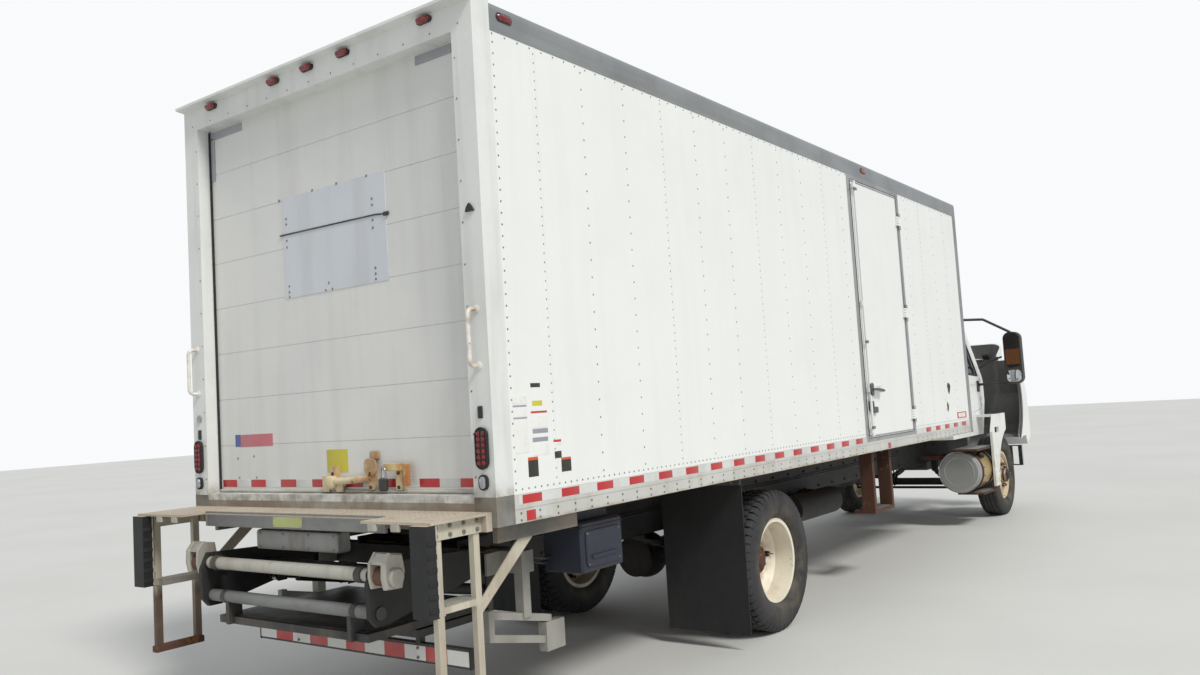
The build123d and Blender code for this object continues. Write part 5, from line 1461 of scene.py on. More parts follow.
@dataclass(frozen=True)
class Tyre:
    """A road tyre with cut blocks, as a function of the angle round it and of the way across its section."""

    centre: Place
    blocks: int = 52
    groove: float = 0.013
    lugs: bool = True

    def section(self) -> np.ndarray:
        """The section from bead to bead: way across, radius, and whether the groove cuts there."""
        wall = [(0.0827, 0.2925, 0), (0.0835, 0.309, 0), (0.101, 0.3165, 0), (0.121, 0.329, 0),
                (0.134, 0.35, 0), (0.1395, 0.38, 0), (0.139, 0.415, 0), (0.1345, 0.448, 0),
                (0.128, 0.472, 0.25), (0.1225, 0.486, 1), (0.116, 0.499, 1), (0.109, 0.5075, 1),
                (0.098, 0.5125, 1), (0.083, 0.5145, 1)]
        tread = [(0.0775, 0.515, 1), (0.0745, 0.515, 2), (0.0665, 0.515, 2), (0.0635, 0.515, 1),
                 (0.0445, 0.515, 1), (0.0295, 0.515, 1), (0.0265, 0.515, 2), (0.0185, 0.515, 2),
                 (0.0155, 0.515, 1), (0.0, 0.515, 1)]
        half = np.array(wall + tread)
        return np.concatenate([half, half[-2::-1] * (-1, 1, 1)])

    def shape(self) -> Shape:
        """The radius is the section's, less the groove's depth in round channels and between the blocks."""
        section = self.section()
        lugged, ribbed = (0.0, 0.03, 0.2, 0.23, 0.5, 0.77, 0.8, 0.97), (0.0, 0.5, 0.94, 0.97)
        steps = np.array(lugged if self.lugs else ribbed)
        turn = ((np.arange(self.blocks)[:, None] + steps[None]) / self.blocks).ravel() * 2 * math.pi
        place = np.tile(steps, self.blocks)[:, None]
        across, radius, kind = section[None, :, 0], section[None, :, 1], section[None, :, 2]
        channel = kind == 2
        shoulder = (np.abs(across) > 0.07) & (kind > 0)
        gap = (place < 0.021) | (place > 0.79) if self.lugs else place > 0.93
        inner = ((place + 0.4) % 1.0 > 0.79) & ~shoulder & (kind > 0) if self.lugs else np.zeros_like(gap)
        cut = channel | (shoulder & gap) | inner
        depth = np.where(cut, self.groove * np.minimum(kind, 1), 0.0)
        fall = np.where(channel, self.groove, depth)
        reach = radius - fall
        x = self.centre[0] + reach * np.cos(turn)[:, None]
        z = self.centre[2] + reach * np.sin(turn)[:, None]
        y = self.centre[1] + across * np.ones_like(reach)
        rings = np.stack([x, y, z], axis=-1)
        return lofted(rings, closed=True)


@dataclass(frozen=True)
class Wheels:
    """Tyres with tread, wheel nuts, hub caps and valves on all corners."""

    front_track: float = 0.985
    dual_outer: float = 1.075
    dual_inner: float = 0.745
    stud_circle: float = 0.143
    studs: int = 10

    def build(self) -> None:
        """Dress both axles."""
        for side in Side:
            self.front(side)
            self.rear(side)

    def circle(self, radius: float, count: int, start: float = 0.0) -> np.ndarray:
        """Even places on a circle in the X and Z plane."""
        turn = start + np.arange(count) * 2 * math.pi / count
        return np.column_stack([radius * np.cos(turn), np.zeros(count), radius * np.sin(turn)])

    def front(self, side: Side) -> None:
        """One front wheel: ribbed tyre, nuts, hub cap with its bolts, and valve.

        Args:
            side: the side of the truck.
        """
        sign = side.value
        centre = (AT.axle_front, sign * self.front_track, AT.wheel_z)
        body = f"front_wheel_{side.word}"
        tyre = piece(f"front_tread_{side.word}", Tyre(centre, blocks=60, groove=0.009, lugs=False).shape(),
                     FRONT_RUBBER, body, 30)
        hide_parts(f"front_tyre_{side.word}")
        out = (0, sign, 0)
        nut_y = sign * (self.front_track + 0.092)
        places = self.circle(self.stud_circle, self.studs) + (AT.axle_front, nut_y, AT.wheel_z)
        piece(f"front_nuts_{side.word}", hex_nut(0.02, 0.022, out).repeated(places), CAST_IRON,
              body, 30)
        cap = revolved([(0.11, 0.086), (0.152, 0.082), (0.157, 0.07), (0.16, 0.052), (0.172, 0.046),
                        (0.176, 0.02)], (AT.axle_front, sign * self.front_track, AT.wheel_z), out, 28)
        piece(f"front_hub_cap_{side.word}", cap, CAST_IRON, body)
        bolts = self.circle(0.066, 6, 0.3) + (AT.axle_front, sign * (self.front_track + 0.157), AT.wheel_z)
        piece(f"front_cap_bolts_{side.word}", hex_nut(0.007, 0.006, out).repeated(bolts), BOLT_GREY,
              body, 30)
        self.valve(body, f"front_valve_{side.word}", AT.axle_front, sign * (self.front_track + 0.052), sign)

    def rear(self, side: Side) -> None:
        """One twin rear wheel: two lugged tyres as one mesh, nuts, axle flange with its bolts, and valve.

        Args:
            side: the side of the truck.
        """
        sign = side.value
        body = f"rear_wheels_{side.word}"
        tyres = [Tyre((AT.axle_rear, sign * y, AT.wheel_z)).shape()
                 for y in (self.dual_outer, self.dual_inner)]
        tread = piece(f"rear_tread_{side.word}", joined(*tyres), REAR_RUBBER, body, 30)
        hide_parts(f"rear_tyres_{side.word}")
        out = (0, sign, 0)
        middle = sign * (self.dual_outer + self.dual_inner) / 2
        places = self.circle(self.stud_circle, self.studs) + (AT.axle_rear, middle + sign * 0.022, AT.wheel_z)
        piece(f"rear_nuts_{side.word}", hex_nut(0.021, 0.024, out).repeated(places), RUSTY_STEEL,
              body, 30)
        flange = revolved([(0.0, 0.1), (0.012, 0.1), (0.016, 0.094), (0.02, 0.06), (0.034, 0.05),
                           (0.037, 0.02)], (AT.axle_rear, middle + sign * 0.108, AT.wheel_z), out, 28)
        piece(f"rear_flange_{side.word}", flange, RUSTY_STEEL, body)
        bolts = self.circle(0.08, 8, 0.2) + (AT.axle_rear, middle + sign * 0.122, AT.wheel_z)
        piece(f"rear_flange_bolts_{side.word}", hex_nut(0.009, 0.009, out).repeated(bolts), CAST_IRON,
              body, 30)
        self.valve(body, f"rear_valve_{side.word}", AT.axle_rear, middle + sign * 0.03, sign)

    def valve(self, body: str, name: str, x: float, y: float, sign: int) -> None:
        """A bent valve stem that leaves the rim and turns outwards.

        Args:
            body: the wheel's body.
            name: the piece's name.
            x: the axle's station.
            y: where the stem starts.
            sign: the side's sign.
        """
        way = [(x + 0.262, y, AT.wheel_z), (x + 0.25, y + sign * 0.012, AT.wheel_z),
               (x + 0.243, y + sign * 0.05, AT.wheel_z), (x + 0.243, y + sign * 0.085, AT.wheel_z)]
        piece(name, tube(way, 0.0045), BRIGHT_STEEL, body)


# The lift gate


@dataclass(frozen=True)
class LiftGate:
    """The folded gate: castings and sleeves on its tubes, guard bar, worn deck, legs, power box and pipes."""

    head: Pair = (-0.275, 0.97)
    hinge: Pair = (-0.265, 0.785)
    guard_x: float = 0.17
    deck_z: float = 1.252
    box_x: Pair = (0.8, 1.18)

    def build(self) -> None:
        """Dress the gate from its tubes outwards."""
        self.upper_tube()
        self.lower_tube()
        self.guard()
        self.deck()
        self.legs()
        self.power_box()
        self.pipes()

    def upper_tube(self) -> None:
        """A pale sleeve, dark collars, brown bushings and a pale casting at each end of the upper tube."""
        x, z = AT.rear + self.head[0], self.head[1]
        centre, way = (x, 0, z), (0, 1, 0)
        piece("gate_lift_sleeve", revolved([(-0.69, 0.0345), (0.69, 0.0345)], centre, way, 28), GALVANISED,
              "gate_arms")
        collar = revolved([(0.60, 0.036), (0.602, 0.041), (0.648, 0.041), (0.65, 0.036)], centre, way, 24)
        piece("gate_collars", both(collar), DARK_STEEL, "gate_arms")
        bushing = revolved([(0.752, 0.040), (0.758, 0.048), (0.822, 0.048), (0.828, 0.040)], centre, way, 24)
        piece("gate_bushings", both(bushing), BUSHING, "gate_arms")
        cheek = np.array([(-0.05, -0.055), (0.05, -0.06), (0.07, 0.02), (0.055, 0.105), (-0.02, 0.118),
                          (-0.058, 0.07), (-0.062, 0.0)]) + (x, z)
        top = np.array([(-0.05, 0.062), (0.06, 0.062), (0.054, 0.1), (-0.018, 0.112),
                        (-0.05, 0.078)]) + (x, z)
        casting = joined(prism(cheek, 0.737, 0.755, 1, 0.004), prism(cheek, 0.826, 0.866, 1, 0.01),
                         prism(top, 0.75, 0.832, 1, 0.001),
                         revolved([(0.862, 0.046), (0.88, 0.046), (0.888, 0.038), (0.89, 0.02)], centre,
                                  way, 22))
        piece("gate_castings", both(casting), GALVANISED, "gate_arms", 28)
        web = prism([(x + 0.01, z - 0.05), (x + 0.1, z - 0.07), (x + 0.09, z + 0.02), (x + 0.02, z + 0.05)],
                    0.68, 0.706, 1, 0.004)
        piece("gate_arm_webs", both(web), BLACK_CHASSIS, "gate_arms")

    def lower_tube(self) -> None:
        """The hinge tube's grey sleeve with two rings, and ribs and a plate across the folded platform."""
        x, z = AT.rear + self.hinge[0], self.hinge[1]
        piece("gate_hinge_sleeve", revolved([(-0.69, 0.0335), (0.69, 0.0335)], (x, 0, z), (0, 1, 0), 24),
              CHANNEL_GREY, "gate_platform")
        rings = [revolved([(y - 0.02, 0.034), (y - 0.018, 0.038), (y + 0.018, 0.038), (y + 0.02, 0.034)],
                          (x, 0, z), (0, 1, 0), 22) for y in (-0.56, 0.56)]
        piece("gate_hinge_rings", joined(*rings), DARK_STEEL, "gate_platform")
        rib = slab((-0.006, -0.61, -0.004), (0.006, 0.61, 0.0005), 0.0012)
        piece("gate_treads", rib.repeated(lattice(x + np.arange(0.36, 0.88, 0.04), 0, z - 0.2)), GATE_STEEL,
              "gate_platform")
        piece("gate_platform_plate", slab((x + 0.02, -0.6, z - 0.111), (x + 0.3, 0.6, z - 0.106), 0.002),
              DARK_STEEL, "gate_platform")

    def guard(self) -> None:
        """Tape in two colours along the guard bar, end caps, and bolts at its hangers."""
        x = AT.rear + self.guard_x
        piece("guard_tape", slab((x - 0.0015, -0.895, 0.436), (x + 0.001, 0.895, 0.512), 0.0005), GUARD_TAPE,
              "gate_platform")
        piece("guard_caps", both(slab((x - 0.003, 0.892, 0.422), (x + 0.043, 0.904, 0.528), 0.003)),
              BLACK_RUBBER, "gate_platform")
        bolts = lattice(x - 0.001, [-0.515, 0.515], [0.45, 0.5])
        piece("guard_bolts", hex_nut(0.009, 0.007, (-1, 0, 0)).repeated(bolts), BOLT_GREY,
              "gate_platform")

    def deck(self) -> None:
        """Grip studs on the deck, its recess with a blank plate, lugs on the edge, the housing's cover."""
        rear, z = AT.rear, self.deck_z
        studs = lattice(np.arange(rear - 0.235, rear - 0.02, 0.035), np.arange(-1.24, 1.25, 0.04), z)
        sides = lattice(np.arange(rear - 0.385, rear - 0.25, 0.035),
                        [0.84, 0.9, 0.96, 1.02, 1.08, 1.14, 1.2], z)
        places = np.concatenate([studs, sides, sides * (1, -1, 1)])
        piece("deck_studs", dome(0.008, 0.0022, (0, 0, 1), 6).repeated(places), DECK_WORN)
        lip = swept([(rear - 0.246, y, z - 0.001) for y in np.linspace(-0.775, 0.775, 12)],
                    round_profile(0.006, 8))
        piece("deck_recess_lip", lip, CHANNEL_GREY)
        plate = slab((rear - 0.2535, -0.125, 1.182), (rear - 0.249, 0.125, 1.236), 0.0008, 0.006, axis=0)
        piece("deck_plate_blank", plate, PLATE_BLANK)
        rivets = lattice(rear - 0.2535, [-0.115, 0.115], [1.19, 1.228])
        piece("deck_plate_rivets", dome(0.004, 0.002, (-1, 0, 0)).repeated(rivets), BOLT_GREY)
        piece("deck_channel_face", slab((rear - 0.251, -0.76, 1.174), (rear - 0.2485, 0.76, 1.238), 0.001),
              CHANNEL_GREY)
        edge = [slab((rear - 0.402, y - 0.03, 1.205), (rear - 0.388, y + 0.03, 1.2405), 0.004)
                for y in (-1.02, -0.86, 0.86, 1.02)]
        piece("deck_edge_lugs", joined(*edge), GALVANISED)
        house = slab((rear - 0.204, -0.354, 1.048), (rear - 0.116, 0.354, 1.156), 0.006, 0.016, axis=1)
        piece("deck_housing_cover", house, GATE_STEEL)
        screws = lattice(rear - 0.205, [-0.32, -0.11, 0.11, 0.32], [1.066, 1.138])
        piece("deck_housing_screws", dome(0.007, 0.003, (-1, 0, 0)).repeated(screws), BOLT_GREY)

    def legs(self) -> None:
        """Bolts of the legs, serrated treads on both steps, rubber post ribs and rusty low rungs."""
        rear = AT.rear
        bolts = lattice(rear + np.array([-0.34, -0.25, -0.16, -0.07]), 1.2245, [1.182, 1.222])
        piece("leg_bolts", both(hex_nut(0.011, 0.008, (0, 1, 0)).repeated(bolts)), BOLT_GREY)
        tooth = slab((-0.003, 1.1, 0.0), (0.003, 1.215, 0.007), 0.0012)
        teeth = tooth.repeated(lattice(np.arange(rear - 0.33, rear - 0.055, 0.018), 0, 0.8548))
        piece("step_teeth", both(teeth), GALVANISED)
        rib = joined(*[slab((rear - 0.428, 1.258, z - 0.012), (rear - 0.372, 1.264, z + 0.012), 0.003)
                       for z in np.arange(0.86, 1.22, 0.06)])
        inner = joined(*[slab((rear - 0.428, 1.146, z - 0.012), (rear - 0.372, 1.152, z + 0.012), 0.003)
                         for z in np.arange(0.86, 1.2, 0.06)])
        piece("post_ribs", both(joined(rib, inner)), BLACK_RUBBER)
        piece("post_plates", both(slab((rear - 0.374, 1.148, 0.83), (rear - 0.366, 1.263, 1.236), 0.002)),
              GALVANISED)
        rung = revolved([(-0.335, 0.018), (-0.055, 0.018)], (rear, 1.2, 0.452), (1, 0, 0), 14)
        bar = slab((rear - 0.35, 1.176, 0.425), (rear - 0.04, 1.226, 0.464), 0.004)
        piece("leg_rungs", both(joined(rung, bar)), RUSTY_STEEL)
        weld = joined(*[swept([(x, 1.184, z), (x, 1.2, z), (x, 1.219, z)], round_profile(0.005, 8))
                        for x in (rear - 0.342, rear - 0.298, rear - 0.092, rear - 0.048)
                        for z in (0.822, 1.2365)])
        piece("leg_welds", both(weld), GALVANISED)

    def power_box(self) -> None:
        """A rounded plastic case over the power unit, with a lid seam, a door and its handle bar."""
        low, high = AT.rear + self.box_x[0], AT.rear + self.box_x[1]
        case = slab((low - 0.006, -1.176, 0.814), (high + 0.006, -0.9, 1.096), 0.012, 0.015, axis=1, steps=4)
        piece("power_case", case, POWER_BOX)
        door = slab((low + 0.028, -1.186, 0.842), (high - 0.028, -1.172, 1.045), 0.005, 0.028, axis=1,
                    steps=5)
        piece("power_door", door, POWER_BOX)
        seam = slab((low - 0.009, -1.179, 1.06), (high + 0.009, -0.9, 1.068), 0.003, 0.004, axis=1)
        piece("power_seam", seam, BLACK_PLASTIC)
        bar = slab((low + 0.07, -1.196, 0.885), (high - 0.07, -1.182, 0.91), 0.004, 0.01, axis=0)
        piece("power_handle", bar, POWER_BOX)
        screws = np.array([(x, -1.1865, z) for x in (low + 0.045, high - 0.045) for z in (0.86, 1.028)])
        piece("power_screws", dome(0.006, 0.003, (0, -1, 0)).repeated(screws), BOLT_GREY)

    def pipes(self) -> None:
        """Rigid hydraulic pipes from the power unit to the cylinders' feet, with nuts at both ends."""
        rear = AT.rear
        ways = ([(0.81, -0.92, 0.87), (0.74, -0.92, 0.87), (0.70, -0.86, 0.9), (0.675, -0.75, 0.966),
                 (0.66, -0.64, 0.966)],
                [(0.81, -0.95, 0.90), (0.73, -0.95, 0.90), (0.665, -0.88, 0.93), (0.64, -0.7, 0.966),
                 (0.63, 0.0, 0.966), (0.63, 0.6, 0.966)])
        for number, way in enumerate(ways):
            path = eased(np.array(way) + (rear, 0, 0))
            pipe = swept(path, round_profile(0.007, 8))
            nuts = [revolved([(-0.002, 0.011), (0.018, 0.011)], tuple(path[0]), (-1, 0, 0), 6),
                    revolved([(-0.018, 0.011), (0.004, 0.011)], tuple(path[-1]),
                             (0, 1 if number else -1, 0), 6)]
            piece(f"gate_pipe_{number}", joined(pipe, *nuts), DARK_STEEL)


# Under the van


@dataclass(frozen=True)
class Underbody:
    """Flap hangers, tank and step trim, spring bolts, brake chambers, rail bolts, air pipes, battery lid."""

    axle_spans: tuple[Pair, ...] = ((0.364, 0.430), (0.374, 0.450))

    def build(self) -> None:
        """Dress from the back forwards."""
        self.flaps()
        self.tank()
        self.steps()
        self.springs()
        self.brakes()
        self.rails()
        self.batteries()

    def flaps(self) -> None:
        """A hanger angle with bolts above each flap."""
        low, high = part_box("mud_flaps")
        y0, y1 = 0.62, high.y
        piece("flap_angles", both(slab((low.x - 0.022, y0, 1.13), (low.x + 0.001, y1, 1.176), 0.003)),
              DARK_STEEL)
        bolts = lattice(low.x - 0.022, np.arange(0.66, 1.24, 0.135), 1.152)
        piece("flap_bolts", both(hex_nut(0.01, 0.008, (-1, 0, 0)).repeated(bolts)), BOLT_GREY)

    def tank(self) -> None:
        """Rolled rims at the tank's ends, its cap on a short neck, strap bolts and weld beads."""
        low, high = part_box("fuel_tank")
        y, z, radius = (low.y + high.y) / 2, (low.z + high.z) / 2, (high.z - low.z) / 2
        profile = round_profile(0.009, 8) + (0.0, radius - 0.006)
        rims = [revolved(profile + (x, 0), (0, y, z), (1, 0, 0), 56, closed=True)
                for x in (low.x + 0.014, high.x - 0.014)]
        piece("tank_rims", joined(*rims), BRIGHT_STEEL)
        inner = [revolved(round_profile(0.004, 6) + (x, radius - 0.075), (0, y, z), (1, 0, 0), 48,
                          closed=True) for x in (low.x, high.x)]
        piece("tank_end_beads", joined(*inner), TANK_METAL)
        out = Vector((0.0, -0.72, 0.69))
        foot = (low.x + 0.235, y + out.y * radius, z + out.z * radius)
        neck = [(-0.012, 0.04), (0.02, 0.04), (0.021, 0.05), (0.05, 0.05), (0.056, 0.044), (0.058, 0.015)]
        piece("tank_cap", revolved(neck, foot, tuple(out), 26), BLACK_PLASTIC)
        bolts = np.array([(x, low.y - 0.012, z + dz) for x in (low.x + 0.1125, high.x - 0.1125)
                          for dz in (-0.05, 0.05)])
        piece("tank_strap_bolts", hex_nut(0.01, 0.01, (0, -1, 0)).repeated(bolts), BOLT_GREY)

    def steps(self) -> None:
        """Raised bars on the tank's steps and on the step below the side door."""
        low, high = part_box("fuel_tank")
        bar = slab((-0.004, 0.0, -0.001), (0.004, 0.29, 0.006), 0.0015)
        upper = lattice(np.arange(low.x - 0.04, high.x + 0.03, 0.03), low.y + 0.01, high.z + 0.028)
        lower = lattice(np.arange(low.x + 0.1, high.x + 0.04, 0.03), low.y + 0.01, low.z - 0.004)
        piece("tank_step_bars", bar.repeated(np.concatenate([upper, lower])), STEP_PLATE)
        rung = slab((-0.004, 0.0, -0.001), (0.004, 0.18, 0.006), 0.0015)
        piece("door_step_bars", rung.repeated(lattice(AT.rear + np.arange(5.12, 5.57, 0.03), -1.19, 0.64)),
              STEP_PLATE)

    def springs(self) -> None:
        """U-bolts over every spring, with their plates and nuts."""
        for word, x, (y0, y1), (z0, z1) in (("front", AT.axle_front, self.axle_spans[0], (0.385, 0.712)),
                                            ("rear", AT.axle_rear, self.axle_spans[1], (0.47, 0.80))):
            loops = []
            for dx in (-0.06, 0.06):
                way = [(x + dx, y0 - 0.008, z0), (x + dx, y0 - 0.008, z1 - 0.03), (x + dx, y0 - 0.006, z1),
                       (x + dx, (y0 + y1) / 2, z1 + 0.006), (x + dx, y1 + 0.006, z1),
                       (x + dx, y1 + 0.008, z1 - 0.03), (x + dx, y1 + 0.008, z0)]
                loops.append(tube(way, 0.009, up=(1, 0, 0), steps=4))
            plate = slab((x - 0.09, y0 - 0.025, z0 + 0.012), (x + 0.09, y1 + 0.025, z0 + 0.03), 0.003)
            nuts = lattice([x - 0.06, x + 0.06], [y0 - 0.008, y1 + 0.008], z0 + 0.012)
            shape = joined(*loops, plate, hex_nut(0.016, 0.014, (0, 0, -1)).repeated(nuts))
            piece(f"{word}_u_bolts", both(shape), CAST_IRON)

    def brakes(self) -> None:
        """Air chambers ahead of the rear axle, and the cover with its bolts behind the axle's middle."""
        x, z = AT.axle_rear, AT.wheel_z
        can = revolved([(-0.09, 0.03), (-0.085, 0.068), (-0.01, 0.076), (-0.008, 0.083), (0.008, 0.083),
                        (0.01, 0.076), (0.07, 0.07), (0.085, 0.05), (0.088, 0.02)],
                       (x + 0.19, 0.53, z + 0.03), (1, 0, 0), 22)
        arm = slab((x + 0.09, 0.515, z + 0.0), (x + 0.11, 0.545, z + 0.06), 0.004)
        piece("rear_brake_chambers", both(joined(can, arm)), BLACK_CHASSIS)
        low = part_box("rear_axle")[0].x
        cover = revolved([(-0.03, 0.16), (0.006, 0.16), (0.012, 0.15), (0.034, 0.11), (0.044, 0.05),
                          (0.046, 0.02)], (low + 0.03, 0, z), (-1, 0, 0), 30)
        turn = np.linspace(0, 2 * math.pi, 10, endpoint=False)
        places = np.column_stack([np.full(10, low + 0.025), 0.146 * np.cos(turn), z + 0.146 * np.sin(turn)])
        piece("axle_cover", joined(cover, hex_nut(0.009, 0.008, (-1, 0, 0)).repeated(places)), CAST_IRON)

    def rails(self) -> None:
        """Bolts in two rows along both frame rails, and two air pipes clipped to each."""
        spots = lattice(np.arange(AT.rear + 1.0, AT.cab + 1.2, 0.33), 0.432, [0.815, 0.98])
        piece("rail_side_bolts", both(hex_nut(0.012, 0.009, (0, 1, 0)).repeated(spots)), CAST_IRON)
        path = [(AT.rear + x, 0.437, z) for x, z in ((1.05, 0.93), (2.2, 0.925), (3.6, 0.935), (5.0, 0.925),
                                                     (6.6, 0.93), (7.9, 0.928))]
        pipes = [tube(np.array(path) + (0, 0, dz), 0.006, 6, steps=4) for dz in (0.0, 0.02)]
        piece("rail_pipes", both(joined(*pipes)), BLACK_PLASTIC)

    def batteries(self) -> None:
        """A ribbed lid on the left box, and its step's grip bars."""
        low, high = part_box("battery_box")
        lid = slab((low.x - 0.006, 0.5, high.z - 0.001), (high.x + 0.006, 0.955, high.z + 0.018), 0.006, 0.02)
        ribs = [slab((low.x + 0.02, y - 0.008, high.z + 0.016), (high.x - 0.02, y + 0.008, high.z + 0.022),
                     0.002) for y in np.arange(0.56, 0.93, 0.09)]
        piece("battery_lid", joined(lid, *ribs), BLACK_PLASTIC)
        bars = slab((-0.004, 0.97, 0.7595), (0.004, 1.13, 0.766), 0.0015)
        spots = lattice(np.arange(low.x + 0.04, high.x - 0.02, 0.03), 0, 0)
        piece("battery_step_bars", bars.repeated(spots), STEP_PLATE)


# The cab


@dataclass(frozen=True)
class Cab:
    """The cab: rubbers, handles, wipers, lamps, mirror glasses, padded seats, dash and pedals."""

    half: float = 1.0
    roof_half: float = 0.905
    bend_z: float = 1.83
    roof_z: float = 2.605
    window: tuple[Pair, ...] = ((0.30, 1.89), (1.215, 1.83), (0.845, 2.49), (0.30, 2.49))
    seat_y: float = 0.48
    recline: float = -9.0
    mirror_y: float = 1.4875
    floor: float = 1.13
    screen_low: Pair = (1.46, 1.745)
    screen_high: Pair = (1.01, 2.575)

    def build(self) -> None:
        """Dress the outside, then the inside."""
        for side in Side:
            self.door(side)
            self.mirror(side)
        self.screen()
        self.roof_lamps()
        self.seats()
        self.dash()
        self.interior()
        self.skirts()

    def skin(self, z: np.ndarray) -> np.ndarray:
        """The cab side's half width at a height: upright below the bend, drawn in evenly above it."""
        share = np.clip((np.asarray(z, float) - self.bend_z) / (self.roof_z - self.bend_z), 0, 1)
        return self.half - (self.half - self.roof_half) * share

    def around(self, corners: np.ndarray, steps: int = 10) -> np.ndarray:
        """Even points along the closed outline of some corners: each is a + t (b - a)."""
        corners = np.asarray(corners, float)
        share = np.linspace(0, 1, steps, endpoint=False)[None, :, None]
        spans = np.roll(corners, -1, axis=0) - corners
        return (corners[:, None] + share * spans[:, None]).reshape(-1, corners.shape[1])

    def door(self, side: Side) -> None:
        """Window rubber, a black pillar strip, the pull handle with its key lock, and the door's inner panel.

        Args:
            side: the side of the truck.
        """
        sign, body = side.value, f"cab_door_{side.word}"
        way = self.around(self.window)
        path = np.column_stack([AT.cab + way[:, 0], sign * (self.skin(way[:, 1]) + 0.001), way[:, 1]])
        rubber = swept(path, soft_rectangle(0.014, 0.006, 0.004), up=(0, sign, 0.12), closed=True)
        piece(f"window_rubber_{side.word}", rubber, BLACK_RUBBER, body)
        ends = [(0.262, z) for z in np.linspace(1.86, 2.5, 8)]
        strip = swept([(AT.cab + x, sign * (self.skin(z) + 0.0005), z) for x, z in ends],
                      soft_rectangle(0.009, 0.0025, 0.002), up=(0, sign, 0.12))
        piece(f"pillar_strip_{side.word}", strip, BLACK_PLASTIC, body)
        dish = slab((AT.cab + 0.29, self.half - 0.004, 1.60), (AT.cab + 0.46, self.half + 0.004, 1.68),
                    0.003, 0.02, axis=1)
        grip = swept(eased([(AT.cab + 0.305, self.half + 0.003, 1.645),
                            (AT.cab + 0.33, self.half + 0.03, 1.648),
                            (AT.cab + 0.38, self.half + 0.034, 1.648),
                            (AT.cab + 0.42, self.half + 0.03, 1.648),
                            (AT.cab + 0.445, self.half + 0.003, 1.645)]), round_profile(0.009, 10, 0.8))
        lock = revolved([(0.0, 0.012), (0.005, 0.012), (0.007, 0.006)],
                        (AT.cab + 0.375, self.half + 0.003, 1.615), (0, 1, 0), 14)
        piece(f"door_handle_{side.word}", joined(dish, grip, lock).on(side), BLACK_PLASTIC, body)
        panel = slab((AT.cab + 0.29, 0.936, 1.19), (AT.cab + 0.98, 0.951, 1.76), 0.004, 0.03, axis=1)
        rest = slab((AT.cab + 0.4, 0.9, 1.55), (AT.cab + 0.8, 0.94, 1.6), 0.008, 0.014, axis=0)
        piece(f"door_panel_{side.word}", joined(panel, rest).on(side), DASH_GREY, body)
        edge = self.around([(0.232, 1.131), (0.232, 2.568)], 12)[:12]
        seam = swept([(AT.cab + x, sign * (self.skin(z) + 0.0002), z) for x, z in edge],
                     round_profile(0.004, 6), up=(0, sign, 0.12))
        piece(f"door_edge_rubber_{side.word}", seam, BLACK_RUBBER)

    def mirror(self, side: Side) -> None:
        """An upper glass whose dark colour and brown band are painted reflection, and a bright round-cornered
        lower one in the mirror's rim.

        Args:
            side: the side of the truck.
        """
        body, x, middle = f"cab_door_{side.word}", AT.cab + 1.075, self.mirror_y
        rim = bead((0.096, 0.319), 0.081, x, round_profile(0.006, 8), middle=(middle, 2.02))
        flat = slab((x - 0.004, middle - 0.085, 1.9), (x + 0.002, middle + 0.085, 2.322), 0.001, 0.06,
                    axis=0, steps=6)
        layers = ((x + 0.002, 0.0), (x - 0.003, 0.0), (x - 0.009, 0.02), (x - 0.012, 0.045),
                  (x - 0.013, 0.065))
        bulge = lens_shape((0.085, 0.075), 0.05, layers, steps=6, middle=(middle, 1.795))
        for word, shape, finish in (("rim", rim, BLACK_PLASTIC), ("glass", flat, MIRROR_PAINTED_REFLECTION),
                                    ("spot", bulge, MIRROR_GLASS)):
            piece(f"mirror_{word}_{side.word}", shape.on(side), finish, body)
        clamps = joined(*[slab((x + 0.01, middle - 0.03, z - 0.02), (x + 0.115, middle + 0.06, z + 0.02),
                               0.006, 0.01) for z in (1.8, 2.24)])
        piece(f"mirror_clamps_{side.word}", clamps.on(side), BLACK_PLASTIC, body)

    def slope(self, z: float, lift: float = 0.0) -> float:
        """The X of the windscreen's plane at a height, lifted off it along X."""
        (low_x, low_z), (high_x, high_z) = self.screen_low, self.screen_high
        return AT.cab + low_x + (high_x - low_x) * (z - low_z) / (high_z - low_z) + lift

    def screen(self) -> None:
        """Rubbers round the front and back windows, and two wipers lying on the windscreen."""
        corners = self.around([(-0.86, 1.84), (0.86, 1.84), (0.821, 2.40), (-0.821, 2.40)], 12)
        path = np.column_stack([[self.slope(z, 0.002) for _, z in corners], corners])
        rubber = swept(path, soft_rectangle(0.016, 0.007, 0.005), up=(1, 0, 0.54), closed=True)
        piece("screen_rubber", rubber, BLACK_RUBBER)
        back = bead((0.45, 0.215), 0.06, AT.cab - 0.001, soft_rectangle(0.014, 0.006, 0.004), steps=8,
                    middle=(0, 2.13))
        piece("back_rubber", back, BLACK_RUBBER)
        for side in Side:
            y0 = side.value * 0.72
            arm = [(self.slope(z, 0.02 + lift), y, z)
                   for y, z, lift in ((y0, 1.81, -0.012), (y0 - 0.1, 1.85, 0.01), (y0 - 0.3, 1.93, 0.012),
                                      (y0 - 0.42, 1.99, 0.006))]
            blade = [(self.slope(z, 0.017), y, z)
                     for y, z in ((y0 - 0.12, 1.865), (y0 - 0.36, 1.975), (y0 - 0.58, 2.05))]
            knob = revolved([(-0.02, 0.022), (0.02, 0.022), (0.028, 0.014)], arm[0], (1, 0, 0.4), 16)
            shape = joined(tube(arm, 0.006), swept(blade, soft_rectangle(0.006, 0.011, 0.003)), knob)
            piece(f"wiper_{side.word}", shape, BLACK_PLASTIC)

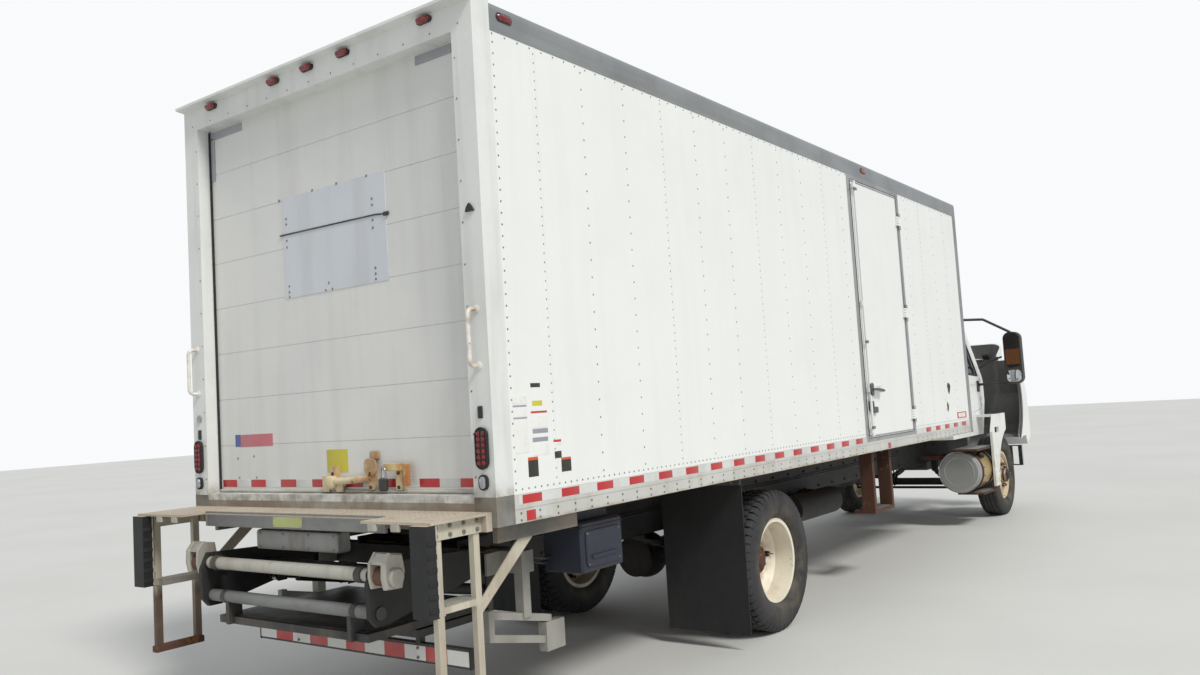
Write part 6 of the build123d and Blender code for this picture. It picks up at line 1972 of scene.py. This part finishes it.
    def roof_lamps(self) -> None:
        """Five amber lamps along the roof's front edge: soft domes on black feet."""
        layers = ((-0.004, 0.0), (0.008, 0.0), (0.018, 0.01), (0.022, 0.022))
        lamp = lens_shape((0.045, 0.028), 0.02, layers, axis=2, squeeze=0.7)
        base = slab((-0.055, -0.036, -0.006), (0.055, 0.036, 0.004), 0.002, 0.02)
        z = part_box("cab_shell")[1].z - 0.003
        places = np.array([(AT.cab + 0.86, y, z) for y in (-0.72, -0.18, 0.0, 0.18, 0.72)])
        piece("roof_lamp_feet", base.repeated(places), BLACK_PLASTIC)
        piece("roof_lamps", lamp.repeated(places), LENS_AMBER)

    def seats(self) -> None:
        """Two seats in place of the plain ones: each a crowned cushion, back and head pad on a dark base."""
        floor, x = self.floor, AT.cab
        bases = []
        for side in Side:
            y = side.value * self.seat_y
            cushion = pillow((x + 0.47, y, floor + 0.345), (0.262, 0.252, 0.085), 0.32, 0.55)
            thing = piece(f"seat_cushion_{side.word}", cushion, SEAT_CLOTH, "chassis", 60)
            back = pillow((0, 0, 0), (0.085, 0.24, 0.335), 0.4, 0.5).turned("Y", self.recline)
            thing = piece(f"seat_back_{side.word}", back.moved((x + 0.225, y, floor + 0.715)), SEAT_CLOTH,
                          "chassis", 60)
            head = pillow((0, 0, 0), (0.055, 0.145, 0.09), 0.5, 0.6).turned("Y", self.recline)
            thing = piece(f"seat_head_{side.word}", head.moved((x + 0.165, y, floor + 0.985)), SEAT_CLOTH,
                          "chassis", 60)
            if side is Side.LEFT:
                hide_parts("seats")
            bases += [slab((x + 0.24, y - 0.185, floor), (x + 0.68, y + 0.185, floor + 0.24), 0.012, 0.03),
                      slab((x + 0.22, y - 0.215, floor + 0.235), (x + 0.71, y + 0.215, floor + 0.275), 0.006,
                           0.02)]
            bases += [swept([(x + 0.19, y + dy, floor + 0.86), (x + 0.185, y + dy, floor + 0.92),
                             (x + 0.18, y + dy, floor + 0.96)], round_profile(0.008, 8), up=(0, 1, 0))
                      for dy in (-0.06, 0.06)]
        piece("seat_bases", joined(*bases), BLACK_PLASTIC)

    def dash(self) -> None:
        """Hooded instruments on the left with round gauges, vents, blank radio, glove box lid and stalk."""
        front = AT.cab + 1.48
        x = front - 0.335
        hood = slab((x - 0.1, 0.22, 1.735), (x + 0.06, 0.74, 1.80), 0.012, 0.04, axis=1, steps=4)
        piece("dash_hood", hood, BLACK_PLASTIC)
        gauge = revolved([(-0.006, 0.05), (0.004, 0.05), (0.006, 0.044), (0.003, 0.042), (0.003, 0.004)],
                         (0, 0, 0), (-0.75, 0, 0.35), 24)
        piece("dash_gauges", gauge.repeated(np.array([(x - 0.055, y, 1.728) for y in (0.36, 0.48, 0.6)])),
              BLACK_PLASTIC)
        vent = joined(*[slab((-0.004, -0.07, z), (0.006, 0.07, z + 0.008), 0.002)
                        for z in np.arange(-0.03, 0.03, 0.016)])
        piece("dash_vents", vent.repeated(np.array([(front - 0.42, y, 1.685) for y in (-0.75, -0.1, 0.12)])),
              BLACK_PLASTIC)
        radio = slab((front - 0.425, -0.1, 1.585), (front - 0.395, 0.09, 1.64), 0.004)
        glove = slab((front - 0.41, -0.8, 1.5), (front - 0.38, -0.35, 1.62), 0.008, 0.02, axis=0)
        piece("dash_radio_blank", radio, BLACK_PLASTIC)
        piece("dash_glove_lid", glove, DASH_GREY)
        stalk = swept([(front - 0.50, 0.42, 1.70), (front - 0.51, 0.36, 1.705), (front - 0.52, 0.31, 1.712)],
                      round_profile(0.006, 8))
        piece("dash_stalk", stalk, BLACK_PLASTIC)

    def interior(self) -> None:
        """Three pedals, the gear lever on its rubber boot, a floor mat, and sun visors."""
        x = AT.cab
        pads = [slab((x + 1.18, y - 0.035, 1.2), (x + 1.195, y + 0.035, 1.27), 0.004, 0.01, axis=0)
                for y in (0.36, 0.48, 0.6)]
        rods = [swept([(x + 1.19, y, 1.235), (x + 1.24, y, 1.29), (x + 1.29, y, 1.36)],
                      round_profile(0.007, 8), up=(0, 1, 0)) for y in (0.36, 0.48, 0.6)]
        piece("pedals", joined(*pads, *rods), DARK_STEEL)
        boot = revolved([(0, 0.09), (0.01, 0.09), (0.03, 0.06), (0.04, 0.062), (0.06, 0.04), (0.07, 0.042),
                         (0.1, 0.018)], (x + 0.95, 0.0, 1.131), (0, 0, 1), 20)
        lever = swept([(x + 0.95, 0, 1.2), (x + 0.93, 0.01, 1.4), (x + 0.90, 0.02, 1.55)],
                      round_profile(0.009, 8), up=(0, 1, 0))
        knob = pillow((x + 0.898, 0.021, 1.57), (0.026, 0.026, 0.032), 1.0, 1.0, 10, 16)
        piece("gear_lever", joined(boot, lever, knob), BLACK_PLASTIC)
        piece("floor_mat", slab((x + 0.25, -0.9, 1.128), (x + 1.15, 0.9, 1.134), 0.002, 0.05), BLACK_RUBBER)
        visor = slab((x + 0.86, 0.2, 2.46), (x + 0.98, 0.72, 2.478), 0.006, 0.008,
                     axis=1).turned("Y", 28, (x + 0.92, 0, 2.47))
        piece("sun_visors", both(visor), DASH_GREY)

    def skirts(self) -> None:
        """Grab rails behind the doors, a pale drip rail over each door, and bolts on the skirts."""
        rail = tube([(AT.cab + 0.14, 1.0, 1.45), (AT.cab + 0.14, 1.045, 1.46), (AT.cab + 0.14, 1.05, 1.6),
                     (AT.cab + 0.14, 1.05, 1.95), (AT.cab + 0.14, 1.04, 2.1), (AT.cab + 0.14, 0.968, 2.11)],
                    0.012, 10, up=(1, 0, 0))
        piece("grab_rails", both(rail), BRIGHT_STEEL)
        drip = swept([(AT.cab + t, float(self.skin(2.585)) + 0.004, 2.585)
                      for t in np.linspace(0.15, 0.9, 8)], soft_rectangle(0.006, 0.009, 0.003))
        piece("drip_rails", both(drip), CAB_WHITE)
        bolts = lattice(AT.cab + np.array([0.92, 1.05, 1.15]), 1.215, [0.5, 0.62])
        piece("skirt_bolts", both(dome(0.009, 0.004, (0, 1, 0), 8).repeated(bolts)), BOLT_GREY)


# Hood and front end


@dataclass(frozen=True)
class FrontEnd:
    """The tipped hood's ribs, lamps and trim, the engine bay and the bumper's trim."""

    ahead: float = 0.88
    hinge_z: float = 0.9
    datum: float = 0.7
    opened: float = 62.0
    lamp: Pair = (0.92, 0.315)

    def build(self) -> None:
        """Dress the hood in its shut place, turn it open, then the bay and the bumper."""
        self.hood_inside()
        self.lamps()
        self.engine()
        self.cooling()
        self.bay()
        self.bumper()

    def hinge(self) -> Place:
        """The hood's hinge in the row frame."""
        return (AT.axle_front + self.ahead, 0.0, self.hinge_z)

    def opened_up(self, shape: Shape) -> Shape:
        """A shape drawn from the hinge, with heights from the shut hood's datum, carried to the open hood."""
        x, _, _ = self.hinge()
        return shape.moved((x, 0, self.datum)).turned("Y", self.opened, self.hinge())

    def hood_inside(self) -> None:
        """Ribs along and across the inside of the hood's top, and its two latch pads."""
        ribs = []
        for y in (-0.52, -0.26, 0.0, 0.26, 0.52):
            way = [(x, y, z) for x, z in ((-1.0, 1.001), (-0.7, 0.904), (-0.42, 0.816), (-0.2, 0.743),
                                          (-0.04, 0.689))]
            ribs.append(swept(eased(way), soft_rectangle(0.016, 0.02, 0.008)))
        for x, z, half in ((-0.9, 0.9755, 0.72), (-0.55, 0.8636, 0.66), (-0.2, 0.749, 0.5)):
            ribs.append(swept([(x, y, z) for y in np.linspace(-half, half, 9)],
                              soft_rectangle(0.018, 0.014, 0.008)))
        piece("hood_ribs", self.opened_up(joined(*ribs)), HOOD_UNDER, "hood")
        pads = [slab((-0.98, side * 0.7 - 0.04, 0.96), (-0.9, side * 0.7 + 0.04, 1.0), 0.01)
                for side in (1, -1)]
        piece("hood_latch_pads", self.opened_up(joined(*pads)), BLACK_RUBBER, "hood")

    def lamps(self) -> None:
        """Clear headlamps with bright rims, amber corners on the hood's nose, and slim trim on the grille."""
        layers = ((0.05, 0.0), (0.056, 0.0), (0.062, 0.012), (0.065, 0.03))
        lens = lens_shape((0.15, 0.07), 0.025, layers, steps=7, middle=self.lamp)
        rim = bead((0.156, 0.0755), 0.03, 0.052, round_profile(0.007, 8), steps=7, middle=self.lamp)
        amber = slab((0.051, 1.086, 0.25), (0.064, 1.15, 0.38), 0.004, 0.012, axis=0)
        for word, shape, finish in (("headlamp_lens", lens, LENS_CLEAR), ("headlamp_rim", rim, BRIGHT_STEEL),
                                    ("corner_lamp", amber, LENS_AMBER)):
            piece(word, self.opened_up(both(shape)), finish, "hood")
        trim = [slab((0.031, -0.39, z), (0.038, 0.39, z + 0.008), 0.002) for z in np.arange(0.28, 0.54, 0.05)]
        piece("grille_trim", self.opened_up(joined(*trim)), BRIGHT_STEEL, "hood")

    def engine(self) -> None:
        """The rocker cover, exhaust ports and turbo on the right, belt wheels and alternator in front."""
        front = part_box("engine")[1].x
        x0, x1 = AT.cab + 1.545, front - 0.195
        belt_x = front - 0.045
        cover = slab((x0, -0.135, 1.36), (x1, 0.135, 1.43), 0.012, 0.02)
        ribs = [slab((x0 + 0.02, y - 0.005, 1.428), (x1 - 0.02, y + 0.005, 1.436), 0.002)
                for y in (-0.08, -0.03, 0.03, 0.08)]
        piece("rocker_cover", joined(cover, *ribs), ENGINE_GREY)
        bolts = lattice(np.linspace(x0 + 0.04, x1 - 0.04, 7), [-0.118, 0.118], 1.429)
        piece("rocker_bolts", hex_nut(0.009, 0.008, (0, 0, 1)).repeated(bolts), BOLT_GREY)
        cap = revolved([(0, 0.03), (0.015, 0.03), (0.02, 0.036), (0.034, 0.036), (0.038, 0.03)],
                       (x0 + 0.15, 0, 1.43), (0, 0, 1), 18)
        piece("oil_cap", cap, BLACK_PLASTIC)
        ports = [swept([(x, -0.185, 1.16), (x, -0.23, 1.165), (x, -0.255, 1.14)], round_profile(0.028, 12),
                       up=(1, 0, 0)) for x in np.linspace(x0 + 0.08, x1 - 0.1, 5)]
        log_pipe = revolved([(0, 0.03), (0.01, 0.042), (x1 - x0 - 0.12, 0.042), (x1 - x0 - 0.1, 0.03)],
                            (x0 + 0.05, -0.265, 1.13), (1, 0, 0), 16)
        piece("exhaust_manifold", joined(log_pipe, *ports), HOT_PIPE)
        turbo = revolved([(-0.07, 0.04), (-0.06, 0.075), (-0.01, 0.08), (0.0, 0.05), (0.02, 0.05),
                          (0.03, 0.07), (0.07, 0.068), (0.08, 0.035)], (x0 + 0.3, -0.33, 1.22),
                         (1, 0, 0), 24)
        piece("turbo", turbo, CAST_IRON)
        spin = [(0.0, 0.03), (0.003, 0.066), (0.012, 0.06), (0.021, 0.066), (0.024, 0.03)]
        wheels = [revolved(spin, (belt_x, y, z), (1, 0, 0), 24) for y, z in ((0.24, 1.2), (-0.17, 1.06))]
        shaft = revolved([(-0.03, 0.02), (0.03, 0.02)], (belt_x, -0.17, 1.06), (1, 0, 0), 14)
        piece("belt_wheels", joined(*wheels, shaft), DARK_STEEL)
        can = revolved([(-0.17, 0.04), (-0.165, 0.07), (-0.01, 0.072), (0.0, 0.05)], (belt_x, 0.24, 1.2),
                       (1, 0, 0), 20)
        piece("alternator", can, ENGINE_GREY)

    def cooling(self) -> None:
        """Core fins, tank seams and cap of the radiator, its two thick pipes and the fan's blades."""
        low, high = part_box("radiator")
        fins = slab((high.x - 0.002, -0.36, -0.0015), (high.x + 0.002, 0.36, 0.0015), 0.0006)
        piece("radiator_fins", fins.repeated(lattice(0, 0, np.arange(0.93, 1.28, 0.011))), CORE_BLACK)
        header = slab((high.x - 0.07, -0.39, 1.285), (high.x + 0.006, 0.39, 1.345), 0.012, 0.02, axis=1)
        cap = revolved([(0, 0.03), (0.012, 0.03), (0.016, 0.024), (0.018, 0.01)],
                       (high.x - 0.04, -0.2, 1.349), (0, 0, 1), 18)
        piece("radiator_header", joined(header, cap), BLACK_PLASTIC)
        upper = [(low.x + 0.05, -0.3, 1.3), (low.x - 0.04, -0.29, 1.33), (low.x - 0.16, -0.2, 1.36),
                 (low.x - 0.26, -0.1, 1.35)]
        lower = [(low.x + 0.05, 0.3, 0.95), (low.x - 0.06, 0.29, 0.96), (low.x - 0.14, 0.24, 1.0),
                 (low.x - 0.2, 0.17, 1.05)]
        piece("radiator_pipes", joined(*[tube(way, 0.028, 14) for way in (upper, lower)]), BLACK_RUBBER)
        blade = prism([(0.03, -0.02), (0.2, -0.045), (0.205, 0.04), (0.04, 0.03)], 0.0, 0.004, 0, 0.001)
        blades = [blade.turned("X", angle).moved((low.x - 0.004, 0, 1.12)) for angle in range(0, 360, 45)]
        piece("fan_blades", joined(*blades), BLACK_PLASTIC)

    def bay(self) -> None:
        """The air cleaner with its pipe, a pale header tank and the brake booster."""
        x = AT.axle_front
        can = revolved([(-0.2, 0.05), (-0.198, 0.125), (-0.19, 0.135), (-0.05, 0.135), (-0.045, 0.141),
                        (-0.03, 0.141), (-0.025, 0.135), (0.19, 0.135), (0.198, 0.125), (0.2, 0.05)],
                       (x + 0.15, -0.5, 1.24), (1, 0, 0), 32)
        feet = [slab((x + a, -0.44, 1.07), (x + a + 0.03, -0.39, 1.2), 0.003) for a in (0.0, 0.26)]
        piece("air_cleaner", joined(can, *feet), BLACK_PLASTIC)
        way = [(x - 0.04, -0.5, 1.24), (x - 0.12, -0.49, 1.25), (x - 0.16, -0.42, 1.26),
               (x - 0.12, -0.345, 1.245)]
        piece("air_pipe", tube(way, 0.045, 16), BLACK_RUBBER)
        tank = slab((x + 0.05, 0.36, 1.079), (x + 0.32, 0.54, 1.34), 0.02, 0.04, steps=5)
        neck = revolved([(0, 0.028), (0.02, 0.028), (0.022, 0.034), (0.04, 0.034), (0.044, 0.02)],
                        (x + 0.2, 0.45, 1.338), (0, 0, 1), 18)
        piece("header_tank", joined(tank, neck), PALE_PLASTIC)
        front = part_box("cab_shell")[1].x
        boost = revolved([(-0.01, 0.11), (0.03, 0.115), (0.05, 0.1), (0.08, 0.06), (0.15, 0.03),
                          (0.155, 0.01)], (front - 0.12, 0.48, 1.42), (1, 0, 0), 28)
        piece("brake_booster", boost, BLACK_CHASSIS)

    def bumper(self) -> None:
        """A blank plate on its bracket, two tow hooks and bolts on the bumper's face."""
        x = AT.bumper
        plate = slab((x - 0.0005, -0.153, 0.63), (x + 0.003, 0.153, 0.77), 0.001, 0.01, axis=0)
        piece("front_plate_blank", plate, LABEL_WHITE)
        hook = tube([(x - 0.01, 0.45, 0.6), (x + 0.05, 0.45, 0.6), (x + 0.07, 0.45, 0.64),
                     (x + 0.05, 0.45, 0.68), (x - 0.01, 0.45, 0.68)], 0.014, 10, up=(0, 1, 0))
        piece("tow_hooks", both(hook), DARK_STEEL)
        bolts = lattice(x, [0.34, 0.56, 0.84], [0.61, 0.79])
        piece("bumper_bolts", both(dome(0.012, 0.006, (1, 0, 0), 10).repeated(bolts)), BOLT_GREY)


# Inside the load space


@dataclass(frozen=True)
class LoadSpace:
    """The empty load space: roof bows, wall posts, cargo tracks, kick plates and dome lamps."""

    pitch: float = 0.61
    wall: float = 0.038
    spans: tuple[Pair, Pair] = ((0.2, 4.7), (6.15, 7.85))
    door_span: Pair = (4.7, 6.15)
    track_heights: Pair = (2.0, 2.75)

    def bars(self, spans: tuple[Pair, ...], depth: float, low: float, high: float) -> list[Shape]:
        """Flat bars on the inside of the left wall.

        Args:
            spans: where each starts and ends along X.
            depth: how far they stand out.
            low, high: their heights.
        Returns:
            One bar for each span.
        """
        inner = AT.skin - self.wall
        return [slab((AT.rear + a, inner - depth, low), (AT.rear + b, inner + 0.001, high), 0.003)
                for a, b in spans]

    def build(self) -> None:
        """Dress the walls, then the roof."""
        inner = AT.skin - self.wall
        stations = AT.rear + np.arange(0.55, 7.8, self.pitch)
        clear = stations[(stations < AT.rear + 4.72) | (stations > AT.rear + 6.15)]
        post = slab((-0.03, inner - 0.012, AT.floor + 0.3), (0.03, inner + 0.001, AT.wall_top - 0.01), 0.003)
        left = post.repeated(lattice(stations, 0, 0))
        piece("inner_posts", joined(left, post.repeated(lattice(clear, 0, 0)).mirrored()), WALL_LINER)
        tracks, gaps = ([bar for z in self.track_heights
                         for bar in self.bars(spans, 0.016, z - 0.06, z + 0.06)]
                        for spans in (self.spans, (self.door_span,)))
        piece("cargo_tracks", joined(both(joined(*tracks)), *gaps), BRIGHT_STEEL)
        piece("kick_plates", both(joined(*self.bars(self.spans, 0.018, AT.floor, AT.floor + 0.3))),
              RAIL_METAL)
        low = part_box("box_roof")[0].z
        bow = slab((-0.02, -1.2, low - 0.035), (0.02, 1.2, low + 0.001), 0.004)
        piece("roof_bows", bow.repeated(lattice(stations, 0, 0)), GALVANISED)
        lamp = revolved([(0, 0.09), (0.012, 0.09), (0.03, 0.07), (0.036, 0.03)], (0, 0, low - 0.034),
                        (0, 0, -1), 24)
        piece("dome_lamps", lamp.repeated(lattice(AT.rear + np.array([2.38, 5.43]), 0, 0)), LENS_CLEAR)


# Camera, light and floor


@dataclass(frozen=True)
class Studio:
    """A pale floor, soft light and a camera at the photo's own viewpoint."""

    place: Place = (-3.4596, -4.5049, 1.7292)
    yaw: float = 36.2411
    pitch: float = 4.0454
    roll: float = -3.4657
    focal_pixels: float = 968.7289
    frame_pixels: float = 1200.0
    sensor: float = 36.0
    sky: float = 0.62
    sun: float = 2.2
    floor_half: float = 60.0

    def build(self) -> None:
        """Set the camera, lights, world and floor."""
        self.camera()
        self.light()
        self.floor()

    def camera(self) -> None:
        """The camera's axes come from yaw, pitch and roll, and its lens from the focal length in pixels."""
        yaw, pitch, roll = (math.radians(angle) for angle in (self.yaw, self.pitch, self.roll))
        ahead = Vector((math.cos(pitch) * math.cos(yaw), math.cos(pitch) * math.sin(yaw), math.sin(pitch)))
        level = ahead.cross(Vector((0, 0, 1))).normalized()
        upright = level.cross(ahead)
        right = math.cos(roll) * level + math.sin(roll) * upright
        up = -math.sin(roll) * level + math.cos(roll) * upright
        data = bpy.data.cameras.new("camera")
        data.sensor_width = self.sensor
        data.lens = self.focal_pixels * self.sensor / self.frame_pixels
        data.clip_start, data.clip_end = 0.1, 300.0
        camera = bpy.data.objects.new("camera", data)
        matrix = Matrix((right, up, -ahead)).transposed().to_4x4()
        matrix.translation = Vector((AT.rear + self.place[0], self.place[1], self.place[2]))
        camera.matrix_world = matrix
        bpy.context.scene.collection.objects.link(camera)
        bpy.context.scene.camera = camera

    def light(self) -> None:
        """An even pale sky, and a wide sun from the right and above."""
        world = bpy.data.worlds.new("sky")
        bpy.context.scene.world = world
        world.use_nodes = True
        nodes, links = world.node_tree.nodes, world.node_tree.links
        nodes.clear()
        output = nodes.new("ShaderNodeOutputWorld")
        dim, bright = nodes.new("ShaderNodeBackground"), nodes.new("ShaderNodeBackground")
        mix = nodes.new("ShaderNodeMixShader")
        dim.inputs["Color"].default_value = (0.93, 0.96, 1.0, 1)
        dim.inputs["Strength"].default_value = self.sky
        bright.inputs["Color"].default_value = (0.95, 0.96, 0.97, 1)
        rays = nodes.new("ShaderNodeLightPath")
        seen = nodes.new("ShaderNodeMath")
        seen.operation = "MAXIMUM"
        links.new(rays.outputs["Is Camera Ray"], seen.inputs[0])
        links.new(rays.outputs["Is Transmission Ray"], seen.inputs[1])
        links.new(seen.outputs[0], mix.inputs[0])
        links.new(dim.outputs[0], mix.inputs[1])
        links.new(bright.outputs[0], mix.inputs[2])
        links.new(mix.outputs[0], output.inputs["Surface"])
        data = bpy.data.lights.new("sun", "SUN")
        data.energy = self.sun
        data.angle = math.radians(14)
        data.color = (1.0, 0.985, 0.95)
        sun = bpy.data.objects.new("sun", data)
        sun.matrix_world = Vector((-0.32, -1.0, 1.15)).to_track_quat("Z", "Y").to_matrix().to_4x4()
        bpy.context.scene.collection.objects.link(sun)

    def floor(self) -> None:
        """A wide flat floor under the wheels, of pale concrete."""
        half = self.floor_half
        mesh = bpy.data.meshes.new("floor")
        mesh.from_pydata([(-half, -half, 0), (half, -half, 0), (half, half, 0), (-half, half, 0)], [],
                         [(0, 1, 2, 3)])
        floor = bpy.data.objects.new("floor", mesh)
        bpy.context.scene.collection.objects.link(floor)
        concrete = Finish("floor_pale", paint(206, 206, 202), paint(198, 198, 194), grime=0.0, rough=0.8,
                          patch=0.3, grain=0.05)
        mesh.materials.append(material_of(concrete))


def dress_nodes() -> None:
    """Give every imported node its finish."""
    for name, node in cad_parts.items():
        node.data.materials.clear()
        node.data.materials.append(material_of(NODE_FINISH[name]))
        log.info("node %s in %s", name, NODE_FINISH[name].name)


def main() -> None:
    """Build the truck's dressing in order."""
    logging.basicConfig(level=logging.INFO, format="%(message)s", stream=sys.stdout)
    bpy.context.scene.view_settings.view_transform = "Standard"
    dress_nodes()
    for part in (VanBody(), LoadSpace(), RearEnd(), SideDoor(), LiftGate(), Underbody(), Wheels(), Cab(),
                 FrontEnd(), Studio()):
        log.info("building %s", type(part).__name__)
        part.build()


if __name__ == "__main__":
    main()
